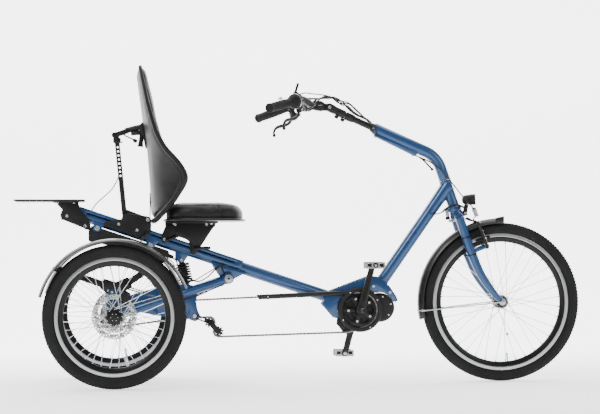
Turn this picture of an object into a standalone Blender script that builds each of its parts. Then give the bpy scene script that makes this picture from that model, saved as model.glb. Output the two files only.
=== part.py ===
"""Electric tricycle: two sprung rear wheels, one steered front wheel, a sliding seat and a mid motor.

Metres, +Z up, +X forward, +Y to the rider's left. Stations are measured from the rear axle;
the finished model is then shifted so that its origin is under the middle of its box.
"""
import math

import bmesh
import bpy
import numpy as np
from mathutils import Matrix, Vector
from mathutils.geometry import tessellate_polygon

for leftover in list(bpy.data.objects):
    bpy.data.objects.remove(leftover, do_unlink=True)

# Driving dimensions
GAP = 0.0003
RUN = 0.0005

WHEELBASE = 1.4286
TRACK = 0.700
REAR_TYRE_R = 0.2525
REAR_TYRE_WIDTH = 0.050
REAR_RIM_R = 0.209
FRONT_TYRE_R = 0.2935
FRONT_TYRE_WIDTH = 0.047
FRONT_RIM_R = 0.2535
RIM_DEPTH = 0.0305
RIM_WIDTH = 0.027
SPOKES = 20
SPOKE_R = 0.0012
WHEEL_SIDES = 28
FENDER_GAP = 0.017
FENDER_WIDTH = 0.060
SHEET = 0.003

DISC_R = 0.080
DISC_THICKNESS = 0.002
DISC_INSET = 0.050

MAIN_TUBE_R = 0.0225
MAIN_TUBE_SLOPE = -0.3348
MAIN_TUBE_REAR_X = -0.143
MAIN_TUBE_FRONT_X = 0.832
MAIN_TUBE_MID = (0.667, 0.354)
DOWN_TUBE_R = 0.0225
RAIL_WIDTH = 0.060
RAIL_HEIGHT = 0.030
RAIL_SLOT = 0.0068
CARRIER_REAR_X = -0.362

PIVOT = (0.415, 0.382)
SWING_TUBE_R = 0.016
AXLE_TUBE_R = 0.019

BOTTOM_BRACKET = (0.899, 0.266)
MOTOR = (0.977, 0.274)
MOTOR_R = 0.053
MOTOR_WIDTH = 0.056
CRANK_LENGTH = 0.170
CRANK_ANGLE = math.radians(75.3)
PEDAL_LENGTH = 0.070
PEDAL_WIDTH = 0.095
PEDAL_HEIGHT = 0.026
CHAIN_LINE = -0.042
GEAR_HUB = (0.238, 0.269)
CHAIN_WIDTH = 0.0060
CHAIN_HEIGHT = 0.0070
UPPER_PULLEY = (0.347, 0.224)
LOWER_PULLEY = (0.379, 0.189)
TENSIONER_BOLT = (0.291, 0.247)

HEAD_TOP = (WHEELBASE - 0.2061, 0.7435)
HEAD_BOTTOM = (WHEELBASE - 0.1677, 0.6315)
HEAD_TUBE_R = 0.021
GOOSENECK_R = 0.0215
GOOSENECK_CORNER = (WHEELBASE - 0.2366, 0.832)
GOOSENECK_BEND = 0.120
GOOSENECK_END = (0.960, 0.935)
FORK_BLADE_R = 0.0165
FORK_SPREAD = 0.052
STEM_POST_R = 0.012
BAR_CLAMP = (0.715, 1.018)
BAR_R = 0.0125
BAR_STRAIGHT = 0.100
BAR_SWEEP = (0.033, 0.016)
BAR_END = (0.548, 0.990, 0.292)
GRIP_R = 0.0155
GRIP_LENGTH = 0.120
TILT_JOINT = (0.791, 1.013)

SEAT_LENGTH = 0.298
SEAT_WIDTH = 0.420
SEAT_FRONT_X = 0.478
SEAT_BASE_Z = 0.591
SEAT_THICKNESS = 0.066
BACKREST_WIDTH = 0.440
POST_WIDTH = 0.018
POST_HOLES = 8
POST_FIRST_HOLE = 0.039
POST_HOLE_PITCH = 0.015
POST_HOLE_R = 0.0036
SPRING_R = 0.0235
SPRING_WIRE_R = 0.0032
SPRING_CURLS = 6

# The origin is midway between the carrier's rear end and the front of the front tyre
REAR_AXLE_X = -(WHEELBASE + FRONT_TYRE_R + CARRIER_REAR_X) / 2
REAR_AXLE_Z = REAR_TYRE_R
FRONT_AXLE = (WHEELBASE, FRONT_TYRE_R)


# Finishes: base colour, roughness, metallic
FINISHES = {
    "blue_paint": ((0.030, 0.120, 0.260), 0.30, 0.35),
    "black_paint": ((0.012, 0.012, 0.013), 0.40, 0.10),
    "black_plastic": ((0.016, 0.016, 0.017), 0.55, 0.0),
    "steel": ((0.62, 0.62, 0.61), 0.28, 1.0),
    "rubber": ((0.018, 0.018, 0.018), 0.85, 0.0),
    "leather": ((0.020, 0.020, 0.021), 0.50, 0.0),
}


def finish(name):
    """The material of that name, made once."""
    found = bpy.data.materials.get(name)
    if found:
        return found
    colour, roughness, metallic = FINISHES[name]
    made = bpy.data.materials.new(name)
    made.use_nodes = True
    shader = made.node_tree.nodes["Principled BSDF"]
    shader.inputs["Base Color"].default_value = (*colour, 1.0)
    shader.inputs["Roughness"].default_value = roughness
    shader.inputs["Metallic"].default_value = metallic
    made.diffuse_color = (*colour, 1.0)
    return made


# Shape helpers: each returns a bmesh of one closed shape
def from_faces(points, faces):
    shape = bmesh.new()
    corners = [shape.verts.new(point) for point in points]
    for face in faces:
        shape.faces.new([corners[i] for i in face])
    bmesh.ops.recalc_face_normals(shape, faces=shape.faces)
    return shape


def circle(centre, radius, sides, start=0.0, turn=2 * math.pi):
    """Points round a centre, as (x, z); a part turn keeps both its ends."""
    count = sides if turn == 2 * math.pi else sides + 1
    step = turn / sides
    return [
        (
            centre[0] + radius * math.cos(start + i * step),
            centre[1] + radius * math.sin(start + i * step),
        )
        for i in range(count)
    ]


def plate(outline, y_low, y_high, holes=()):
    """A flat plate: an outline of (x, z) points with holes, from y_low to y_high."""
    loops = [list(outline)] + [list(hole) for hole in holes]
    flat = [point for loop in loops for point in loop]
    triangles = tessellate_polygon([[Vector((x, z, 0)) for x, z in loop] for loop in loops])
    count = len(flat)
    points = [(x, y_low, z) for x, z in flat] + [(x, y_high, z) for x, z in flat]
    faces = [tuple(t) for t in triangles] + [tuple(i + count for i in reversed(t)) for t in triangles]
    first = 0
    for loop in loops:
        for i in range(len(loop)):
            a = first + i
            b = first + (i + 1) % len(loop)
            faces.append((a, b, b + count, a + count))
        first += len(loop)
    return from_faces(points, faces)


def frames_along(points):
    """A sideways and an upward direction at each point, turned as little as can be along the way."""
    points = [Vector(p) for p in points]
    tangents = []
    for i in range(len(points)):
        before = points[max(i - 1, 0)]
        after = points[min(i + 1, len(points) - 1)]
        into = (points[i] - before).normalized() if i else (after - points[i]).normalized()
        out = (after - points[i]).normalized() if i < len(points) - 1 else into
        tangents.append((into + out).normalized())
    first = tangents[0]
    side = first.cross(Vector((0, 0, 1)))
    if side.length < 0.1:
        side = first.cross(Vector((0, 1, 0)))
    side.normalize()
    frames = []
    for tangent in tangents:
        side = (side - tangent * side.dot(tangent)).normalized()
        frames.append((side, tangent.cross(side), tangent))
    return frames


def tube(points, radius, sides=12, squash=1.0):
    """A solid round bar along the points; radius is one value or one for each point."""
    radii = radius if hasattr(radius, "__len__") else [radius] * len(points)
    corners = []
    for point, r, (side, up, _) in zip(points, radii, frames_along(points)):
        for k in range(sides):
            angle = 2 * math.pi * (k + 0.5) / sides
            corners.append(Vector(point) + side * (r * squash * math.cos(angle)) + up * (r * math.sin(angle)))
    faces = [tuple(range(sides - 1, -1, -1))]
    for ring in range(len(points) - 1):
        for k in range(sides):
            a = ring * sides + k
            b = ring * sides + (k + 1) % sides
            faces.append((a, b, b + sides, a + sides))
    last = (len(points) - 1) * sides
    faces.append(tuple(range(last, last + sides)))
    return from_faces(corners, faces)


def turned(profile, centre, axis=(0, 1, 0), sides=24, phase=0.0):
    """A turned piece: (radius, distance along the axis) points; radius 0 closes it on the axis."""
    axis = Vector(axis).normalized()
    side = axis.cross(Vector((0, 0, 1)))
    if side.length < 0.01:
        side = Vector((1, 0, 0))
    side.normalize()
    up = side.cross(axis)
    closed_ring = profile[0][0] > 0 and profile[-1][0] > 0
    corners = []
    rows = []
    for r, along in profile:
        start = Vector(centre) + axis * along
        if r == 0:
            rows.append([len(corners)] * sides)
            corners.append(start)
            continue
        rows.append(list(range(len(corners), len(corners) + sides)))
        for k in range(sides):
            angle = phase + 2 * math.pi * k / sides
            corners.append(start + side * (r * math.cos(angle)) + up * (r * math.sin(angle)))
    faces = []
    pairs = list(zip(rows, rows[1:]))
    if closed_ring:
        pairs.append((rows[-1], rows[0]))
    for low, high in pairs:
        for k in range(sides):
            n = (k + 1) % sides
            face = [low[k], low[n], high[n], high[k]]
            face = list(dict.fromkeys(face))
            if len(face) > 2:
                faces.append(tuple(face))
    return from_faces(corners, faces)


def rod(start, end, radius, sides=10):
    """A plain round bar between two points."""
    return tube([start, end], radius, sides)


def across(x, z, y_low, y_high, radius, sides=10):
    """A round bar along Y."""
    return turned([(0, y_low), (radius, y_low), (radius, y_high), (0, y_high)], (x, 0, z), sides=sides)


def box(low, high):
    """A block between two corners."""
    (x0, y0, z0), (x1, y1, z1) = low, high
    return plate([(x0, z0), (x1, z0), (x1, z1), (x0, z1)], y0, y1)


def bent(points, radius, steps=5):
    """The points with each inner corner rounded to the radius."""
    points = [Vector(p) for p in points]
    path = [points[0]]
    for before, corner, after in zip(points, points[1:], points[2:]):
        into = (corner - before).normalized()
        out = (after - corner).normalized()
        half = into.angle(out) / 2
        if half < 1e-4:
            path.append(corner)
            continue
        cut = min(radius * math.tan(half), 0.49 * (corner - before).length, 0.49 * (after - corner).length)
        true_radius = cut / math.tan(half)
        centre = corner + (out - into).normalized() * (true_radius / math.cos(half))
        start = corner - into * cut - centre
        axis = into.cross(out)
        for i in range(steps + 1):
            path.append(centre + Matrix.Rotation(2 * half * i / steps, 3, axis) @ start)
    path.append(points[-1])
    return path


def smooth(points, per_span=3):
    """A smooth curve through the points."""
    points = [np.array(p, float) for p in points]
    ends = [2 * points[0] - points[1], *points, 2 * points[-1] - points[-2]]
    path = []
    for i in range(1, len(ends) - 2):
        a, b, c, d = ends[i - 1 : i + 3]
        for k in range(per_span):
            t = k / per_span
            path.append(
                0.5
                * (2 * b + (c - a) * t + (2 * a - 5 * b + 4 * c - d) * t**2 + (3 * b - a - 3 * c + d) * t**3)
            )
    path.append(ends[-2])
    return [Vector(p) for p in path]


def as_object(shape, name="piece"):
    mesh = bpy.data.meshes.new(name)
    shape.to_mesh(mesh)
    shape.free()
    made = bpy.data.objects.new(name, mesh)
    bpy.context.scene.collection.objects.link(made)
    return made


def combined(body, joined=(), cut=()):
    """One bmesh: the body with other shapes joined to it, then shapes cut away."""
    base = as_object(body)
    helpers = []
    for operation, shapes in (("UNION", joined), ("DIFFERENCE", cut)):
        for shape in shapes:
            helper = as_object(shape)
            helpers.append(helper)
            step = base.modifiers.new("join", "BOOLEAN")
            step.operation = operation
            step.object = helper
            step.solver = "EXACT"
    graph = bpy.context.evaluated_depsgraph_get()
    mesh = bpy.data.meshes.new_from_object(base.evaluated_get(graph))
    result = bmesh.new()
    result.from_mesh(mesh)
    bpy.data.meshes.remove(mesh)
    for helper in [base, *helpers]:
        data = helper.data
        bpy.data.objects.remove(helper, do_unlink=True)
        bpy.data.meshes.remove(data)
    bmesh.ops.remove_doubles(result, verts=result.verts, dist=1e-6)
    bmesh.ops.dissolve_degenerate(result, edges=result.edges, dist=1e-6)
    bmesh.ops.dissolve_limit(result, angle_limit=math.radians(0.2), verts=result.verts, edges=result.edges)
    return result


def node(name, shape, material, pivot=(0.0, 0.0, 0.0)):
    """A finished piece; pivot is the point on its joint's axis, measured from the rear axle."""
    pivot = Vector(pivot)
    bmesh.ops.translate(shape, vec=-pivot, verts=shape.verts)
    made = as_object(shape, name)
    made.location = pivot + Vector((REAR_AXLE_X, 0, 0))
    made.data.materials.append(finish(material))
    made.data.shade_smooth()
    made.data.set_sharp_from_angle(angle=math.radians(35))
    return made


# Sprocket sizes from their teeth
CHAIN_PITCH = 0.0127
RING_TEETH = 32
HUB_TEETH = 16
PULLEY_TEETH = 9
AXLE_TEETH = 24
REAR_CHAIN_LINE = 0.024
TOOTH_CLEARANCE = 0.0010


def pitch_radius(teeth):
    return CHAIN_PITCH / (2 * math.sin(math.pi / teeth))


def sprocket_radius(teeth):
    """The disc stays just inside the chain that runs round it."""
    return pitch_radius(teeth) - CHAIN_HEIGHT / 2 - TOOTH_CLEARANCE


# Wheels
FLANGE_OFFSET = 0.019
FLANGE_HALF = 0.00225
SPOKE_HEAD = 0.0022
SPOKE_SINK = 0.008
LACING = math.radians(60)
REAR_FLANGE_R = 0.031
FRONT_FLANGE_R = 0.025
FRONT_FLANGE_OFFSET = 0.028
HALF_SHAFT_R = 0.0085
FRONT_AXLE_R = 0.005
HUB_END = 0.041
SHAFT_INNER = 0.080
BOSS_R = 0.022
HUB_BARREL_R = 0.017


def rim(centre, y, radius):
    half = RIM_WIDTH / 2
    shoulder = radius - 0.020
    inner = radius - RIM_DEPTH
    profile = [
        (radius, half),
        (radius, -half),
        (shoulder, -half),
        (inner, -half * 0.6),
        (inner, half * 0.6),
        (shoulder, half),
    ]
    return turned(profile, (centre[0], y, centre[1]), sides=WHEEL_SIDES)


def tyre(centre, y, radius, width, rim_r):
    half = width / 2
    seat = rim_r + GAP
    wall = radius - seat
    profile = [(seat, RIM_WIDTH * 0.47)]
    for up, out in ((0.28, 0.95), (0.70, 0.97), (1.0, 0.38)):
        profile.append((seat + wall * up, half * out))
    profile += [(r, -along) for r, along in reversed(profile)]
    return turned(profile, (centre[0], y, centre[1]), sides=WHEEL_SIDES)


def spokes(centre, y, rim_r, flange_r, flange_offset):
    """Crossed spokes: odd ones from one flange and even ones from the other, leading and trailing in turn."""
    bars = bmesh.new()
    rim_end = rim_r - RIM_DEPTH + SPOKE_SINK
    hub_end = flange_r - 0.004
    for k in range(SPOKES):
        flange = 1 if k % 2 else -1
        lean = 1 if (k // 2) % 2 else -1
        at_rim = 2 * math.pi * (k + 0.5) / SPOKES
        at_hub = at_rim + lean * LACING
        start = (
            centre[0] + hub_end * math.cos(at_hub),
            y + flange * flange_offset + lean * SPOKE_HEAD,
            centre[1] + hub_end * math.sin(at_hub),
        )
        end = (
            centre[0] + rim_end * math.cos(at_rim),
            y + flange * SPOKE_HEAD,
            centre[1] + rim_end * math.sin(at_rim),
        )
        bar = tube([start, end], SPOKE_R, 3)
        mesh = bpy.data.meshes.new("spoke")
        bar.to_mesh(mesh)
        bar.free()
        bars.from_mesh(mesh)
        bpy.data.meshes.remove(mesh)
    return bars


def flange_profile(radius, offset, barrel):
    """Both flanges and the barrel between them, from the outer end to the inner one."""
    return [
        (radius, offset + FLANGE_HALF),
        (radius, offset - FLANGE_HALF),
        (barrel, offset - FLANGE_HALF - 0.001),
        (barrel, -offset + FLANGE_HALF + 0.001),
        (radius, -offset + FLANGE_HALF),
        (radius, -offset - FLANGE_HALF),
    ]


def rear_hub(y, outward):
    """Hub with its outer cap, the boss that carries the disc and the half shaft inside it."""
    boss_face = -(DISC_INSET - DISC_THICKNESS / 2 - GAP)
    cap_end = FENDER_WIDTH / 2 - 0.001
    profile = [(0, cap_end), (0.015, cap_end), (0.016, FLANGE_OFFSET + FLANGE_HALF + 0.001)]
    profile += flange_profile(REAR_FLANGE_R, FLANGE_OFFSET, HUB_BARREL_R)
    profile += [(BOSS_R, -FLANGE_OFFSET - FLANGE_HALF - 0.001), (BOSS_R, boss_face)]
    profile += [(HALF_SHAFT_R, boss_face), (HALF_SHAFT_R, -SHAFT_INNER), (0, -SHAFT_INNER)]
    return turned(profile, (0, y, REAR_AXLE_Z), axis=(0, outward, 0), sides=12)


def front_hub():
    bore = FRONT_AXLE_R + RUN
    profile = [(bore, HUB_END), (0.012, HUB_END)]
    profile += [(0.012, FRONT_FLANGE_OFFSET + FLANGE_HALF + 0.001)]
    profile += flange_profile(FRONT_FLANGE_R, FRONT_FLANGE_OFFSET, 0.013)
    profile += [(0.012, -FRONT_FLANGE_OFFSET - FLANGE_HALF - 0.001), (0.012, -HUB_END), (bore, -HUB_END)]
    return turned(profile, (FRONT_AXLE[0], 0, FRONT_AXLE[1]), sides=12)


def brake_disc(y):
    centre = (0, REAR_AXLE_Z)
    windows = []
    for k in range(6):
        middle = 2 * math.pi * k / 6
        outer = circle(centre, DISC_R - 0.020, 2, middle - 0.38, 0.76)
        inner = circle(centre, BOSS_R + 0.004, 1, middle + 0.26, -0.52)
        windows.append(outer + inner)
    bore = circle(centre, HALF_SHAFT_R + RUN, 10)
    half = DISC_THICKNESS / 2
    return plate(circle(centre, DISC_R, 20), y - half, y + half, windows + [bore])


CALIPER_ANGLE = math.radians(58.4)
CALIPER_HALF_LENGTH = 0.024
CALIPER_INNER_R = 0.052
CALIPER_OUTER_R = 0.092
CALIPER_WIDTH = 0.0167
END_PLATE_THICKNESS = 0.004


def polar(centre, radius, angle):
    return (centre[0] + radius * math.cos(angle), centre[1] + radius * math.sin(angle))


def caliper(disc_y):
    """A brake body over the disc's edge, with a slot that the disc turns in."""
    radial = (math.cos(CALIPER_ANGLE), math.sin(CALIPER_ANGLE))
    along = (-radial[1], radial[0])
    corners = []
    for r, t in (
        (CALIPER_INNER_R, -0.6),
        (CALIPER_OUTER_R - 0.008, -1.0),
        (CALIPER_OUTER_R, -0.6),
        (CALIPER_OUTER_R, 0.6),
        (CALIPER_OUTER_R - 0.008, 1.0),
        (CALIPER_INNER_R, 0.6),
    ):
        t *= CALIPER_HALF_LENGTH
        corners.append((radial[0] * r + along[0] * t, REAR_AXLE_Z + radial[1] * r + along[1] * t))
    body = plate(corners, disc_y - CALIPER_WIDTH, disc_y + CALIPER_WIDTH)
    slot_half = DISC_THICKNESS / 2 + RUN
    slot = plate(circle((0, REAR_AXLE_Z), DISC_R + RUN, 30), disc_y - slot_half, disc_y + slot_half)
    return combined(body, cut=[slot])


def arc_band(profile, centre, y, start, end, steps):
    """A sheet bent round a centre: (radius, y offset) points swept from one angle to another."""
    corners = []
    for i in range(steps + 1):
        angle = start + (end - start) * i / steps
        for r, across_y in profile:
            x, z = polar(centre, r, angle)
            corners.append((x, y + across_y, z))
    count = len(profile)
    faces = [tuple(range(count)), tuple(range(steps * count, (steps + 1) * count))]
    for i in range(steps):
        for k in range(count):
            a = i * count + k
            b = i * count + (k + 1) % count
            faces.append((a, b, b + count, a + count))
    return from_faces(corners, faces)


def fender_profile(outer_r, width):
    half = width / 2
    shoulder = half * 0.62
    drop = 0.009
    return [
        (outer_r - drop, -half),
        (outer_r, -shoulder),
        (outer_r, shoulder),
        (outer_r - drop, half),
        (outer_r - drop - SHEET, half - SHEET * 0.4),
        (outer_r - SHEET, shoulder - SHEET * 0.4),
        (outer_r - SHEET, -shoulder + SHEET * 0.4),
        (outer_r - drop - SHEET, -half + SHEET * 0.4),
    ]


# Rear wheels, brakes and fenders, one set for each side
FENDER_START = math.radians(21.5)
FENDER_END = math.radians(165)
STRAP_HALF = 0.008
FRONT_STRAP_FOOT = (0.058, 0.372)
REAR_STRAP_FOOT = (-0.043, 0.362)


def end_plate_span():
    """How far from the wheel's middle plane the swing arm's end plate lies, inner and outer face."""
    outer = DISC_INSET + CALIPER_WIDTH + GAP
    return outer + END_PLATE_THICKNESS, outer


def strap(start, end, y_low, y_high):
    """A flat bar between two (x, z) points."""
    along = Vector((end[0] - start[0], end[1] - start[1])).normalized()
    over = Vector((-along.y, along.x)) * STRAP_HALF
    a = Vector(start)
    b = Vector(end)
    return plate([a - over, b - over, b + over, a + over], y_low, y_high)


def fender(y, outward):
    """The mudguard with the forked bracket behind it, which bolts to the back of the end plate."""
    outer_r = REAR_TYRE_R + FENDER_GAP + SHEET + 0.002
    sheet = arc_band(fender_profile(outer_r, FENDER_WIDTH), (0, REAR_AXLE_Z), y, FENDER_START, FENDER_END, 12)
    face = y - outward * (end_plate_span()[0] + GAP)
    back = face - outward * SHEET
    y_low, y_high = sorted((face, back))
    body = plate(
        [(-0.050, 0.352), (-0.020, 0.330), (0.016, 0.330), (0.064, 0.356), (0.052, 0.386), (0.006, 0.366),
         (-0.040, 0.380)],
        y_low,
        y_high,
    )
    pieces = []
    tab_reach = y - outward * (FENDER_WIDTH / 2 - 0.006)
    for foot, angle in ((FRONT_STRAP_FOOT, 0.853), (REAR_STRAP_FOOT, 2.459)):
        tip = polar((0, REAR_AXLE_Z), outer_r - SHEET * 0.5, angle)
        pieces.append(strap(foot, tip, y_low, y_high))
        inner = polar((0, REAR_AXLE_Z), outer_r - 0.016, angle)
        tab_low, tab_high = sorted((back, tab_reach))
        pieces.append(strap(inner, tip, tab_low, tab_high))
    return combined(sheet, joined=[body, *pieces])


for side_name, outward in (("right", -1), ("left", 1)):
    wheel_y = outward * TRACK / 2
    disc_y = wheel_y - outward * DISC_INSET
    axle_point = (0, wheel_y, REAR_AXLE_Z)
    centre = (0, REAR_AXLE_Z)
    node(
        f"{side_name}_tyre",
        tyre(centre, wheel_y, REAR_TYRE_R, REAR_TYRE_WIDTH, REAR_RIM_R),
        "rubber",
        axle_point,
    )
    node(
        f"{side_name}_wheel",
        combined(
            rear_hub(wheel_y, outward),
            joined=[
                spokes(centre, wheel_y, REAR_RIM_R, REAR_FLANGE_R, FLANGE_OFFSET),
                rim(centre, wheel_y, REAR_RIM_R),
            ],
        ),
        "black_paint",
        axle_point,
    )
    node(f"{side_name}_disc", brake_disc(disc_y), "steel", axle_point)
    node(f"{side_name}_caliper", caliper(disc_y), "black_paint")
    node(f"{side_name}_fender", fender(wheel_y, outward), "black_plastic")

front_centre = (FRONT_AXLE[0], FRONT_AXLE[1])
front_point = (FRONT_AXLE[0], 0, FRONT_AXLE[1])
node(
    "front_tyre",
    tyre(front_centre, 0, FRONT_TYRE_R, FRONT_TYRE_WIDTH, FRONT_RIM_R),
    "rubber",
    front_point,
)
node(
    "front_wheel",
    combined(
        front_hub(),
        joined=[
            spokes(front_centre, 0, FRONT_RIM_R, FRONT_FLANGE_R, FRONT_FLANGE_OFFSET),
            rim(front_centre, 0, FRONT_RIM_R),
        ],
    ),
    "black_paint",
    front_point,
)


# Swing arm and everything that moves with it
BRACKET_INNER = 0.0268
BRACKET_SHEET = 0.004
BOLT_R = 0.006
BOLT_HEAD_R = 0.015
BOLT_HEAD = 0.006
ARM_Y = 0.0535
HUB_PLATE_INNER = 0.049
HUB_PLATE_OUTER = 0.053
DIFFERENTIAL_HALF = 0.0335
SHAFT_IN = 0.020
SHOCK_UPPER = (0.244, 0.450)
SHOCK_LOWER = (0.266, 0.355)
SHOCK_PIN_R = 0.0035
SHOCK_EYE_HALF = 0.011
SHOCK_EAR_OUTER = 0.016
ARM_END = (0.002, 0.246)
PULLEY_PIN_R = 0.003
CAGE_OUTER = (-0.0573, -0.0533)
CAGE_INNER = (-0.0365, -0.0345)
TENSIONER_PIN_R = 0.004


def swing_arm():
    bracket_outer = BRACKET_INNER + BRACKET_SHEET
    house_end = TRACK / 2 - DISC_INSET - DISC_THICKNESS
    body = across(0, REAR_AXLE_Z, -house_end, -DIFFERENTIAL_HALF - RUN, AXLE_TUBE_R, 12)
    joined = [across(0, REAR_AXLE_Z, DIFFERENTIAL_HALF + RUN, house_end, AXLE_TUBE_R, 12)]
    cut = []
    outline = [
        (0.050, 0.303), (0.060, 0.322), (0.178, 0.356), (0.250, 0.362), (0.290, 0.357), (0.303, 0.330),
        (0.297, 0.300), (0.302, 0.270), (0.3125, 0.247), (0.306, 0.232), (0.292, 0.226), (0.276, 0.232),
        (0.262, 0.240), (0.150, 0.248), (0.090, 0.262), (0.055, 0.285),
    ]
    end_outline = circle((0, REAR_AXLE_Z), 0.034, 10, math.radians(150), math.radians(240))
    end_outline += [
        (0.046, 0.283), (0.066, 0.297), (0.060, 0.318), (0.030, 0.330), (0.008, 0.346),
        (-0.006, 0.350), (-0.020, 0.345), (-0.024, 0.325),
    ]
    for side in (-1, 1):
        arm_y = side * ARM_Y
        low, high = sorted((side * (bracket_outer + GAP), side * (ARM_Y + SWING_TUBE_R)))
        joined.append(across(*PIVOT, low, high, SWING_TUBE_R + 0.003, 12))
        joined.append(rod((*PIVOT[:1], arm_y, PIVOT[1]), (ARM_END[0], arm_y, ARM_END[1]), SWING_TUBE_R))
        low, high = sorted((side * HUB_PLATE_INNER, side * HUB_PLATE_OUTER))
        joined.append(plate(outline, low, high))
        near, far = end_plate_span()
        low, high = sorted((side * (TRACK / 2 - near), side * (TRACK / 2 - far)))
        joined.append(plate(end_outline, low, high))
        low, high = sorted((side * SHOCK_EAR_OUTER, side * (SHOCK_EYE_HALF + RUN)))
        ear = [(0.254, 0.332), (0.286, 0.332), (0.275, 0.362), (0.266, 0.366), (0.257, 0.362)]
        joined.append(plate(ear, low, high))
        low, high = sorted((side * (house_end + 0.01), side * (TRACK / 2 - SHAFT_INNER - RUN)))
        cut.append(across(0, REAR_AXLE_Z, low, high, HALF_SHAFT_R + RUN))
        low, high = sorted((side * (DIFFERENTIAL_HALF - 0.01), side * (DIFFERENTIAL_HALF + SHAFT_IN + RUN)))
        cut.append(across(0, REAR_AXLE_Z, low, high, HALF_SHAFT_R + RUN))
    joined.append(across(0.150, 0.262, -ARM_Y, ARM_Y, 0.010, 12))
    joined.append(across(0.272, 0.3320, -ARM_Y, ARM_Y, 0.011, 10))
    joined.append(across(*SHOCK_LOWER, -SHOCK_EAR_OUTER, SHOCK_EAR_OUTER, SHOCK_PIN_R, 10))
    head = (CAGE_OUTER[0] - GAP, CAGE_OUTER[0] - GAP - 0.004)
    joined.append(across(*TENSIONER_BOLT, head[1] + 0.0002, -HUB_PLATE_INNER - 0.0004, TENSIONER_PIN_R, 10))
    joined.append(across(*TENSIONER_BOLT, head[1], head[0], 0.0075, 12))
    cut.append(across(*PIVOT, -0.1, 0.1, BOLT_R + RUN))
    cut.append(across(*GEAR_HUB, -0.06, 0.06, BOLT_R + RUN))
    return combined(body, joined, cut)


def differential():
    half = DIFFERENTIAL_HALF
    tip = half + SHAFT_IN
    wheel_r = sprocket_radius(AXLE_TEETH)
    profile = [
        (0, -tip), (HALF_SHAFT_R, -tip), (HALF_SHAFT_R, -half), (0.024, -half), (0.034, -half + 0.008),
        (0.034, REAR_CHAIN_LINE - 0.004), (wheel_r, REAR_CHAIN_LINE - 0.002),
        (wheel_r, REAR_CHAIN_LINE + 0.002),
        (0.020, REAR_CHAIN_LINE + 0.002), (0.020, half), (HALF_SHAFT_R, half), (HALF_SHAFT_R, tip), (0, tip),
    ]
    return turned(profile, (0, 0, REAR_AXLE_Z), sides=12)


def gear_hub():
    """The hub gear: a sprocket for each chain beside its shell."""
    wheel_r = sprocket_radius(HUB_TEETH)
    tip = HUB_PLATE_OUTER + 0.0015
    inside = HUB_PLATE_INNER - RUN
    profile = [
        (0, -tip), (BOLT_R, -tip), (BOLT_R, -inside), (0.012, -inside), (0.012, CHAIN_LINE - 0.002),
        (wheel_r, CHAIN_LINE - 0.002), (wheel_r, CHAIN_LINE + 0.002), (0.018, CHAIN_LINE + 0.002),
        (0.018, -0.036), (0.030, -0.034), (0.030, 0.012), (0.018, 0.016), (0.018, REAR_CHAIN_LINE - 0.002),
        (wheel_r, REAR_CHAIN_LINE - 0.002), (wheel_r, REAR_CHAIN_LINE + 0.002),
        (0.012, REAR_CHAIN_LINE + 0.002),
        (0.012, inside), (BOLT_R, inside), (BOLT_R, tip), (0, tip),
    ]
    return turned(profile, (GEAR_HUB[0], 0, GEAR_HUB[1]), sides=10)


CHAIN_STEP = math.radians(18)


def belt(wheels):
    """Corner points of a loop round (centre, radius) wheels; a minus radius is passed on its other side."""
    contacts = []
    count = len(wheels)
    for i in range(count):
        (ax, az), ar = wheels[i]
        (bx, bz), br = wheels[(i + 1) % count]
        span = Vector((bx - ax, bz - az))
        lean = math.asin((ar - br) / span.length)
        heading = math.atan2(span.y, span.x)
        contacts.append(heading - math.pi / 2 + lean)
    path = []
    for i in range(count):
        centre, radius = wheels[i]
        arrive = contacts[i - 1]
        leave = contacts[i]
        turn = (leave - arrive) % (2 * math.pi)
        if radius < 0:
            turn -= 2 * math.pi
        steps = max(1, math.ceil(abs(turn) / CHAIN_STEP))
        for k in range(steps + 1):
            angle = arrive + turn * k / steps
            path.append((centre, radius, angle))
    return path


def chain(wheels, y):
    """A chain as one band: the loop's points moved out and in by half the chain's height."""
    outer = []
    inner = []
    half = CHAIN_HEIGHT / 2
    for centre, radius, angle in belt(wheels):
        outer.append(polar(centre, radius + half, angle))
        inner.append(polar(centre, radius - half, angle))
    return plate(outer, y - CHAIN_WIDTH / 2, y + CHAIN_WIDTH / 2, [inner])


def tensioner():
    """The arm from its bolt and the two cage plates that hold the pulleys."""
    def link(a, b, radius, span):
        along = math.atan2(b[1] - a[1], b[0] - a[0])
        outline = circle(a, radius, 5, along + math.pi / 2, math.pi)
        outline += circle(b, radius, 5, along - math.pi / 2, math.pi)
        return plate(outline, *span)

    arm = link(TENSIONER_BOLT, UPPER_PULLEY, 0.0085, CAGE_OUTER)
    joined = [link(UPPER_PULLEY, LOWER_PULLEY, 0.010, cage) for cage in (CAGE_OUTER, CAGE_INNER)]
    for centre in (UPPER_PULLEY, LOWER_PULLEY):
        joined.append(across(*centre, CAGE_OUTER[0], CAGE_INNER[1], PULLEY_PIN_R, 10))
    hole = across(*TENSIONER_BOLT, CAGE_OUTER[0] - 0.01, CAGE_OUTER[1] + 0.01, TENSIONER_PIN_R + RUN, 12)
    return combined(arm, joined, [hole])


def pulley(centre):
    bore = PULLEY_PIN_R + RUN
    edge = sprocket_radius(PULLEY_TEETH)
    profile = [(bore, -0.007), (0.006, -0.007), (0.006, -0.002), (edge, -0.002)]
    profile += [(edge, 0.002), (0.006, 0.002), (0.006, 0.005), (bore, 0.005)]
    return turned(profile, (centre[0], CHAIN_LINE, centre[1]), sides=10)


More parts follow.
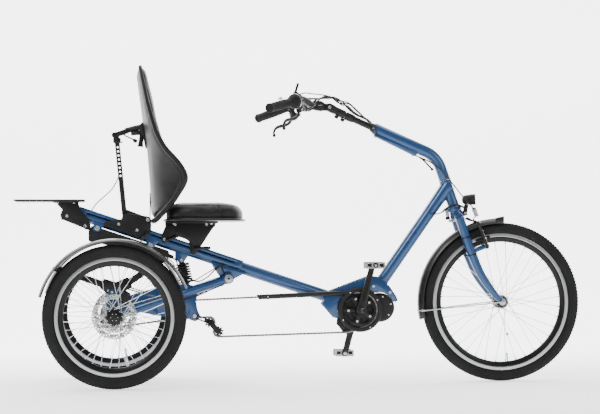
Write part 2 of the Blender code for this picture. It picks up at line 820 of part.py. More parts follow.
pivot_point = (PIVOT[0], 0, PIVOT[1])
node("swing_arm", swing_arm(), "blue_paint", pivot_point)
node("differential", differential(), "steel", (0, 0, REAR_AXLE_Z))
node("gear_hub", gear_hub(), "black_paint", (GEAR_HUB[0], 0, GEAR_HUB[1]))
node("tensioner_arm", tensioner(), "black_paint", (TENSIONER_BOLT[0], 0, TENSIONER_BOLT[1]))
for pulley_name, centre in (("upper_pulley", UPPER_PULLEY), ("lower_pulley", LOWER_PULLEY)):
    node(pulley_name, pulley(centre), "black_plastic", (centre[0], CHAIN_LINE, centre[1]))

rear_wheels = [((0, REAR_AXLE_Z), pitch_radius(AXLE_TEETH)), (GEAR_HUB, pitch_radius(HUB_TEETH))]
node("rear_chain", chain(rear_wheels, REAR_CHAIN_LINE), "steel")
CASE_GUIDE = (0.852, 0.192)
CASE_GUIDE_R = 0.008
front_wheels = [
    (GEAR_HUB, pitch_radius(HUB_TEETH)),
    (UPPER_PULLEY, -pitch_radius(PULLEY_TEETH)),
    (LOWER_PULLEY, pitch_radius(PULLEY_TEETH)),
    (CASE_GUIDE, CASE_GUIDE_R),
    (BOTTOM_BRACKET, pitch_radius(RING_TEETH)),
]
node("front_chain", chain(front_wheels, CHAIN_LINE), "steel")


# Main frame
TUBE_TILT = math.atan(MAIN_TUBE_SLOPE)
ALONG = Vector((math.cos(TUBE_TILT), 0, math.sin(TUBE_TILT)))
ABOVE = Vector((-math.sin(TUBE_TILT), 0, math.cos(TUBE_TILT)))
RAIL_START = -0.842
RAIL_END = -0.215
RAIL_TOP = MAIN_TUBE_R + GAP + SHEET
REAR_SLOT = (-0.8095, -0.600)
FRONT_SLOT = (-0.565, -0.246)
SLOT_ABOVE = 0.0098
MOUNT_INNER = MOTOR_WIDTH / 2 + GAP
MOUNT_SHEET = 0.004
STEERER_R = 0.0135


def on_tube(s, h):
    """The (x, z) point s along the main tube and h above its axis."""
    point = Vector((MAIN_TUBE_MID[0], 0, MAIN_TUBE_MID[1])) + ALONG * s + ABOVE * h
    return (point.x, point.z)


def tube_point(x):
    """The (x, 0, z) point of the main tube's axis at x."""
    return (x, 0, MAIN_TUBE_MID[1] + (x - MAIN_TUBE_MID[0]) * MAIN_TUBE_SLOPE)


def main_tube():
    body = tube([tube_point(MAIN_TUBE_REAR_X), tube_point(MAIN_TUBE_FRONT_X)], MAIN_TUBE_R, 16)
    joined = []
    cut = []
    side_outline = [
        (0.772, 0.330), (0.934, 0.391), (0.961, 0.3885), (1.010, 0.3535), (1.034, 0.318), (1.043, 0.296),
    ]
    side_outline += circle(MOTOR, MOTOR_R + 0.003, 6, math.radians(18), math.radians(86))
    side_outline += [(0.900, 0.333), (0.848, 0.305), (0.829, 0.234), (0.806, 0.236), (0.757, 0.292)]
    beam = [
        (0.800, 0.334), (0.934, 0.388), (0.9635, 0.3849), (1.0061, 0.3551), (1.008, 0.340),
        (0.985, 0.3330), (0.960, 0.3305), (0.905, 0.336), (0.850, 0.312),
    ]
    joined.append(plate(beam, -MOUNT_INNER - 0.001, MOUNT_INNER + 0.001))
    pivot_outline = [
        (0.352, 0.445), (0.362, 0.425), (0.380, 0.398), (0.396, 0.375), (0.406, 0.366), (0.424, 0.366),
        (0.432, 0.378), (0.466, 0.396), (0.482, 0.398), (0.478, 0.404),
    ]
    for side in (-1, 1):
        low, high = sorted((side * MOUNT_INNER, side * (MOUNT_INNER + MOUNT_SHEET)))
        joined.append(plate(side_outline, low, high))
        low, high = sorted((side * BRACKET_INNER, side * (BRACKET_INNER + BRACKET_SHEET)))
        joined.append(plate(pivot_outline, low, high))
        low, high = sorted((side * (SHOCK_EYE_HALF + RUN), side * (SHOCK_EYE_HALF + RUN + 0.004)))
        joined.append(
            plate([(0.222, 0.500), (0.222, 0.455), (0.236, 0.440), (0.252, 0.440), (0.278, 0.478)], low, high)
        )
    joined.append(across(0.405, 0.424, -BRACKET_INNER - 0.001, BRACKET_INNER + 0.001, 0.010, 8))
    joined.append(across(0.452, 0.410, -BRACKET_INNER - 0.001, BRACKET_INNER + 0.001, 0.008, 8))
    pin_half = SHOCK_EYE_HALF + RUN + 0.004
    joined.append(across(*SHOCK_UPPER, -pin_half, pin_half, SHOCK_PIN_R, 10))
    cut.append(across(*PIVOT, -0.05, 0.05, BOLT_R + RUN))
    return combined(body, joined, cut)


def seat_rail():
    """An inverted channel over the main tube, with long slots for the seat and backrest brackets."""
    half = RAIL_WIDTH / 2
    bottom = RAIL_TOP - RAIL_HEIGHT
    inner = half - SHEET
    roof = RAIL_TOP - SHEET
    section = [
        (-half, bottom), (-half, RAIL_TOP), (half, RAIL_TOP), (half, bottom),
        (inner, bottom), (inner, roof), (-inner, roof), (-inner, bottom),
    ]
    corners = []
    for s in (RAIL_START, RAIL_END):
        for y, h in section:
            x, z = on_tube(s, h)
            corners.append((x, y, z))
    count = len(section)
    faces = [(0, 1, 6, 7), (1, 2, 5, 6), (2, 3, 4, 5)]
    faces += [tuple(i + count for i in face) for face in faces]
    faces += [(k, (k + 1) % count, (k + 1) % count + count, k + count) for k in range(count)]
    channel = from_faces(corners, faces)
    ears = []
    cut = []
    inset = 0.0002
    for side in (-1, 1):
        low, high = sorted((side * (half - inset), side * (inner + inset)))
        for s, length, drop in ((-0.759, 0.036, 0.040), (-0.556, 0.040, 0.036)):
            ear = [on_tube(s - length / 2, bottom + 0.006), on_tube(s + length / 2, bottom + 0.006)]
            ear += [on_tube(s + length / 3, bottom - drop * 0.7), on_tube(s, bottom - drop)]
            ear += [on_tube(s - length / 3, bottom - drop * 0.7)]
            ears.append(plate(ear, low, high))
    for start, end in (REAR_SLOT, FRONT_SLOT):
        radius = RAIL_SLOT / 2
        outline = []
        for s, turn_from in ((start, math.pi / 2), (end, -math.pi / 2)):
            for k in range(4):
                angle = turn_from + math.pi * k / 3
                outline.append(on_tube(s + radius * math.cos(angle), SLOT_ABOVE + radius * math.sin(angle)))
        cut.append(plate(outline, -0.05, 0.05))
    return combined(channel, ears, cut)


def down_tube():
    """The down tube with the head tube at its top."""
    head_axis = Vector((HEAD_TOP[0] - HEAD_BOTTOM[0], 0, HEAD_TOP[1] - HEAD_BOTTOM[1])).normalized()
    length = Vector((HEAD_TOP[0] - HEAD_BOTTOM[0], 0, HEAD_TOP[1] - HEAD_BOTTOM[1])).length
    low = (HEAD_BOTTOM[0], 0, HEAD_BOTTOM[1])
    bore = STEERER_R + RUN
    head = turned([(bore, 0), (HEAD_TUBE_R + 0.003, 0), (HEAD_TUBE_R + 0.003, 0.014), (HEAD_TUBE_R, 0.016),
                   (HEAD_TUBE_R, length), (bore, length)], low, head_axis, 16)
    foot = Vector((0.985, 0, 0.370))
    top = Vector((HEAD_TOP[0] + 0.0125, 0, HEAD_TOP[1] - 0.0155))
    along = (top - foot).normalized()
    leg = tube([foot + along * GAP, foot + along * 0.30, top], [DOWN_TUBE_R, DOWN_TUBE_R, 0.0265], 16)
    hollow_r = HEAD_TUBE_R - 0.002
    hollow_profile = [(0, -0.03), (hollow_r, -0.03), (hollow_r, length + 0.05), (0, length + 0.05)]
    hollow = turned(hollow_profile, low, head_axis, 16)
    return combined(combined(leg, cut=[hollow]), joined=[head])


def carrier():
    """A flat carrier board on its folded bracket at the rail's rear end."""
    board = plate(
        [(CARRIER_REAR_X, 0.6655), (CARRIER_REAR_X + 0.003, 0.6635), (-0.107, 0.6635), (-0.107, 0.6705),
         (CARRIER_REAR_X + 0.003, 0.6705), (CARRIER_REAR_X, 0.6685)],
        -0.090,
        0.090,
    )
    joined = []
    gusset = [(-0.217, 0.665), (-0.189, 0.634), (-0.193, 0.600), (-0.130, 0.575), (-0.086, 0.556),
              (-0.088, 0.590), (-0.120, 0.634), (-0.135, 0.665)]
    for side in (-1, 1):
        low, high = sorted((side * (RAIL_WIDTH / 2 + GAP), side * (RAIL_WIDTH / 2 + GAP + 0.003)))
        joined.append(plate(gusset, low, high))
    back = [(-0.193, 0.630), (-0.193, 0.600), (-0.190, 0.600), (-0.190, 0.630)]
    joined.append(plate(back, -RAIL_WIDTH / 2 - 0.003, RAIL_WIDTH / 2 + 0.003))
    return combined(board, joined)


def battery():
    """The battery case under the rail, with its top face along the rail's lower edge."""
    outline = [
        (-0.094, 0.520), (-0.094, 0.556), (-0.080, 0.5775), (0.195, 0.4855), (0.200, 0.478),
        (0.196, 0.448), (0.150, 0.445), (-0.050, 0.512),
    ]
    half = RAIL_WIDTH / 2 - SHEET - 0.0005
    return plate(outline, -half, half)


# Drive unit and cranks
CRANK_AXLE_R = 0.0085
CASE_R = 0.0815
CASE_WALL = 0.003
CASE_SINK = 0.0002
GUIDE_PIN_R = 0.0035
CASE_INNER = -MOTOR_WIDTH / 2 - MOUNT_SHEET - 2 * GAP
CRANK_Y = 0.072
CRANK_THICKNESS = 0.014
PEDAL_AXLE_R = 0.0045


def motor():
    """The drive unit: a round motor beside the crank's gear housing, with the crank's bore through it."""
    half = MOTOR_WIDTH / 2
    body = across(*MOTOR, -half, half, MOTOR_R, 24)
    housing = across(*BOTTOM_BRACKET, -half, half, 0.046, 16)
    bridge = plate([(0.890, 0.310), (0.890, 0.224), (0.985, 0.224), (0.985, 0.322)], -half, half)
    boss = across(*BOTTOM_BRACKET, CHAIN_LINE + 0.006, half + 0.010, 0.019, 12)
    bore = across(*BOTTOM_BRACKET, -0.2, 0.2, CRANK_AXLE_R + RUN)
    return combined(body, [housing, bridge, boss], [bore])


def chain_case():
    """An open ring over the chainring's edge, with a bulge at its foot that guides the chain's lower run."""
    front = CHAIN_LINE - 0.0125
    back = CASE_INNER
    rim_in = CASE_R - 0.016
    wall = [
        (CASE_R, front), (CASE_R, back), (CASE_R - CASE_WALL, back),
        (CASE_R - CASE_WALL, front + CASE_WALL), (rim_in, front + CASE_WALL), (rim_in, front),
    ]
    ring = turned(wall, (BOTTOM_BRACKET[0], 0, BOTTOM_BRACKET[1]), sides=20)
    bulge = plate(
        [
            (0.846, 0.2225), (0.834, 0.234), (0.815, 0.240), (0.812, 0.215), (0.822, 0.204), (0.838, 0.182),
            (0.858, 0.175), (0.878, 0.186), (0.884, 0.198),
        ],
        back - CASE_WALL,
        back - CASE_SINK,
    )
    guide = across(*CASE_GUIDE, CHAIN_LINE - CHAIN_WIDTH, back - 2 * CASE_SINK, GUIDE_PIN_R, 6)
    near_face = CHAIN_LINE - CHAIN_WIDTH
    chain_path = plate(
        [(0.70, 0.150), (0.870, 0.176), (0.905, 0.186), (0.905, 0.204), (0.870, 0.196), (0.70, 0.190)],
        near_face,
        back - CASE_WALL - GAP,
    )
    entry_z = BOTTOM_BRACKET[1] + pitch_radius(RING_TEETH)
    entry = box(
        (0.80, CHAIN_LINE - GUARD_R - RUN, entry_z - GUARD_R - 0.004),
        (0.885, back + 0.01, entry_z + GUARD_R + RUN),
    )
    return combined(combined(ring, cut=[chain_path, entry]), [bulge, guide])


GUARD_R = 0.0090
GUARD_BORE = 0.0062


def guard_tube():
    """A plastic tube round the chain's upper run, cut slanting at its rear end."""
    hub_top = polar(GEAR_HUB, pitch_radius(HUB_TEETH), math.pi / 2)
    ring_top = polar(BOTTOM_BRACKET, pitch_radius(RING_TEETH), math.pi / 2)
    rise = (ring_top[1] - hub_top[1]) / (ring_top[0] - hub_top[0])

    def at(x):
        return (x, CHAIN_LINE, hub_top[1] + rise * (x - hub_top[0]))

    body = tube([at(0.510), at(0.868)], GUARD_R, 12)
    bore = tube([at(0.45), at(0.90)], GUARD_BORE, 8)
    slant = plate([(0.49, 0.328), (0.514, 0.328), (0.534, 0.295), (0.49, 0.295)], -0.06, -0.02)
    return combined(body, cut=[bore, slant])


def crank_points(angle):
    """Where a crank's pedal axle is, for an angle up from straight ahead."""
    return polar(BOTTOM_BRACKET, CRANK_LENGTH, angle)


def crank_arm(angle, y_low, y_high):
    tip = crank_points(angle)
    outline = circle(BOTTOM_BRACKET, 0.017, 6, angle + math.pi / 2, math.pi)
    outline += circle(tip, 0.0115, 5, angle - math.pi / 2, math.pi)
    return plate(outline, y_low, y_high)


def right_crank():
    """The right crank with its axle, spider and chainring."""
    tip = crank_points(CRANK_ANGLE)
    arm = crank_arm(CRANK_ANGLE, -CRANK_Y - CRANK_THICKNESS / 2, -CRANK_Y + CRANK_THICKNESS / 2)
    edge = sprocket_radius(RING_TEETH)
    windows = []
    for k in range(5):
        middle = 2 * math.pi * k / 5 + CRANK_ANGLE
        outer = circle(BOTTOM_BRACKET, edge - 0.010, 2, middle - 0.42, 0.84)
        inner = circle(BOTTOM_BRACKET, 0.026, 1, middle + 0.30, -0.60)
        windows.append(outer + inner)
    ring = plate(circle(BOTTOM_BRACKET, edge, 28), CHAIN_LINE - 0.002, CHAIN_LINE + 0.002, windows)
    axle = across(*BOTTOM_BRACKET, -CRANK_Y - 0.002, CRANK_Y - CRANK_THICKNESS / 2 - GAP, CRANK_AXLE_R, 12)
    collar = across(*BOTTOM_BRACKET, -CRANK_Y + 0.002, CHAIN_LINE + 0.0035, 0.0185, 14)
    stub = across(*tip, -CRANK_Y - CRANK_THICKNESS / 2 - PEDAL_WIDTH, -CRANK_Y, PEDAL_AXLE_R, 10)
    return combined(arm, [ring, axle, collar, stub])


def left_crank():
    angle = CRANK_ANGLE + math.pi
    tip = crank_points(angle)
    arm = crank_arm(angle, CRANK_Y - CRANK_THICKNESS / 2, CRANK_Y + CRANK_THICKNESS / 2)
    stub = across(*tip, CRANK_Y, CRANK_Y + CRANK_THICKNESS / 2 + PEDAL_WIDTH, PEDAL_AXLE_R, 10)
    return combined(arm, [stub])


def pedal(angle, outward):
    """A platform pedal: a bored body between two cage plates."""
    x, z = crank_points(angle)
    crank_face = CRANK_Y + CRANK_THICKNESS / 2
    low, high = sorted((outward * (crank_face + 0.004), outward * (crank_face + PEDAL_WIDTH - 0.004)))
    half = PEDAL_LENGTH / 2
    tall = PEDAL_HEIGHT / 2
    core = box((x - half + 0.002, low + 0.004, z - 0.007), (x + half - 0.002, high - 0.004, z + 0.007))
    cages = []
    for edge in (x - half, x + half - 0.012):
        cages.append(box((edge, low, z - tall), (edge + 0.012, high, z + tall)))
    barrel = across(x, z, low, high, 0.0105, 10)
    bore = across(x, z, low - 0.05, high + 0.05, PEDAL_AXLE_R + RUN, 10)
    return combined(core, [*cages, barrel], [bore])


def pivot_bolt():
    half = ARM_Y + SWING_TUBE_R + GAP
    return turned(
        [(0, -half - BOLT_HEAD), (BOLT_HEAD_R, -half - BOLT_HEAD), (BOLT_HEAD_R, -half), (BOLT_R, -half),
         (BOLT_R, half), (BOLT_HEAD_R, half), (BOLT_HEAD_R, half + BOLT_HEAD), (0, half + BOLT_HEAD)],
        (PIVOT[0], 0, PIVOT[1]),
        sides=16,
    )


crank_point = (BOTTOM_BRACKET[0], 0, BOTTOM_BRACKET[1])
node("main_tube", main_tube(), "blue_paint")
node("seat_rail", seat_rail(), "blue_paint")
node("down_tube", down_tube(), "blue_paint")
node("rear_carrier", carrier(), "black_paint")
node("battery", battery(), "black_plastic")
node("pivot_bolt", pivot_bolt(), "steel")
node("motor", motor(), "black_plastic")
node("chain_case", chain_case(), "black_plastic")
node("chain_guard_tube", guard_tube(), "black_plastic")
node("right_crank", right_crank(), "black_paint", crank_point)
node("left_crank", left_crank(), "black_paint", crank_point)
for side_name, outward, angle in (("right", -1, CRANK_ANGLE), ("left", 1, CRANK_ANGLE + math.pi)):
    tip = crank_points(angle)
    node(f"{side_name}_pedal", pedal(angle, outward), "black_plastic", (tip[0], 0, tip[1]))


# Steering: fork, gooseneck and what they carry
HEAD_UP = Vector((HEAD_TOP[0] - HEAD_BOTTOM[0], 0, HEAD_TOP[1] - HEAD_BOTTOM[1])).normalized()
CROWN_GAP = 0.0008
FORK_PATH = (
    (WHEELBASE - 0.1606, 0.607), (WHEELBASE - 0.1396, 0.540), (WHEELBASE - 0.1166, 0.478),
    (WHEELBASE - 0.0816, 0.397), (WHEELBASE - 0.0336, 0.327), (WHEELBASE - 0.0056, 0.2975),
)
DROPOUT_HALF = 0.004
AXLE_NUT_END = FORK_SPREAD + 0.014
BRAKE_PIVOT = (WHEELBASE - 0.0636, 0.4960)
BRAKE_PIVOT_Y = 0.040
BRAKE_TILT = math.radians(21)
BRAKE_FORWARD = Vector((math.cos(BRAKE_TILT), 0, math.sin(BRAKE_TILT)))
BRAKE_PIN_R = 0.004
LAMP_X = WHEELBASE - 0.1426
FENDER_FRONT_START = math.radians(88)
FENDER_FRONT_END = math.radians(192)


def head_point(up, forward=0.0, y=0.0):
    """A point measured up the steering axis from the head tube's lower end."""
    across_axis = Vector((HEAD_UP.z, 0, -HEAD_UP.x))
    return Vector((HEAD_BOTTOM[0], y, HEAD_BOTTOM[1])) + HEAD_UP * up + across_axis * forward


def fork():
    """Steerer, crown, two curved blades with dropouts, the axle between them and the brake's pivot pins."""
    head_length = (Vector(HEAD_TOP) - Vector(HEAD_BOTTOM)).length
    steerer = turned(
        [(0, -0.02), (STEERER_R, -0.02), (STEERER_R, head_length - GAP), (0, head_length - GAP)],
        head_point(0), HEAD_UP, 14,
    )
    crown = tube([head_point(-0.030), head_point(-CROWN_GAP)], [0.026, 0.023], 16)
    joined = [crown]
    shoulder = head_point(-0.024)
    reach = Vector((0, FORK_SPREAD - 0.006, 0))
    sag = Vector((0, 0, 0.004))
    joined.append(tube([shoulder - reach - sag, shoulder, shoulder + reach - sag], 0.0185, 12))
    for side in (-1, 1):
        y = side * FORK_SPREAD
        path = [(x, y, z) for x, z in FORK_PATH]
        joined.append(tube(path, [FORK_BLADE_R, FORK_BLADE_R, FORK_BLADE_R, 0.0155, 0.0125, 0.0100], 8))
        low, high = sorted((side * (HUB_END + RUN), side * (HUB_END + RUN + 2 * DROPOUT_HALF)))
        joined.append(plate(circle(FRONT_AXLE, 0.014, 10), low, high))
        low, high = sorted((side * (HUB_END + RUN + 2 * DROPOUT_HALF - 0.001), side * AXLE_NUT_END))
        joined.append(across(*FRONT_AXLE, low, high, 0.0085, 6))
        pin = Vector((BRAKE_PIVOT[0], side * BRAKE_PIVOT_Y, BRAKE_PIVOT[1]))
        joined.append(tube([pin - BRAKE_FORWARD * 0.050, pin + BRAKE_FORWARD * 0.0175], BRAKE_PIN_R, 8))
    joined.append(across(*FRONT_AXLE, -HUB_END - 0.004, HUB_END + 0.004, FRONT_AXLE_R, 10))
    return combined(steerer, joined)


def brake_arm(side):
    """A rim-brake arm on its pivot pin, with its pad beside the rim."""
    pivot = Vector((BRAKE_PIVOT[0], side * BRAKE_PIVOT_Y, BRAKE_PIVOT[1])) + BRAKE_FORWARD * 0.003
    up = Vector((-BRAKE_FORWARD.z, 0, BRAKE_FORWARD.x))
    sideways = Vector((0, side, 0))
    outline = [
        (-0.010, -0.007), (0.0, -0.0105), (0.0095, -0.006), (0.010, 0.034), (0.013, 0.098), (0.004, 0.100),
        (-0.008, 0.040),
    ]
    corners = []
    for forward in (0.0, 0.010):
        for out, high in outline:
            corners.append(pivot + BRAKE_FORWARD * forward + sideways * out + up * high)
    count = len(outline)
    faces = [tuple(range(count)), tuple(range(count, 2 * count))]
    faces += [(k, (k + 1) % count, (k + 1) % count + count, k + count) for k in range(count)]
    arm = from_faces(corners, faces)
    hole = tube([pivot - BRAKE_FORWARD * 0.01, pivot + BRAKE_FORWARD * 0.02], BRAKE_PIN_R + RUN, 8)
    pad_at = pivot + up * 0.031 + BRAKE_FORWARD * 0.004
    rim_side = RIM_WIDTH / 2 + 0.0022
    tangent = Vector((0.956, 0, 0.292))
    centre = Vector((pad_at.x, side * (rim_side + 0.006), pad_at.z))
    pad = tube([centre - tangent * 0.026, centre + tangent * 0.026], 0.0060, 8)
    bolt = tube([centre, pad_at + sideways * 0.004], 0.0045, 8)
    return combined(arm, [pad, bolt], [hole])


GOOSENECK_ELBOW = Vector((GOOSENECK_CORNER[0], 0, GOOSENECK_CORNER[1]))
GOOSENECK_MOUTH = Vector((GOOSENECK_END[0], 0, GOOSENECK_END[1]))
GOOSENECK_UP = (GOOSENECK_MOUTH - GOOSENECK_ELBOW).normalized()
POST_BURIED = 0.130
GOOSENECK_SIDES = 12


def gooseneck_path():
    start = head_point((Vector(HEAD_TOP) - Vector(HEAD_BOTTOM)).length + CROWN_GAP)
    return bent([start, GOOSENECK_ELBOW, GOOSENECK_MOUTH], GOOSENECK_BEND, 4)



def gooseneck():
    """The bent steering tube, bored at its upper end for the sliding post."""
    body = tube(gooseneck_path(), GOOSENECK_R, GOOSENECK_SIDES)
    bore = tube(
        [GOOSENECK_MOUTH - GOOSENECK_UP * (POST_BURIED + 0.01), GOOSENECK_MOUTH + GOOSENECK_UP * 0.02],
        STEM_POST_R + RUN, 14,
    )
    return combined(body, cut=[bore])


def cable_cover():
    """A channel under the gooseneck's upper leg that hides the cables."""
    under = Vector((GOOSENECK_UP.z, 0, -GOOSENECK_UP.x))
    if under.z > 0:
        under = -under
    start = GOOSENECK_MOUTH - GOOSENECK_UP * 0.006
    finish_at = start - GOOSENECK_UP * 0.175
    corners = []
    base = GOOSENECK_R * math.cos(math.pi / GOOSENECK_SIDES) + GAP
    for point, deep in ((start, 0.007), (finish_at, 0.013)):
        side_deep = base + deep * 0.7
        for y, depth in (
            (-0.014, base), (-0.014, side_deep), (-0.010, base + deep),
            (0.010, base + deep), (0.014, side_deep), (0.014, base),
        ):
            corners.append(point + under * depth + Vector((0, y, 0)))
    faces = [tuple(range(6)), tuple(range(6, 12))]
    faces += [(k, (k + 1) % 6, (k + 1) % 6 + 6, k + 6) for k in range(6)]
    return from_faces(corners, faces)


def headlight():
    """The lamp body in front of the crown on its short bracket."""
    lamp = turned(
        [(0, 0.0), (0.012, 0.0), (0.0175, 0.012), (0.0195, 0.040), (0.017, 0.048), (0, 0.050)],
        (LAMP_X, 0, 0.672), (1, 0, 0.03), 14,
    )
    stay = plate(
        [(LAMP_X + 0.0065, 0.624), (LAMP_X + 0.016, 0.624), (LAMP_X + 0.020, 0.662), (LAMP_X + 0.008, 0.662)],
        -0.008, 0.008,
    )
    foot = plate(
        [(LAMP_X + 0.009, 0.6115), (LAMP_X + 0.02, 0.615), (LAMP_X + 0.015, 0.633), (LAMP_X + 0.0005, 0.63)],
        -0.010, 0.010,
    )
    return combined(lamp, [stay, foot])


def front_fender():
    """The front mudguard with its wire stays down to the axle."""
    outer_r = FRONT_TYRE_R + 0.017
    sheet = arc_band(fender_profile(outer_r, 0.058), FRONT_AXLE, 0, FENDER_FRONT_START, FENDER_FRONT_END, 10)
    stays = []
    for side in (-1, 1):
        top = polar(FRONT_AXLE, outer_r - 0.007, math.radians(186))
        y = side * (AXLE_NUT_END + 0.003)
        stays.append(tube(
            [
                (top[0], side * 0.024, top[1]), (top[0] + 0.012, side * 0.034, top[1]),
                (FRONT_AXLE[0] - 0.060, y, FRONT_AXLE[1] - 0.006), (FRONT_AXLE[0], y, FRONT_AXLE[1]),
            ],
            0.0022, 6,
        ))
        low, high = sorted((side * (AXLE_NUT_END + GAP), side * (AXLE_NUT_END + 0.006)))
        stays.append(across(*FRONT_AXLE, low, high, 0.006, 8))
    return combined(sheet, stays)


steer_point = (HEAD_BOTTOM[0], 0, HEAD_BOTTOM[1])
node("fork", fork(), "blue_paint", steer_point)
for side_name, side in (("right", -1), ("left", 1)):
    brake_pin = (BRAKE_PIVOT[0], side * BRAKE_PIVOT_Y, BRAKE_PIVOT[1])
    node(f"{side_name}_brake_arm", brake_arm(side), "black_paint", brake_pin)
node("gooseneck", gooseneck(), "blue_paint", steer_point)
node("cable_cover", cable_cover(), "blue_paint", steer_point)
node("headlight", headlight(), "black_plastic", steer_point)
node("front_fender", front_fender(), "black_plastic", steer_point)


# Handlebar group
def bar_path():
    """The bar's centre line from the right end to the left end."""
    x, z = BAR_CLAMP
    back, rise = BAR_SWEEP
    end_x, end_z, end_y = BAR_END
    right = [
        (end_x, -end_y, end_z), (x - back, -BAR_STRAIGHT - 0.025, z + rise), (x, -BAR_STRAIGHT + 0.01, z),
    ]
    left = [(px, -py, pz) for px, py, pz in reversed(right)]
    return bent(right + left, 0.030, 3)


def bar_end_frame(side):
    """Where the straight grip stretch starts, its direction outwards and its length."""
    x, z = BAR_CLAMP
    back, rise = BAR_SWEEP
    start = Vector((x - back, side * (BAR_STRAIGHT + 0.025), z + rise))
    end = Vector((BAR_END[0], side * BAR_END[2], BAR_END[1]))
    return start, (end - start).normalized(), (end - start).length


def lever_axis(side):
    """The brake lever's hinge axis: square to the grip and to the lever's reach below it."""
    _, out, _ = bar_end_frame(side)
    reach = Vector((0.12, 0, -1.0))
    reach = (reach - out * reach.dot(out)).normalized()
    return out.cross(reach).normalized(), reach


PERCH_AT = 0.034
LEVER_PIVOT_DROP = 0.034
LEVER_HALF = 0.0045


def lever_pivot(side):
    start, out, _ = bar_end_frame(side)
    _, reach = lever_axis(side)
    return start + out * PERCH_AT + reach * LEVER_PIVOT_DROP


def handlebar():
    """The swept bar with the two lever perches on it."""
    body = tube(bar_path(), BAR_R, 10)
    joined = []
    cut = []
    for side in (-1, 1):
        start, out, _ = bar_end_frame(side)
        axis, reach = lever_axis(side)
        at = start + out * PERCH_AT
        joined.append(tube([at - out * 0.009, at + out * 0.009], 0.0185, 10))
        joined.append(tube([at, at + reach * 0.020], 0.009, 8))
        joined.append(tube([at + reach * 0.016, at + reach * (LEVER_PIVOT_DROP + 0.009)], [0.012, 0.0125], 8))
        pivot = lever_pivot(side)
        wide = LEVER_HALF + RUN
        slot = tube([pivot - axis * wide, pivot + axis * wide], 0.018, 8)
        cut.append(slot)
    return combined(combined(body, joined), cut=cut)


def brake_lever(side):
    """A bent lever blade, whose hub turns in the perch's slot."""
    pivot = lever_pivot(side)
    axis, reach = lever_axis(side)
    _, out, _ = bar_end_frame(side)
    hub = tube([pivot - axis * LEVER_HALF, pivot + axis * LEVER_HALF], 0.0085, 10)
    blade = tube(
        [
            pivot, pivot + out * 0.022 + reach * 0.012, pivot + out * 0.055 + reach * 0.026,
            pivot + out * 0.095 + reach * 0.030, pivot + out * 0.120 + reach * 0.040,
        ],
        [0.0042, 0.0055, 0.0060, 0.0060, 0.0055], 8,
    )
    return combined(hub, [blade])


SLEEVE_GAP = GAP + 0.0004


def grip_sleeve(side, start_at, end_at, radii):
    """A sleeve round the bar's straight end."""
    start, out, _ = bar_end_frame(side)
    bore = BAR_R + SLEEVE_GAP
    return turned([(bore, start_at), *radii, (bore, end_at)], start, out, 14)


def grip(side, start_at):
    start, out, length = bar_end_frame(side)
    end = length + 0.004
    cap_inner = length + 0.0007
    bore = BAR_R + SLEEVE_GAP
    profile = [
        (bore, start_at), (GRIP_R + 0.003, start_at), (GRIP_R + 0.001, start_at + 0.004),
        (GRIP_R, start_at + 0.05),
        (GRIP_R + 0.0015, end - 0.006), (GRIP_R - 0.002, end), (0, end), (0, cap_inner), (bore, cap_inner),
    ]
    return turned(profile, start, out, 12)


SHIFTER_START = 0.0480
SHIFTER_LENGTH = 0.034


def twist_shifter():
    return grip_sleeve(
        -1, SHIFTER_START, SHIFTER_START + SHIFTER_LENGTH,
        [
            (0.025, SHIFTER_START), (0.027, SHIFTER_START + 0.012), (0.020, SHIFTER_START + 0.020),
            (0.0175, SHIFTER_START + SHIFTER_LENGTH),
        ],
    )


TILT_EAR_R = 0.015
POST_SHOWN = 0.1205


def stem_post():
    """The post that slides in the gooseneck, with the fork of the tilt joint at its upper end."""
    low = GOOSENECK_MOUTH - GOOSENECK_UP * POST_BURIED
    knee = GOOSENECK_MOUTH + GOOSENECK_UP * POST_SHOWN
    joint = Vector((TILT_JOINT[0], 0, TILT_JOINT[1]))
    back = (knee - joint).normalized()
    over = Vector((-back.z, 0, back.x)) * 0.0110
    near = TILT_EAR_R
    far = near + 0.018
    body = tube([low, knee, joint + back * (near + 0.002)], STEM_POST_R, 14)

    def flat(point):
        return (point.x, point.z)

    corners = [flat(joint + back * near - over), flat(joint + back * far - over)]
    corners += [flat(joint + back * far + over), flat(joint + back * near + over)]
    heading = math.atan2(back.z, back.x)
    rounded = circle(TILT_JOINT, TILT_EAR_R, 8, heading + math.pi / 2, math.pi)
    ears = []
    for side in (-1, 1):
        low_y, high_y = sorted((side * 0.0125, side * 0.0175))
        ears.append(plate(rounded + corners[1:3], low_y, high_y))
    bridge = plate(corners, -0.0170, 0.0170)
    pin = across(*TILT_JOINT, -0.0125 - 0.001, 0.0125 + 0.001, 0.0045, 10)
    return combined(body, [bridge, *ears, pin])


def stem_head():
    """The tilting head from the joint to the bar clamp."""
    x, z = BAR_CLAMP
    knuckle = across(*TILT_JOINT, -0.0120, 0.0120, 0.0135, 14)
    arm = tube([(TILT_JOINT[0], 0, TILT_JOINT[1]), (x + 0.012, 0, z)], 0.0115, 12)
    clamp = across(x, z, -0.024, 0.024, 0.0195, 16)
    pin_bore = across(*TILT_JOINT, -0.03, 0.03, 0.0045 + RUN, 10)
    bar_bore = across(x, z, -0.05, 0.05, BAR_R + GAP + 0.0003, 16)
    return combined(knuckle, [arm, clamp], [pin_bore, bar_bore])


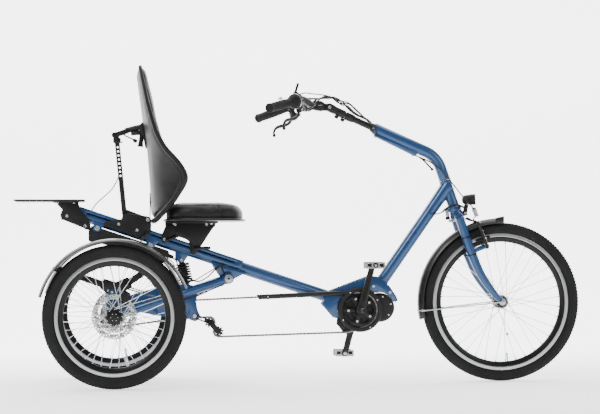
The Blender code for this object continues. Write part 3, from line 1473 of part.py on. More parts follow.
def display():
    """A small display on its stalk above the bar clamp."""
    screen_low = Vector((0.658, 0, 1.065))
    screen_high = Vector((0.668, 0, 1.097))
    up = (screen_high - screen_low).normalized()
    back = Vector((up.z, 0, -up.x))
    corners = []
    for y in (-0.030, 0.030):
        for along, deep in ((-0.004, 0.0), (0.038, 0.0), (0.040, 0.004), (0.036, 0.010), (-0.004, 0.010)):
            corners.append(screen_low + up * along + back * deep + Vector((0, y, 0)))
    faces = [tuple(range(5)), tuple(range(5, 10))]
    faces += [(k, (k + 1) % 5, (k + 1) % 5 + 5, k + 5) for k in range(5)]
    body = from_faces(corners, faces)
    stalk = plate(
        [(0.664, 1.068), (0.676, 1.068), (0.706, 1.046), (0.712, 1.0376), (0.694, 1.0336), (0.684, 1.048)],
        -0.009, 0.009,
    )
    return combined(body, [stalk])


tilt_point = (TILT_JOINT[0], 0, TILT_JOINT[1])
node("stem_post", stem_post(), "black_paint", tilt_point)
node("stem_head", stem_head(), "black_paint", tilt_point)
node("handlebar", handlebar(), "black_paint", tilt_point)
node("right_grip", grip(-1, SHIFTER_START + SHIFTER_LENGTH + RUN), "rubber", tilt_point)
node("left_grip", grip(1, SHIFTER_START + 0.002), "rubber", tilt_point)
node("twist_shifter", twist_shifter(), "rubber", bar_end_frame(-1)[0])
for side_name, side in (("right", -1), ("left", 1)):
    node(f"{side_name}_brake_lever", brake_lever(side), "black_paint", lever_pivot(side))
node("display", display(), "black_plastic", tilt_point)


# Seat and backrest
PIN_R = 0.0031
PIN_IN = 0.0045
SEAT_PINS = (-0.514, -0.396)
BACK_PINS = (-0.690, -0.620)
SIDE_INNER = RAIL_WIDTH / 2 + GAP
SIDE_SHEET = 0.004
RECLINE = (0.122, 0.598)
RECLINE_PIN_R = 0.0045
POST_FOOT = (0.037, 0.6165)
POST_TOP = (0.008, 0.902)
SEAT_DECK_Z = SEAT_BASE_Z - GAP


def slot_pins(stations, reach_in):
    """Short pins from the bracket's side plates into the rail's slots."""
    pins = []
    for s in stations:
        x, z = on_tube(s, SLOT_ABOVE)
        for side in (-1, 1):
            low, high = sorted((side * (RAIL_WIDTH / 2 - reach_in), side * (SIDE_INNER + SIDE_SHEET / 2)))
            pins.append(across(x, z, low, high, PIN_R, 8))
    return pins


def seat_bracket():
    """Two side plates that straddle the rail, a deck under the cushion and the lock lever."""
    outline = [
        (0.192, 0.586), (0.374, 0.586), (0.350, 0.553), (0.318, 0.504), (0.300, 0.476), (0.289, 0.468),
        (0.277, 0.474),
        (0.274, 0.518), (0.262, 0.527), (0.236, 0.535), (0.205, 0.522), (0.180, 0.513), (0.170, 0.520),
        (0.174, 0.545),
    ]
    deck = box((0.190, -0.095, 0.5845), (0.376, 0.095, SEAT_DECK_Z))
    sides = []
    for side in (-1, 1):
        low, high = sorted((side * SIDE_INNER, side * (SIDE_INNER + SIDE_SHEET)))
        sides.append(plate(outline, low, high))
    lever_y = -SIDE_INNER - 0.016
    lever = tube(
        [
            (0.292, -SIDE_INNER - 0.002, 0.490), (0.292, -SIDE_INNER - 0.010, 0.490),
            (0.300, lever_y, 0.4935),
            (0.350, lever_y, 0.4945),
        ],
        0.0052, 8,
    )
    return combined(deck, sides + [lever] + slot_pins(SEAT_PINS, PIN_IN))


def loft(sections):
    """A closed soft form through rings of equal count, with a flat cap at each end."""
    corners = [point for ring in sections for point in ring]
    count = len(sections[0])
    last = (len(sections) - 1) * count
    faces = [tuple(range(count)), tuple(range(last, last + count))]
    for row in range(len(sections) - 1):
        for k in range(count):
            a = row * count + k
            b = row * count + (k + 1) % count
            faces.append((a, b, b + count, a + count))
    return from_faces(corners, faces)


def seat_plan(angle, scale):
    """The cushion's outline from above: square at the back, round and wider at the front corners."""
    power = 0.55
    cx = SEAT_FRONT_X - SEAT_LENGTH / 2
    c = math.copysign(abs(math.cos(angle)) ** power, math.cos(angle))
    s = math.copysign(abs(math.sin(angle)) ** power, math.sin(angle))
    length = SEAT_LENGTH / 2 * scale
    half = SEAT_WIDTH / 2 * scale
    return cx + c * length, s * half


def seat_cushion():
    """A crowned cushion with drawn-in sides and a lip round its lower edge."""
    rings = []
    levels = (
        (0.93, 0.0), (1.0, 0.006), (0.985, 0.014), (0.970, 0.30 * SEAT_THICKNESS),
        (0.950, 0.55 * SEAT_THICKNESS),
        (0.880, 0.82 * SEAT_THICKNESS), (0.740, 0.95 * SEAT_THICKNESS), (0.45, SEAT_THICKNESS),
    )
    steps = 22
    for scale, height in levels:
        ring = []
        for k in range(steps):
            angle = 2 * math.pi * (k + 0.5) / steps
            x, y = seat_plan(angle, scale)
            forward = max(0.0, (x - (SEAT_FRONT_X - 0.11)) / 0.11)
            droop = 0.20 * forward**2 * height
            ring.append((x, y, SEAT_BASE_Z + height - droop))
        rings.append(ring)
    return loft(rings)


BACK_LEVELS = (
    # height, rear x, front x, half width as a share, how far the wings reach forward
    (0.590, 0.1395, 0.1527, 0.60, 0.0000),
    (0.605, 0.1385, 0.1550, 0.66, 0.0160),
    (0.630, 0.1370, 0.1680, 0.76, 0.0320),
    (0.660, 0.1355, 0.1810, 0.86, 0.0530),
    (0.735, 0.1318, 0.1880, 1.00, 0.0980),
    (0.765, 0.1295, 0.1835, 1.00, 0.0950),
    (0.800, 0.1270, 0.1780, 0.98, 0.0770),
    (0.850, 0.1230, 0.1700, 0.94, 0.0365),
    (0.900, 0.1170, 0.1620, 0.90, 0.0160),
    (0.960, 0.1060, 0.1500, 0.85, 0.0080),
    (1.030, 0.0975, 0.1385, 0.80, 0.0000),
    (1.145, 0.0809, 0.1106, 0.63, 0.0000),
    (1.160, 0.0885, 0.0995, 0.50, 0.0000),
)


def backrest():
    """A tall padded shell: its wings curve forward at the hips, its edges are drawn in."""
    rings = []
    steps = 18
    for height, rear, front, share, wing in BACK_LEVELS:
        half = BACKREST_WIDTH / 2 * share
        middle = (rear + front) / 2
        thick = (front - rear) / 2
        ring = []
        for k in range(steps):
            angle = 2 * math.pi * (k + 0.5) / steps
            c = math.copysign(abs(math.cos(angle)) ** 0.8, math.cos(angle))
            s = math.copysign(abs(math.sin(angle)) ** 0.8, math.sin(angle))
            y = half * s
            edge = abs(s) ** 2.2
            ring.append((middle + thick * (1 - 0.25 * edge) * c + wing * edge, y, height))
        rings.append(ring)
    return loft(rings)


def backrest_plate():
    """The sliding foot of the backrest: two side plates with pins in the rear slot and a clamp lever."""
    outline = [
        (0.026, 0.600), (0.030, 0.6165), (0.046, 0.620), (0.118, 0.6110), (0.131, 0.6075), (0.1345, 0.596),
        (0.134, 0.556), (0.118, 0.534), (0.100, 0.526), (0.014, 0.560), (-0.034, 0.573), (-0.040, 0.584),
        (-0.030, 0.592),
    ]
    right = plate(outline, -SIDE_INNER - SIDE_SHEET, -SIDE_INNER)
    left = plate(outline, SIDE_INNER, SIDE_INNER + SIDE_SHEET)
    pin = across(*RECLINE, -SIDE_INNER - 0.002, SIDE_INNER + 0.002, RECLINE_PIN_R, 10)
    lever = tube(
        [
            (0.120, -SIDE_INNER - 0.002, 0.548), (0.122, -SIDE_INNER - 0.013, 0.546),
            (0.094, -SIDE_INNER - 0.016, 0.521),
        ],
        0.0045, 8,
    )
    return combined(right, [left, pin, lever, *slot_pins(BACK_PINS, PIN_IN)])


def backrest_post():
    """A perforated square tube that leans back behind the cushion, with the foot on the recline pin."""
    foot = Vector((POST_FOOT[0], 0, POST_FOOT[1]))
    top = Vector((POST_TOP[0], 0, POST_TOP[1]))
    up = (top - foot).normalized()
    fore = Vector((up.z, 0, -up.x))
    half = POST_WIDTH / 2

    def at(along, forward):
        point = foot + up * along + fore * forward
        return (point.x, point.z)

    length = (top - foot).length
    body = plate([at(0, -half), at(0, half), at(length, half), at(length, -half)], -half, half)
    holes = []
    for k in range(POST_HOLES):
        x, z = at(length - POST_FIRST_HOLE - k * POST_HOLE_PITCH, 0)
        holes.append(across(x, z, -half - 0.01, half + 0.01, POST_HOLE_R, 6))
    x, z = RECLINE
    arm = plate(
        [
            at(0.0, half - 0.003), (x - 0.004, z - 0.0085), (x + 0.0075, z - 0.0050),
            (x + 0.0075, z + 0.0050), (x, z + 0.0085), at(0.020, half - 0.003),
        ],
        -0.006, 0.006,
    )
    bore = across(x, z, -0.02, 0.02, RECLINE_PIN_R + RUN, 10)
    return combined(body, [arm], holes + [bore])


def backrest_arm():
    """The arm from the post's top to the backrest, with its clamp lever and the push handle below it."""
    start = Vector((0.000, 0, 0.9100))
    middle = Vector((0.050, 0, 0.9270))
    end = Vector((0.1106, 0, 0.9386))
    arm = tube([start, middle], 0.0075, 8)
    sleeve = tube([middle - Vector((0.010, 0, 0.002)), end], 0.0105, 8)
    collar = box((-0.006, -0.0135, 0.9033), (0.020, 0.0135, 0.9235))
    handle = tube([(0.097, 0, 0.930), (0.0935, 0, 0.866)], [0.009, 0.0075], 8)
    lever = tube(
        [(0.030, -0.006, 0.9190), (0.042, -0.017, 0.9050), (0.082, -0.019, 0.8870)],
        [0.004, 0.004, 0.0065], 8,
    )
    return combined(arm, [sleeve, collar, handle, lever])


recline_point = (RECLINE[0], 0, RECLINE[1])
node("seat_bracket", seat_bracket(), "black_paint")
node("seat_cushion", seat_cushion(), "leather")
node("backrest_plate", backrest_plate(), "black_paint")
node("backrest_post", backrest_post(), "black_paint", recline_point)
node("backrest_arm", backrest_arm(), "black_paint", recline_point)
node("backrest", backrest(), "leather", recline_point)


# Shock absorber
SHOCK_DOWN = Vector((SHOCK_LOWER[0] - SHOCK_UPPER[0], 0, SHOCK_LOWER[1] - SHOCK_UPPER[1]))
SHOCK_LENGTH = SHOCK_DOWN.length
SHOCK_ROD_R = 0.0055
SHOCK_BODY_R = 0.0145
SHOCK_ROD_TOP = 0.0385
SHOCK_BORE_TOP = 0.0190
EYE_CLEARANCE = 0.0014
PERCH_R = SPRING_R + SPRING_WIRE_R
PERCH_NECK_R = 0.0100
PERCH_UPPER = 0.0165
PERCH_LOWER = 0.0785
PERCH_SHEET = 0.003


def eye(centre, bore):
    return [
        across(*centre, -SHOCK_EYE_HALF, SHOCK_EYE_HALF, 0.0088, 12),
        across(*centre, -0.03, 0.03, bore, 12),
    ]


def along_shock(distance):
    return Vector((SHOCK_UPPER[0], 0, SHOCK_UPPER[1])) + SHOCK_DOWN.normalized() * distance


def shock_body():
    """The shock's upper eye, spring perch and bored body."""
    ring, bore = eye(SHOCK_UPPER, SHOCK_PIN_R + RUN)
    depth = SHOCK_LENGTH - SHOCK_ROD_TOP
    bore_r = SHOCK_ROD_R + RUN
    body = turned(
        [
            (0, 0.004), (0.0085, 0.006), (PERCH_NECK_R, PERCH_UPPER - PERCH_SHEET - 0.001),
            (PERCH_R, PERCH_UPPER - PERCH_SHEET), (PERCH_R, PERCH_UPPER), (SHOCK_BODY_R, PERCH_UPPER),
            (SHOCK_BODY_R, depth), (bore_r, depth), (bore_r, SHOCK_BORE_TOP), (0, SHOCK_BORE_TOP),
        ],
        (SHOCK_UPPER[0], 0, SHOCK_UPPER[1]), SHOCK_DOWN, 12,
    )
    return combined(body, [ring], [bore])


def shock_rod():
    """The rod with the lower spring perch and the lower eye, which is wider than its pin."""
    ring, bore = eye(SHOCK_LOWER, SHOCK_PIN_R + EYE_CLEARANCE)
    body = turned(
        [
            (0, SHOCK_ROD_TOP), (SHOCK_ROD_R, SHOCK_ROD_TOP), (SHOCK_ROD_R, PERCH_LOWER),
            (PERCH_R, PERCH_LOWER),
            (PERCH_R, PERCH_LOWER + PERCH_SHEET), (PERCH_NECK_R, PERCH_LOWER + PERCH_SHEET + 0.001),
            (0.0085, SHOCK_LENGTH - 0.006), (0, SHOCK_LENGTH - 0.004),
        ],
        (SHOCK_UPPER[0], 0, SHOCK_UPPER[1]), SHOCK_DOWN, 12,
    )
    return combined(body, [ring], [bore])


def shock_spring():
    """One unbroken coil between the perches, with flat-lying end turns."""
    down = SHOCK_DOWN.normalized()
    fore = Vector((-down.z, 0, down.x))
    first = PERCH_UPPER + SPRING_WIRE_R + GAP + 0.0002
    last = PERCH_LOWER - SPRING_WIRE_R - GAP - 0.0002
    points = []
    steps = 8 * SPRING_CURLS
    for k in range(steps + 1):
        angle = 2 * math.pi * SPRING_CURLS * k / steps
        centre = along_shock(first + (last - first) * k / steps)
        sideways = Vector((0, SPRING_R * math.sin(angle), 0))
        points.append(centre + fore * (SPRING_R * math.cos(angle)) + sideways)
    least = min(
        (a - b).length for i, a in enumerate(points) for b in points[i + 5 :]
    ) - 2 * SPRING_WIRE_R
    print(f"shock spring: least gap between its curls {least * 1000:.2f} mm")
    return tube(points, SPRING_WIRE_R, 5)


upper_point = (SHOCK_UPPER[0], 0, SHOCK_UPPER[1])
node("shock_body", shock_body(), "black_paint", upper_point)
node("shock_rod", shock_rod(), "steel", upper_point)
node("shock_spring", shock_spring(), "black_paint", upper_point)


# Cables, held by the object all the way: their routes' points are chosen by hand
CABLE_R = 0.0026
HOSE_R = 0.0045


def cable(name, route, radius):
    node(name, tube(smooth(route, 2), radius, 6), "rubber")


cable(
    "front_brake_cable",
    [
        (WHEELBASE + x, y, z) for x, y, z in (
            (-0.3134, 0.0000, 0.8350), (-0.2966, -0.0060, 0.8272), (-0.2706, -0.0220, 0.8140),
            (-0.2386, -0.0310, 0.7930), (-0.2066, -0.0335, 0.7600), (-0.1766, -0.0335, 0.7230),
            (-0.1496, -0.0330, 0.6890), (-0.1266, -0.0340, 0.6640), (-0.1086, -0.0370, 0.6420),
            (-0.0966, -0.0385, 0.6240), (-0.0916, -0.0250, 0.6140), (-0.0901, 0.0000, 0.6120),
            (-0.0901, 0.0280, 0.6090), (-0.0906, 0.0450, 0.6020), (-0.0910, 0.0485, 0.5930),
        )
    ],
    CABLE_R,
)
cable(
    "handlebar_cables",
    [
        (0.6733, -0.1385, 0.9974), (0.6885, -0.1242, 0.9988), (0.7270, -0.1015, 1.0080),
        (0.7650, -0.0800, 1.0290),
        (0.8020, -0.0610, 1.0440), (0.8480, -0.0450, 1.0340), (0.8960, -0.0350, 0.9950),
        (0.9330, -0.0300, 0.9480),
        (0.9570, -0.0270, 0.9180), (0.9690, -0.0183, 0.9030),
    ],
    HOSE_R,
)
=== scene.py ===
import math

import bmesh
import bpy
import numpy as np
from mathutils import Matrix, Vector
from mathutils.bvhtree import BVHTree
from mathutils.geometry import tessellate_polygon
from mathutils.kdtree import KDTree


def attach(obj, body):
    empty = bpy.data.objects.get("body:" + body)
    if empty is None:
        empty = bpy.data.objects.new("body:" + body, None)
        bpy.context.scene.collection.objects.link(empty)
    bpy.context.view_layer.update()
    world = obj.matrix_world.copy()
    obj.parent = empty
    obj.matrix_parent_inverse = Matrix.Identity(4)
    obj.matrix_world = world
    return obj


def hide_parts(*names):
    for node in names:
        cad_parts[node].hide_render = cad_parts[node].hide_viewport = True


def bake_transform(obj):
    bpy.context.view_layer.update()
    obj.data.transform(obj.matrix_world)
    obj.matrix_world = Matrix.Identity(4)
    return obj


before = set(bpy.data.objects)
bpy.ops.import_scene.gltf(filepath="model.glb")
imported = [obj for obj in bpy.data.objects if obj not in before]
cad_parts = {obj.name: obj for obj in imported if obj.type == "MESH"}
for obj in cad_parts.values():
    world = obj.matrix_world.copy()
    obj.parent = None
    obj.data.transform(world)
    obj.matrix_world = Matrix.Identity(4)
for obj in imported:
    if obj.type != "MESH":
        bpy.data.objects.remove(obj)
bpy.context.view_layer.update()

# Stations in this file are measured from the rear axle, as in the part's source
WHEELBASE = 1.4286
TRACK = 0.7
REAR_Z = 0.2525
REAR_R = 0.2525
REAR_RIM = 0.209
FRONT = (WHEELBASE, 0.2935)
FRONT_R = 0.2935
FRONT_RIM = 0.2535
ORIGIN = Vector((-(WHEELBASE + FRONT_R - 0.362) / 2, 0, 0))
DISC_INSET = 0.05
FENDER_WIDTH = 0.06
PIVOT = (0.415, 0.382)
BOTTOM_BRACKET = (0.899, 0.266)
MOTOR = (0.977, 0.274)
CRANK_LENGTH = 0.17
CRANK_ANGLE = math.radians(75.3)
CRANK_Y = 0.072
CHAIN_LINE = -0.042
REAR_CHAIN_LINE = 0.024
GEAR_HUB = (0.238, 0.269)
UPPER_PULLEY = (0.347, 0.224)
LOWER_PULLEY = (0.379, 0.189)
TENSIONER_BOLT = (0.291, 0.247)
CHAIN_PITCH = 0.0127
HEAD_TOP = (1.2225, 0.7435)
HEAD_BOTTOM = (1.2609, 0.6315)
GOOSENECK_CORNER = (1.192, 0.832)
GOOSENECK_END = (0.96, 0.935)
BAR_CLAMP = (0.715, 1.018)
BAR_END = (0.548, 0.99, 0.292)
BAR_R = 0.0125
GRIP_R = 0.0155
TILT_JOINT = (0.791, 1.013)
SHOCK_UPPER = (0.244, 0.45)
SHOCK_LOWER = (0.266, 0.355)
RECLINE = (0.122, 0.598)
TURN = 2 * math.pi


# Materials
def colour_of(code):
    """An sRGB hex colour as linear values."""
    values = [int(code[i : i + 2], 16) / 255 for i in (0, 2, 4)]
    return [v / 12.92 if v <= 0.04045 else ((v + 0.055) / 1.055) ** 2.4 for v in values] + [1.0]


def material(
    name, code, rough, metal=0.0, coat=0.0, grain=0.0, grain_size=0.001, cells=False, uneven=0.08,
    shade=0.12, **more
):
    """A surface with fine relief, uneven roughness and a slight drift of colour, from Object coordinates."""
    made = bpy.data.materials.new(name)
    made.use_nodes = True
    tree = made.node_tree
    shader = tree.nodes["Principled BSDF"]
    colour = colour_of(code)
    shader.inputs["Metallic"].default_value = metal
    shader.inputs["Coat Weight"].default_value = coat
    shader.inputs["Coat Roughness"].default_value = 0.06
    for key, value in more.items():
        shader.inputs[key.replace("_", " ")].default_value = value
    place = tree.nodes.new("ShaderNodeTexCoord")

    def noise(scale, detail=3.0):
        found = tree.nodes.new("ShaderNodeTexNoise")
        found.inputs["Scale"].default_value = scale
        found.inputs["Detail"].default_value = detail
        tree.links.new(place.outputs["Object"], found.inputs["Vector"])
        return found

    broad = noise(9.0, 4.0)
    spread = tree.nodes.new("ShaderNodeMapRange")
    spread.inputs["From Min"].default_value = 0.3
    spread.inputs["From Max"].default_value = 0.7
    spread.inputs["To Min"].default_value = max(rough - uneven * 0.5, 0.02)
    spread.inputs["To Max"].default_value = min(rough + uneven * 0.5, 1.0)
    tree.links.new(broad.outputs["Fac"], spread.inputs["Value"])
    tree.links.new(spread.outputs["Result"], shader.inputs["Roughness"])
    drift = noise(26.0, 5.0)
    mix = tree.nodes.new("ShaderNodeMix")
    mix.data_type = "RGBA"
    mix.inputs["A"].default_value = [c * (1 - shade) for c in colour[:3]] + [1.0]
    mix.inputs["B"].default_value = [min(c * (1 + shade), 1.0) for c in colour[:3]] + [1.0]
    tree.links.new(drift.outputs["Fac"], mix.inputs["Factor"])
    tree.links.new(mix.outputs["Result"], shader.inputs["Base Color"])
    if grain:
        if cells:
            fine = tree.nodes.new("ShaderNodeTexVoronoi")
            fine.feature = "SMOOTH_F1"
            fine.inputs["Scale"].default_value = 1 / grain_size
            tree.links.new(place.outputs["Object"], fine.inputs["Vector"])
            height = fine.outputs["Distance"]
        else:
            height = noise(1 / grain_size, 2.0).outputs["Fac"]
        bump = tree.nodes.new("ShaderNodeBump")
        bump.inputs["Strength"].default_value = grain
        bump.inputs["Distance"].default_value = grain_size * 0.3
        tree.links.new(height, bump.inputs["Height"])
        tree.links.new(bump.outputs["Normal"], shader.inputs["Normal"])
    made.diffuse_color = colour
    return made


# Frame paint: blue metallic under clear lacquer
BLUE = material(
    "blue metallic paint", "0E3A66", 0.3, metal=0.25, coat=0.55, grain=0.05, grain_size=0.0009,
    Specular_IOR_Level=0.4
)
# Powder coat on brackets, bar and cranks
BLACK = material(
    "satin black powder coat", "0C0C0D", 0.46, grain=0.25, grain_size=0.0007, Specular_IOR_Level=0.32
)
# Anodised black metal
ANODISED = material(
    "black anodised aluminium", "0E0E0F", 0.34, metal=0.35, uneven=0.06, Specular_IOR_Level=0.35
)
# Injection-moulded covers and fenders
PLASTIC = material(
    "moulded black plastic", "0B0B0C", 0.52, grain=0.35, grain_size=0.0008, Specular_IOR_Level=0.3
)
FENDER = material(
    "satin fender plastic", "0D0D0E", 0.34, coat=0.12, grain=0.08, grain_size=0.002, Specular_IOR_Level=0.38
)
# Tyre compound with dusty tread
TYRE = material(
    "tyre rubber", "0F0F10", 0.8, grain=0.3, grain_size=0.0012, uneven=0.12, shade=0.2,
    Specular_IOR_Level=0.28
)
RUBBER = material(
    "soft black rubber", "0B0B0C", 0.72, grain=0.35, grain_size=0.001, Specular_IOR_Level=0.28
)
# Cable and hose jackets
JACKET = material("cable jacket", "0A0A0B", 0.4, Specular_IOR_Level=0.35)
# Upholstery: grained vinyl
VINYL = material(
    "black grained vinyl", "0A0A0B", 0.46, coat=0.02, grain=0.45, grain_size=0.0024, cells=True, uneven=0.1,
    Specular_IOR_Level=0.26
)
PIPING = material("vinyl piping", "0A0A0B", 0.36, grain=0.2, grain_size=0.0012, Specular_IOR_Level=0.36)
THREAD = material("black thread", "131314", 0.85, grain=0.3, grain_size=0.0004, Specular_IOR_Level=0.2)
# Bright metals
STEEL = material("stainless steel", "B9BABB", 0.24, metal=1.0, grain=0.06, grain_size=0.0006)
BRUSHED = material("machined aluminium", "A9AAAC", 0.3, metal=1.0, grain=0.1, grain_size=0.0005)
CHROME = material("chrome", "D8D9DA", 0.08, metal=1.0, uneven=0.03)
CHAIN = material("oiled chain steel", "77756F", 0.34, metal=1.0, uneven=0.15, shade=0.25)
DARK_STEEL = material("dark hardened steel", "262627", 0.36, metal=0.9)
LENS = material(
    "clear lens", "F2F5F7", 0.05, coat=0.5, shade=0.0, uneven=0.0, Transmission_Weight=0.85, IOR=1.49
)
REFLECTOR = material("lamp reflector", "E6E8EA", 0.12, metal=1.0, uneven=0.02)
SCREEN = material("display glass", "0C1013", 0.1, coat=1.0, uneven=0.02)
DECK = material("phenolic board", "161617", 0.48, grain=0.5, grain_size=0.0015, Specular_IOR_Level=0.35)


# Shape helpers: each returns a bmesh
def from_faces(points, faces):
    shape = bmesh.new()
    corners = [shape.verts.new(point) for point in points]
    for face in faces:
        shape.faces.new([corners[i] for i in face])
    bmesh.ops.recalc_face_normals(shape, faces=shape.faces)
    return shape


def circle(centre, radius, sides, start=0.0, turn=TURN):
    """Points round a centre, as (x, z); a part turn keeps both its ends."""
    count = sides if turn == TURN else sides + 1
    return [
        (
            centre[0] + radius * math.cos(start + turn * i / sides),
            centre[1] + radius * math.sin(start + turn * i / sides)
        )
        for i in range(count)
    ]


def polar(centre, radius, angle):
    return (centre[0] + radius * math.cos(angle), centre[1] + radius * math.sin(angle))


def rounded(outline, radius, steps=5):
    """A closed outline with its corners rounded."""
    result = []
    count = len(outline)
    for i in range(count):
        before, corner, after = (Vector(outline[(i + k) % count]).to_2d() for k in (-1, 0, 1))
        into, out = corner - before, after - corner
        a, b = into.length, out.length
        if a < 1e-6 or b < 1e-6:
            continue
        half = into.normalized().angle(out.normalized(), 0) / 2
        if half < 0.04:
            result.append(tuple(corner))
            continue
        cut = min(radius * math.tan(half), 0.45 * a, 0.45 * b)
        start, end = corner - into.normalized() * cut, corner + out.normalized() * cut
        for k in range(steps + 1):
            t = k / steps
            result.append(tuple(start * (1 - t) ** 2 + corner * 2 * t * (1 - t) + end * t**2))
    return result


def bevelled(shape, width, angle=40):
    """Breaks the shape's sharp edges."""
    if width:
        bmesh.ops.dissolve_limit(shape, angle_limit=0.002, verts=shape.verts, edges=shape.edges)
        edges = [
            e for e in shape.edges if len(e.link_faces) == 2 and e.calc_face_angle(0) > math.radians(angle)
        ]
        bmesh.ops.bevel(
            shape, geom=edges, offset=width, offset_type="OFFSET", segments=2, profile=0.5, affect="EDGES",
            clamp_overlap=True
        )
    return shape


def plate(outline, y_low, y_high, holes=(), edge=0.0006):
    """A flat plate: an outline of (x, z) points with holes, from y_low to y_high."""
    y_low, y_high = min(y_low, y_high), max(y_low, y_high)
    loops = [list(outline)] + [list(hole) for hole in holes]
    flat = [point for loop in loops for point in loop]
    triangles = tessellate_polygon([[Vector((x, z, 0)) for x, z in loop] for loop in loops])
    count = len(flat)
    points = [(x, y_low, z) for x, z in flat] + [(x, y_high, z) for x, z in flat]
    faces = [tuple(t) for t in triangles] + [tuple(i + count for i in reversed(t)) for t in triangles]
    first = 0
    for loop in loops:
        for i in range(len(loop)):
            a, b = first + i, first + (i + 1) % len(loop)
            faces.append((a, b, b + count, a + count))
        first += len(loop)
    return bevelled(from_faces(points, faces), edge)


def frames_along(points):
    """A sideways and an upward direction at each point, turned as little as can be along the way."""
    points = [Vector(p) for p in points]
    frames = []
    side = None
    for i in range(len(points)):
        before, after = points[max(i - 1, 0)], points[min(i + 1, len(points) - 1)]
        tangent = (after - before).normalized()
        if side is None:
            side = tangent.cross(Vector((0, 0, 1)))
            if side.length < 0.1:
                side = tangent.cross(Vector((0, 1, 0)))
        side = (side - tangent * side.dot(tangent)).normalized()
        frames.append((side, tangent.cross(side), tangent))
    return frames


def tube(points, radius, sides=20, squash=1.0, edge=0.0008, lift=1.0):
    """A round bar along the points; radius is one value or one for each point. Its ends are eased."""
    points = [Vector(p) for p in points]
    radii = list(radius) if hasattr(radius, "__len__") else [radius] * len(points)
    if edge:
        first = (points[1] - points[0]).normalized() * edge
        last = (points[-1] - points[-2]).normalized() * edge
        points = [
            points[0], points[0] + first * 0.3, points[0] + first, *points[1:-1], points[-1] - last,
            points[-1] - last * 0.3, points[-1]
        ]
        radii = [
            radii[0] - edge, radii[0] - edge * 0.3, radii[0], *radii[1:-1], radii[-1],
            radii[-1] - edge * 0.3, radii[-1] - edge
        ]
    corners = []
    for point, r, (side, up, _) in zip(points, radii, frames_along(points)):
        for k in range(sides):
            angle = TURN * k / sides
            corners.append(
                point + side * (r * squash * math.cos(angle)) + up * (r * lift * math.sin(angle))
            )
    faces = [tuple(range(sides - 1, -1, -1))]
    for ring in range(len(points) - 1):
        for k in range(sides):
            a, b = ring * sides + k, ring * sides + (k + 1) % sides
            faces.append((a, b, b + sides, a + sides))
    last = (len(points) - 1) * sides
    faces.append(tuple(range(last, last + sides)))
    return from_faces(corners, faces)


def eased(profile, radius, closed):
    """A turning profile with its corners rounded, except on the axis."""
    result = []
    count = len(profile)
    for i, corner in enumerate(profile):
        if (not closed and i in (0, count - 1)) or corner[0] == 0:
            result.append(corner)
            continue
        before, after = Vector(profile[i - 1]), Vector(profile[(i + 1) % count])
        corner = Vector(corner)
        into, out = corner - before, after - corner
        if into.length < 1e-6 or out.length < 1e-6 or into.angle(out, 0) < 0.35:
            result.append(tuple(corner))
            continue
        cut = min(radius, 0.4 * into.length, 0.4 * out.length)
        start, end = corner - into.normalized() * cut, corner + out.normalized() * cut
        for t in (0, 0.33, 0.67, 1):
            result.append(tuple(start * (1 - t) ** 2 + corner * 2 * t * (1 - t) + end * t**2))
    return result


def turned(profile, centre, axis=(0, 1, 0), sides=48, edge=0.0006, start=0.0, turn=TURN):
    """A turned piece: (radius, distance along the axis) points; radius 0 closes it on the axis."""
    axis = Vector(axis).normalized()
    side = axis.cross(Vector((0, 0, 1)))
    if side.length < 0.01:
        side = Vector((1, 0, 0))
    side.normalize()
    up = side.cross(axis)
    closed = profile[0][0] > 0 and profile[-1][0] > 0
    if edge:
        profile = eased(profile, edge, closed)
    corners, rows = [], []
    for r, along in profile:
        middle = Vector(centre) + axis * along
        if r == 0:
            rows.append([len(corners)] * sides)
            corners.append(middle)
            continue
        rows.append(list(range(len(corners), len(corners) + sides)))
        for k in range(sides):
            angle = start + TURN * k / sides
            corners.append(middle + side * (r * math.cos(angle)) + up * (r * math.sin(angle)))
    faces = []
    pairs = list(zip(rows, rows[1:]))
    if closed:
        pairs.append((rows[-1], rows[0]))
    for low, high in pairs:
        for k in range(sides):
            n = (k + 1) % sides
            face = list(dict.fromkeys([low[k], low[n], high[n], high[k]]))
            if len(face) > 2:
                faces.append(tuple(face))
    return from_faces(corners, faces)


def across(x, z, y_low, y_high, radius, sides=32, edge=0.0006):
    """A round bar along Y."""
    y_low, y_high = min(y_low, y_high), max(y_low, y_high)
    return turned(
        [(0, y_low), (radius, y_low), (radius, y_high), (0, y_high)], (x, 0, z), sides=sides, edge=edge
    )


def box(low, high, edge=0.0006):
    (x0, y0, z0), (x1, y1, z1) = low, high
    return plate([(x0, z0), (x1, z0), (x1, z1), (x0, z1)], y0, y1, edge=edge)


def bent(points, radius, steps=10):
    """The points with each inner corner rounded to the radius."""
    points = [Vector(p) for p in points]
    path = [points[0]]
    for before, corner, after in zip(points, points[1:], points[2:]):
        into, out = (corner - before).normalized(), (after - corner).normalized()
        half = into.angle(out) / 2
        if half < 1e-4:
            path.append(corner)
            continue
        cut = min(radius * math.tan(half), 0.49 * (corner - before).length, 0.49 * (after - corner).length)
        true_radius = cut / math.tan(half)
        centre = corner + (out - into).normalized() * (true_radius / math.cos(half))
        start = corner - into * cut - centre
        axis = into.cross(out)
        for i in range(steps + 1):
            path.append(centre + Matrix.Rotation(2 * half * i / steps, 3, axis) @ start)
    path.append(points[-1])
    return path


def smooth(points, per_span=6):
    """A smooth curve through the points."""
    points = [np.array(p, float) for p in points]
    ends = [2 * points[0] - points[1], *points, 2 * points[-1] - points[-2]]
    path = []
    for i in range(1, len(ends) - 2):
        a, b, c, d = ends[i - 1 : i + 3]
        for k in range(per_span):
            t = k / per_span
            path.append(
                0.5 * (
                    2 * b + (c - a) * t + (2 * a - 5 * b + 4 * c - d) * t**2
                    + (3 * b - a - 3 * c + d) * t**3
                )
            )
    path.append(ends[-2])
    return [Vector(p) for p in path]


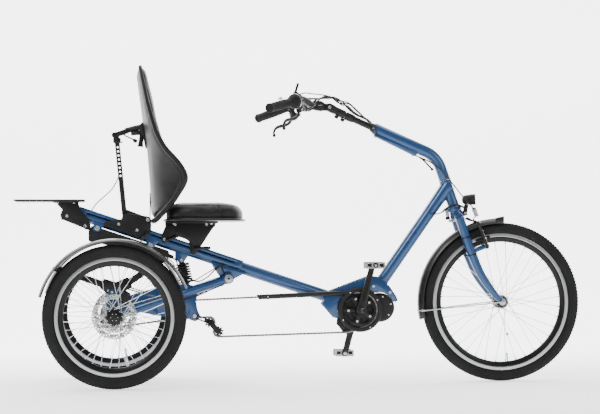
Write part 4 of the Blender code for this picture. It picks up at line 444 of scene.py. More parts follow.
def link_object(mesh, name):
    made = bpy.data.objects.new(name, mesh)
    bpy.context.scene.collection.objects.link(made)
    return made


def as_object(shape, name="helper"):
    mesh = bpy.data.meshes.new(name)
    shape.to_mesh(mesh)
    shape.free()
    return link_object(mesh, name)


def drop(*objects):
    for each in objects:
        data = each.data
        bpy.data.objects.remove(each, do_unlink=True)
        if data and not data.users:
            bpy.data.meshes.remove(data)


def evaluated(obj):
    return bpy.data.meshes.new_from_object(obj.evaluated_get(bpy.context.evaluated_depsgraph_get()))


def merged(*shapes):
    """Several shapes as one, with no cuts."""
    result = shapes[0]
    for shape in shapes[1:]:
        mesh = bpy.data.meshes.new("part")
        shape.to_mesh(mesh)
        shape.free()
        result.from_mesh(mesh)
        bpy.data.meshes.remove(mesh)
    return result


def carved(body, *cutters, edge=0.0):
    """The body less the cutters."""
    base = as_object(body)
    helpers = [as_object(cutter) for cutter in cutters]
    for helper in helpers:
        step = base.modifiers.new("cut", "BOOLEAN")
        step.operation = "DIFFERENCE"
        step.object = helper
        step.solver = "EXACT"
    mesh = evaluated(base)
    result = bmesh.new()
    result.from_mesh(mesh)
    bpy.data.meshes.remove(mesh)
    drop(base, *helpers)
    bmesh.ops.remove_doubles(result, verts=result.verts, dist=2e-6)
    return bevelled(result, edge) if edge else result


def copies_tree():
    """A node group that puts an object on every point, turned and sized by the point's attributes."""
    tree = bpy.data.node_groups.new("copies", "GeometryNodeTree")
    tree.interface.new_socket("Points", in_out="INPUT", socket_type="NodeSocketGeometry")
    unit = tree.interface.new_socket("Unit", in_out="INPUT", socket_type="NodeSocketObject")
    paint = tree.interface.new_socket("Paint", in_out="INPUT", socket_type="NodeSocketMaterial")
    tree.interface.new_socket("Copies", in_out="OUTPUT", socket_type="NodeSocketGeometry")
    given = tree.nodes.new("NodeGroupInput")
    out = tree.nodes.new("NodeGroupOutput")
    info = tree.nodes.new("GeometryNodeObjectInfo")
    place = tree.nodes.new("GeometryNodeInstanceOnPoints")
    real = tree.nodes.new("GeometryNodeRealizeInstances")
    coat = tree.nodes.new("GeometryNodeSetMaterial")
    euler = tree.nodes.new("FunctionNodeEulerToRotation")
    link = tree.links.new
    for name, target in (("turn", euler.inputs[0]), ("size", place.inputs["Scale"])):
        read = tree.nodes.new("GeometryNodeInputNamedAttribute")
        read.data_type = "FLOAT_VECTOR"
        read.inputs["Name"].default_value = name
        link(read.outputs["Attribute"], target)
    link(euler.outputs[0], place.inputs["Rotation"])
    link(given.outputs["Points"], place.inputs["Points"])
    link(given.outputs["Unit"], info.inputs["Object"])
    link(info.outputs["Geometry"], place.inputs["Instance"])
    link(place.outputs["Instances"], real.inputs["Geometry"])
    link(real.outputs["Geometry"], coat.inputs["Geometry"])
    link(given.outputs["Paint"], coat.inputs["Material"])
    link(coat.outputs["Geometry"], out.inputs["Copies"])
    return tree, unit.identifier, paint.identifier


COPIES, UNIT_KEY, PAINT_KEY = copies_tree()


def repeated(unit, places, paint):
    """Copies of a unit shape at the given matrices."""
    holder = as_object(unit, "unit")
    mesh = bpy.data.meshes.new("points")
    mesh.from_pydata([m.translation for m in places], [], [])
    for name, values in (
        ("turn", [m.to_euler() for m in places]), ("size", [m.to_scale() for m in places])
    ):
        data = mesh.attributes.new(name, "FLOAT_VECTOR", "POINT")
        data.data.foreach_set("vector", [c for v in values for c in v])
    points = link_object(mesh, "points")
    step = points.modifiers.new("copies", "NODES")
    step.node_group = COPIES
    step[UNIT_KEY] = holder
    step[PAINT_KEY] = paint
    made = evaluated(points)
    shape = bmesh.new()
    shape.from_mesh(made)
    bpy.data.meshes.remove(made)
    drop(points, holder)
    return shape


def spin(centre, angle, y=0.0):
    """A turn about the Y axis through a centre, from the origin; the angle runs from +X to +Z."""
    return Matrix.Translation((centre[0], y, centre[1])) @ Matrix.Rotation(-angle, 4, "Y")


def facing(point, direction, twist=0.0):
    """A place at the point with the unit's +Z along the direction."""
    turn = Vector(direction).to_track_quat("Z", "Y").to_matrix().to_4x4()
    return Matrix.Translation(point) @ turn @ Matrix.Rotation(twist, 4, "Z")


def piece(name, body, parts, replaces=(), angle=35, finished=None):
    """One object from (shape, material) parts, which rides on a body and stands for the CAD nodes named."""
    whole = bmesh.new()
    slots = []
    for shape, paint in parts:
        if paint not in slots:
            slots.append(paint)
        index = slots.index(paint)
        for face in shape.faces:
            face.material_index = index
        mesh = bpy.data.meshes.new("part")
        shape.to_mesh(mesh)
        shape.free()
        whole.from_mesh(mesh)
        bpy.data.meshes.remove(mesh)
    bmesh.ops.translate(whole, vec=ORIGIN, verts=whole.verts)
    mesh = bpy.data.meshes.new(name)
    whole.to_mesh(mesh)
    whole.free()
    for paint in slots:
        mesh.materials.append(paint)
    mesh.shade_smooth()
    mesh.set_sharp_from_angle(angle=math.radians(angle))
    made = link_object(mesh, name)
    if body:
        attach(made, body)
    if replaces:
        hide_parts(*replaces)
    return made


def screw(point, direction, radius=0.005, height=0.003, hexagon=False):
    """A screw head with a socket, or a hexagon nut, standing on a surface."""
    n = 6 if hexagon else 24
    profile = [
        (0, -0.0005), (radius, -0.0005), (radius, height), (radius * 0.5, height),
        (radius * 0.42, height * 0.45), (0, height * 0.45)
    ]
    if hexagon:
        profile = [
            (0, -0.0005), (radius, -0.0005), (radius, height), (radius * 0.62, height),
            (radius * 0.55, height + 0.0015), (0, height + 0.0015)
        ]
    return turned(profile, point, direction, n, edge=0.0004)


def bead(points, radius=0.0022, closed=False):
    """A weld bead along the points: a row of overlapping ripples."""
    path = [Vector(p) for p in points]
    if closed:
        path.append(path[0])
    spots = []
    step = radius * 0.75
    left = 0.0
    for a, b in zip(path, path[1:]):
        length = (b - a).length
        at = left
        while at < length:
            spots.append((a.lerp(b, at / length), (b - a).normalized()))
            at += step
        left = at - length
    unit = turned(
        [
            (0, -radius * 0.5), (radius * 0.8, -radius * 0.28), (radius, 0), (radius * 0.8, radius * 0.28),
            (0, radius * 0.5)
        ],
        (0, 0, 0), (0, 0, 1), 10, edge=0
    )
    return repeated(unit, [facing(p, d) for p, d in spots], BLUE)


def seam_ring(centre, axis, radius, other_centre, other_axis, other_radius, steps=48, swell=0.0005):
    """Where a round tube meets another: points on the first tube's surface that also lie on the other's."""
    axis, other_axis = Vector(axis).normalized(), Vector(other_axis).normalized()
    side = axis.orthogonal().normalized()
    up = axis.cross(side)
    found = []
    for k in range(steps):
        angle = TURN * k / steps
        start = Vector(centre) + side * radius * math.cos(angle) + up * radius * math.sin(angle)
        gap = start - Vector(other_centre)
        flat_gap = gap - other_axis * gap.dot(other_axis)
        flat_run = axis - other_axis * axis.dot(other_axis)
        a, b, c = flat_run.dot(flat_run), 2 * flat_gap.dot(flat_run), flat_gap.dot(flat_gap) - (
            other_radius + swell
        ) ** 2
        inside = b * b - 4 * a * c
        if inside < 0:
            continue
        t = (-b - math.sqrt(inside)) / (2 * a)
        found.append(start + axis * t)
    return found


# Chains and sprockets
def pitch_radius(teeth):
    return CHAIN_PITCH / (2 * math.sin(math.pi / teeth))


def sprocket_outline(centre, teeth, phase):
    """Teeth with round seats for the rollers; one seat lies at the phase angle."""
    radius = pitch_radius(teeth)
    points = []
    for k in range(teeth):
        for share, rise in (
            (0, -0.0039), (0.15, -0.0033), (0.3, -0.0008), (0.42, 0.0026), (0.5, 0.0031), (0.58, 0.0026),
            (0.7, -0.0008), (0.85, -0.0033)
        ):
            points.append(polar(centre, radius + rise, phase + TURN * (k + share) / teeth))
    return points


def belt_path(wheels, step=0.002):
    """A dense closed line round wheels: (centre, radius), a minus radius for one passed on its other side."""
    contacts = []
    count = len(wheels)
    for i in range(count):
        (ax, az), ar = wheels[i]
        (bx, bz), br = wheels[(i + 1) % count]
        span = Vector((bx - ax, bz - az))
        contacts.append(math.atan2(span.y, span.x) - math.pi / 2 + math.asin((ar - br) / span.length))
    path, owners = [], []
    for i in range(count):
        centre, radius = wheels[i]
        turn = (contacts[i] - contacts[i - 1]) % TURN
        if radius < 0:
            turn -= TURN
        steps = max(2, round(abs(turn * radius) / step))
        for k in range(steps + 1):
            path.append(Vector(polar(centre, radius, contacts[i - 1] + turn * k / steps)))
            owners.append(i)
    return path, owners


def rollers(wheels):
    """Roller centres one pitch apart round the loop, and for each wheel the angle of a roller on it."""
    path, owners = belt_path(wheels)
    path.append(path[0])
    owners.append(0)
    run = [0.0]
    for a, b in zip(path, path[1:]):
        run.append(run[-1] + (b - a).length)
    total = run[-1]
    count = 2 * round(total / CHAIN_PITCH / 2)
    spots, phases = [], {}
    at = 0
    spans = {}
    for i in range(len(wheels)):
        own = [run[k] for k, o in enumerate(owners[:-1]) if o == i]
        spans[i] = (min(own) + max(own)) / 2
    for k in range(count):
        wanted = total * k / count
        while run[at + 1] < wanted:
            at += 1
        spot = path[at].lerp(path[at + 1], (wanted - run[at]) / max(run[at + 1] - run[at], 1e-9))
        spots.append(spot)
        for i, middle in spans.items():
            if i not in phases or abs(wanted - middle) < phases[i][0]:
                gap = spot - Vector(wheels[i][0])
                phases[i] = (abs(wanted - middle), math.atan2(gap.y, gap.x))
    return spots, {i: value[1] for i, value in phases.items()}


def chain_shape(spots, y):
    """Inner links with rollers and outer links with riveted pins, in turn."""
    pitch = (spots[1] - spots[0]).length

    def link(y_at, thickness):
        outline = []
        for k in range(9):
            outline.append(polar((pitch, 0), 0.0041, -math.pi / 2 + math.pi * k / 8))
        outline.append((pitch / 2, 0.003))
        for k in range(9):
            outline.append(polar((0, 0), 0.0041, math.pi / 2 + math.pi * k / 8))
        outline.append((pitch / 2, -0.003))
        return plate(outline, y_at - thickness / 2, y_at + thickness / 2, edge=0.0002)

    inner = merged(
        link(-0.0019, 0.0009), link(0.0019, 0.0009),
        across(0, 0, -0.0014, 0.0014, 0.0038, 16, edge=0.0003),
        across(pitch, 0, -0.0014, 0.0014, 0.0038, 16, edge=0.0003),
    )
    outer = merged(
        link(-0.0029, 0.0009), link(0.0029, 0.0009),
        across(0, 0, -0.0037, 0.0037, 0.0018, 10, edge=0.0003),
        across(pitch, 0, -0.0037, 0.0037, 0.0018, 10, edge=0.0003),
    )
    places = [[], []]
    for k, spot in enumerate(spots):
        after = spots[(k + 1) % len(spots)]
        places[k % 2].append(spin(spot, math.atan2(after.y - spot.y, after.x - spot.x), y))
    return merged(repeated(inner, places[0], CHAIN), repeated(outer, places[1], CHAIN))


def sprocket(centre, y, teeth, phase, holes=(), thickness=0.0022):
    return plate(
        sprocket_outline(centre, teeth, phase), y - thickness / 2, y + thickness / 2, holes, edge=0.0003
    )


# Wheels
def tyre_parts(centre, y, radius, width, rim_r):
    half = width / 2
    wall = radius - 0.0016 - rim_r
    profile = [(rim_r - 0.0035, 0.0108), (rim_r + 0.0008, 0.0118), (rim_r + 0.003, 0.0131)]
    for k in range(13):
        angle = math.radians(-32 + 122 * k / 12)
        profile.append(
            (
                rim_r + wall * (0.44 + 0.56 * math.sin(angle)),
                half * 0.985 * math.cos(angle) ** 0.9 if k < 12 else 0.0006
            )
        )
    profile += [(r, -along) for r, along in reversed(profile)]
    body = turned(profile, (centre[0], y, centre[1]), sides=160, edge=0)
    parts = [(body, TYRE)]

    def lugs(outline, height, rows, per_row):
        unit = plate(outline, -height * 0.5, height * 0.5, edge=0.0004)
        places = []
        for offset, down, lean, twist in rows:
            for k in range(per_row):
                angle = TURN * (k + twist) / per_row
                r = radius - down
                spot = spin(centre, angle, y) @ Matrix.Translation((r, offset, 0))
                places.append(spot @ Matrix.Rotation(lean, 4, "Z") @ Matrix.Rotation(-math.pi / 2, 4, "Z"))
        return repeated(unit, places, TYRE)

    long_lug = [(-0.0035, -0.0046), (0.0035, -0.003), (0.0035, 0.0046), (-0.0035, 0.003)]
    short_lug = [(-0.0032, -0.0036), (0.0032, -0.0036), (0.0024, 0.0036), (-0.0024, 0.0036)]
    count = round(TURN * radius / 0.0125)
    parts.append(
        (lugs(long_lug, 0.002, ((-0.0048, 0.0013, 0.0, 0.0), (0.0048, 0.0013, 0.0, 0.5)), count), TYRE)
    )
    shoulder = half * 0.56
    parts.append(
        (
            lugs(
                short_lug, 0.002, ((-shoulder, 0.0042, -0.42, 0.25), (shoulder, 0.0042, 0.42, 0.75)), count
            ),
            TYRE
        )
    )
    side_lug = [(-0.0016, -0.0012), (0.0016, -0.0012), (0.0016, 0.0012), (-0.0016, 0.0012)]
    parts.append(
        (
            lugs(
                side_lug, 0.001, ((-half * 0.86, 0.0118, -1.0, 0.0), (half * 0.86, 0.0118, 1.0, 0.0)), count
            ),
            TYRE
        )
    )
    for side in (-1, 1):
        for r, out in ((0.3, 0.985), (0.16, 0.86)):
            ridge = turned(
                [
                    (rim_r + wall * r + 0.0009, 0), (rim_r + wall * r, 0.0005),
                    (rim_r + wall * r - 0.0009, 0)
                ],
                (centre[0], y + side * half * out * 0.985, centre[1]), (0, side, 0), 160, edge=0,
            )
            parts.append((ridge, TYRE))
    return parts


def rim_parts(centre, y, radius):
    middle = (centre[0], y, centre[1])
    inner = turned(
        [(
            radius - 0.0305, -0.007
        ), (radius - 0.0185, -0.012), (radius - 0.012, -0.0124), (radius - 0.012, 0.0124),
         (radius - 0.0185, 0.012), (radius - 0.0305, 0.007), (radius - 0.0315, 0.0)],
        middle, sides=160, edge=0.0012,
    )
    parts = [(inner, ANODISED)]
    for side in (-1, 1):
        track = turned(
            [(
                radius - 0.0122, 0.0095
            ), (radius - 0.0122, 0.0129), (radius - 0.011, 0.0135), (radius - 0.0018, 0.0135),
             (radius - 0.0004, 0.0131), (radius + 0.0012, 0.0124), (radius + 0.0012, 0.0112),
             (radius - 0.003, 0.0095)],
            middle, (0, side, 0), 160, edge=0.0004,
        )
        parts.append((track, BRUSHED))
    return parts


def spoke_parts(centre, y, rim_r, flange_r, flange_y, count=36):
    """Crossed spokes with bent heads and nipples: four make a unit that repeats round the hub."""
    rim_end = rim_r - 0.0305
    groups = count // 4
    wires, nipples, heads = [], [], []
    for k in range(4):
        flange = 1 if k % 2 else -1
        lean = 1 if k // 2 else -1
        at_rim = TURN * (k + 0.5) / count
        at_hub = at_rim + lean * math.radians(62)
        out = flange * (flange_y + lean * 0.0024)
        start = Vector((flange_r * math.cos(at_hub), out, flange_r * math.sin(at_hub)))
        end = Vector((rim_end * math.cos(at_rim), flange * 0.003, rim_end * math.sin(at_rim)))
        along = (end - start).normalized()
        wires.append(tube([start, end - along * 0.006], 0.001, 8, edge=0))
        nipples.append(tube([end - along * 0.01, end + along * 0.002], [0.0017, 0.002], 8, edge=0.0003))
        heads.append(
            tube(
                [
                    start + Vector((0, flange * lean * 0.0016, 0)),
                    start - Vector((0, flange * lean * 0.005, 0))
                ],
                0.0019, 8, edge=0.0004
            )
        )
    places = [spin(centre, TURN * k / groups, y) for k in range(groups)]
    return [
        (repeated(merged(*wires), places, STEEL), STEEL),
        (repeated(merged(*nipples), places, BRUSHED), BRUSHED),
        (repeated(merged(*heads), places, STEEL), STEEL),
    ]


def flange_hole_shade(centre, y, radius, flange_y, count=36):
    """Small dark discs where the spokes pass the flanges: painted shade standing in for the countersunk
    holes.
    """
    unit = turned([(0, 0), (0.0021, 0), (0.0021, 0.0003), (0, 0.0003)], (0, 0, 0), sides=10, edge=0)
    places = []
    for side in (-1, 1):
        for k in range(count // 2):
            places.append(
                spin(
                    centre, TURN * (k + (side > 0) * 0.5) * 2 / count, y
                ) @ Matrix.Translation((radius, side * (flange_y + 0.0022), 0))
            )
    return repeated(unit, places, DARK_STEEL)


def valve(centre, y, rim_r, angle):
    foot = polar(centre, rim_r - 0.03, angle)
    tip = polar(centre, rim_r - 0.062, angle)
    waist = polar(centre, rim_r - 0.046, angle)
    return merged(
        tube([(foot[0], y, foot[1]), (waist[0], y, waist[1])], 0.0031, 16),
        tube([(waist[0], y, waist[1]), (tip[0], y, tip[1])], 0.004, 16),
    )


def rear_wheel(side_name, outward):
    y = outward * TRACK / 2
    middle = (0, y, REAR_Z)
    centre = (0, REAR_Z)
    piece(
        f"{side_name}_rear_tyre_visual", f"{side_name}_wheel_set",
        tyre_parts(centre, y, REAR_R, 0.05, REAR_RIM), [f"{side_name}_tyre"]
    )
    hub = turned(
        [(0, 0.0285), (0.012, 0.0285), (0.015, 0.026), (
            0.0158, 0.0235
        ), (0.031, 0.0212), (0.031, 0.0168), (0.018, 0.0155),
         (0.0165, 0.0), (0.018, -0.0155), (0.031, -0.0168), (0.031, -0.0212), (0.0215, -0.0225),
         (0.0215, -0.0485),
         (0.0085, -0.0485), (0.0085, -0.0795), (0, -0.0795)],
        middle, (0, outward, 0), 64, edge=0.001,
    )
    parts = rim_parts(centre, y, REAR_RIM) + spoke_parts(
        centre, y, REAR_RIM, 0.0275, 0.019
    ) + [(hub, ANODISED)]
    # Painted shade for the spoke holes in the hub flanges
    parts.append((flange_hole_shade(centre, y, 0.0275, 0.019), DARK_STEEL))
    cap = turned(
        [(0, 0.0292), (0.0085, 0.0292), (0.0098, 0.0283), (0.0098, 0.027), (0, 0.027)], middle,
        (0, outward, 0), 48
    )
    parts.append((cap, PLASTIC))
    unit = across(0, 0, -0.0004, 0.0006, 0.0016, 12, edge=0.0002)
    parts.append(
        (
            repeated(
                unit,
                [
                    spin(centre, TURN * k / 6, y + outward * 0.0286) @ Matrix.Translation((0.0125, 0, 0))
                    for k in range(6)
                ],
                STEEL
            ),
            STEEL
        )
    )
    parts.append((valve(centre, y, REAR_RIM, math.radians(-74)), CHROME))
    piece(
        f"{side_name}_rear_wheel_visual", f"{side_name}_wheel_set", parts, [f"{side_name}_wheel"],
    )

    disc_y = y - outward * DISC_INSET
    holes = []
    rotor = []
    for k in range(12):
        a = TURN * k / 12
        for r, shift in ((0.075, 0.0), (0.0705, 0.13), (0.066, 0.26)):
            holes.append(circle(polar(centre, r, a + shift), 0.0023, 10))
        holes.append(circle(polar(centre, 0.0745, a + 0.26), 0.0016, 10))
    outline = [polar(centre, 0.08 - 0.0016 * (k % 8 in (3, 4)), TURN * k / 192) for k in range(192)]
    ring = plate(outline, disc_y - 0.001, disc_y + 0.001, holes + [circle(centre, 0.0615, 96)], edge=0.0002)
    rotor.append((ring, STEEL))
    arms = []
    for k in range(6):
        a = TURN * k / 6
        arms.append(
            plate(
                [
                    polar(centre, 0.0225, a - 0.22), polar(centre, 0.04, a + 0.0),
                    polar(centre, 0.0625, a + 0.2), polar(centre, 0.0625, a + 0.33),
                    polar(centre, 0.04, a + 0.18), polar(centre, 0.0225, a + 0.16)
                ],
                disc_y - 0.0009, disc_y + 0.0009, edge=0.0002
            )
        )
    rotor.append((merged(*arms), STEEL))
    spider = plate(
        circle(centre, 0.029, 64), disc_y - 0.0011, disc_y + 0.0011, [circle(centre, 0.0095, 32)],
        edge=0.0002
    )
    rotor.append((spider, STEEL))
    bolts = [
        screw(
            (
                *polar(centre, 0.022, TURN * k / 6)[:1], disc_y + outward * 0.001,
                polar(centre, 0.022, TURN * k / 6)[1]
            ),
            (0, outward, 0), 0.0036, 0.002
        )
        for k in range(6)
    ]
    inner_bolts = [
        screw(
            (
                *polar(centre, 0.016, TURN * (k + 0.5) / 6)[:1], disc_y - outward * 0.001,
                polar(centre, 0.016, TURN * (k + 0.5) / 6)[1]
            ),
            (0, -outward, 0), 0.003, 0.0022
        )
        for k in range(6)
    ]
    rotor.append((merged(*bolts, *inner_bolts), DARK_STEEL))
    piece(f"{side_name}_rotor", f"{side_name}_wheel_set", rotor, [f"{side_name}_disc"], angle=30)

    angle = math.radians(58.4)
    radial = Vector((math.cos(angle), 0, math.sin(angle)))
    along = Vector((-radial.z, 0, radial.x))

    def at(r, t):
        p = Vector((0, 0, REAR_Z)) + radial * r + along * t
        return (p.x, p.z)

    outline = rounded(
        [
            at(0.053, -0.0145), at(0.084, -0.024), at(0.092, -0.0145), at(0.092, 0.0145), at(0.084, 0.024),
            at(0.053, 0.0145)
        ],
        0.005
    )
    shells = []
    for lift in (-1, 1):
        shells.append(plate(outline, disc_y + lift * 0.0018, disc_y + lift * 0.0155, edge=0.0022))
        shells.append(
            turned(
                [
                    (0, 0.015), (0.0095, 0.015), (0.0095, 0.0165), (0.006, 0.0165), (0.005, 0.0158),
                    (0, 0.0158)
                ],
                (*at(0.071, 0)[:1], disc_y, at(0.071, 0)[1]), (0, lift, 0), 32
            )
        )
    top = plate(
        rounded([at(0.083, -0.019), at(0.092, -0.0135), at(0.092, 0.0135), at(0.083, 0.019)], 0.003),
        disc_y - 0.003, disc_y + 0.003, edge=0.001
    )
    pads = merged(
        *[
            box(
                (at(0.07, 0)[0] - 0.008, disc_y + s * 0.0013, at(0.07, 0)[1] - 0.01),
                (at(0.07, 0)[0] + 0.008, disc_y + s * 0.004, at(0.07, 0)[1] + 0.01), 0.0004
            )
            for s in (-1, 1)
        ]
    )
    bolts = [
        screw(
            (at(0.083, t)[0], disc_y - outward * 0.0155, at(0.083, t)[1]), (0, -outward, 0), 0.0036, 0.003
        )
        for t in (-0.017, 0.017)
    ]
    banjo_at = Vector((at(0.089, 0.012)[0], disc_y - outward * 0.01, at(0.089, 0.012)[1]))
    banjo = tube([banjo_at, banjo_at + radial * 0.002 + along * 0.01], 0.0038, 20)
    piece(
        f"{side_name}_rear_caliper_visual", "swing",
        [(merged(*shells, top), BLACK), (pads, DARK_STEEL), (merged(*bolts), STEEL), (banjo, DARK_STEEL)],
        [f"{side_name}_caliper"]
    )
    return banjo_at + along * 0.01


def fender_sheet(centre, y, outer_r, width, start, end, drop_edge=0.009, steps=72):
    """A thin curved sheet with rolled edges, rounded at both ends."""
    half = width / 2
    section = []
    for k in range(17):
        t = -1 + 2 * k / 16
        section.append((outer_r - drop_edge * abs(t) ** 2.6, half * t))
    section.append((outer_r - drop_edge - 0.0024, half * 0.985))
    section.append((outer_r - drop_edge - 0.0024, half * 0.94))
    for k in range(15):
        t = 0.92 - 1.84 * k / 14
        section.append((outer_r - 0.0024 - drop_edge * abs(t) ** 2.6, half * t))
    section.append((outer_r - drop_edge - 0.0024, -half * 0.94))
    section.append((outer_r - drop_edge - 0.0024, -half * 0.985))
    corners = []
    for i in range(steps + 1):
        angle = start + (end - start) * i / steps
        ends = min(i, steps - i) / steps
        tuck = 1 - 0.16 * max(0.0, 1 - ends / 0.025) ** 2
        for r, across_y in section:
            x, z = polar(centre, r, angle)
            corners.append((x, y + across_y * tuck, z))
    count = len(section)
    faces = [tuple(range(count)), tuple(range(steps * count, (steps + 1) * count))]
    for i in range(steps):
        for k in range(count):
            a, b = i * count + k, i * count + (k + 1) % count
            faces.append((a, b, b + count, a + count))
    return from_faces(corners, faces)


def bar_between(start, end, half, y_low, y_high, slot=None, edge=0.0006):
    """A flat bar with round ends between two (x, z) points, with a slot near its far end."""
    heading = math.atan2(end[1] - start[1], end[0] - start[0])
    outline = circle(
        start, half, 10, heading + math.pi / 2, math.pi
    ) + circle(end, half, 10, heading - math.pi / 2, math.pi)
    holes = []
    if slot:
        a, b = (Vector(start).lerp(Vector(end), t) for t in slot)
        holes.append(
            circle(a, half * 0.36, 6, heading + math.pi / 2, math.pi)
            + circle(b, half * 0.36, 6, heading - math.pi / 2, math.pi)
        )
    return plate(outline, y_low, y_high, holes, edge)


def rear_fender(side_name, outward):
    y = outward * TRACK / 2
    centre = (0, REAR_Z)
    outer_r = REAR_R + 0.017 + 0.003 + 0.002
    face = y - outward * (DISC_INSET + 0.0167 + 0.0003 + 0.004 + 0.0003)
    back = face - outward * 0.003
    body = plate(
        rounded(
            [
                (-0.05, 0.352), (-0.02, 0.33), (0.016, 0.33), (0.064, 0.356), (0.052, 0.386),
                (0.006, 0.366), (-0.04, 0.38)
            ],
            0.006
        ),
        face, back, [circle((0.02, 0.344), 0.0042, 16), circle((-0.022, 0.344), 0.0042, 16)],
    )
    sheet = fender_sheet(centre, y, outer_r, FENDER_WIDTH, math.radians(21.5), math.radians(165))
    stays, bolts = [body], []
    for foot, angle in (((0.058, 0.372), 0.853), ((-0.043, 0.362), 2.459)):
        tip = polar(centre, outer_r - 0.004, angle)
        stays.append(
            bar_between(foot, polar(centre, outer_r - 0.012, angle), 0.0078, face, back, (0.55, 0.86))
        )
        inner = polar(centre, outer_r - 0.014, angle)
        stays.append(bar_between(inner, tip, 0.002, back, y - outward * 0.02, edge=0.0003))
        for share in (0.66, 0.8):
            spot = Vector(foot).lerp(Vector(tip), share)
            bolts.append(screw((spot.x, face, spot.y), (0, outward, 0), 0.0046, 0.0028))
            bolts.append(screw((spot.x, back, spot.y), (0, -outward, 0), 0.0052, 0.0036, True))
        for shift in (-0.011, 0.011):
            head = polar(centre, outer_r - 0.0002, angle)
            bolts.append(
                screw((head[0], y + shift, head[1]), (math.cos(angle), 0, math.sin(angle)), 0.0042, 0.0016)
            )
    for spot in ((0.02, 0.344), (-0.022, 0.344)):
        bolts.append(screw((spot[0], back, spot[1]), (0, -outward, 0), 0.0058, 0.004, True))
    piece(
        f"{side_name}_rear_fender_visual", "swing",
        [(sheet, FENDER), (merged(*stays), BLACK), (merged(*bolts), STEEL)], [f"{side_name}_fender"],
        40
    )


hose_ends = {}
for side_name, outward in (("right", -1), ("left", 1)):
    hose_ends[side_name] = rear_wheel(side_name, outward)
    rear_fender(side_name, outward)

piece(
    "front_tyre_visual", "front_wheel_set", tyre_parts(FRONT, 0, FRONT_R, 0.047, FRONT_RIM), ["front_tyre"],
)
front_hub = turned(
    [(
        0.0055, 0.0405
    ), (0.0105, 0.0405), (0.012, 0.038), (0.0125, 0.0312), (0.025, 0.03), (0.025, 0.026), (0.014, 0.0245),
     (0.013, 0.0), (0.014, -0.0245), (0.025, -0.026), (0.025, -0.03), (0.0125, -0.0312), (0.012, -0.038),
     (0.0105, -0.0405),
     (0.0055, -0.0405)],
    (FRONT[0], 0, FRONT[1]), sides=64, edge=0.001,
)
front_parts = rim_parts(FRONT, 0, FRONT_RIM) + spoke_parts(
    FRONT, 0, FRONT_RIM, 0.0215, 0.028
) + [(front_hub, ANODISED)]
# Painted shade for the spoke holes in the hub flanges
front_parts.append((flange_hole_shade(FRONT, 0, 0.0215, 0.028), DARK_STEEL))
front_parts.append((valve(FRONT, 0, FRONT_RIM, math.radians(-83)), CHROME))
piece("front_wheel_visual", "front_wheel_set", front_parts, ["front_wheel"])


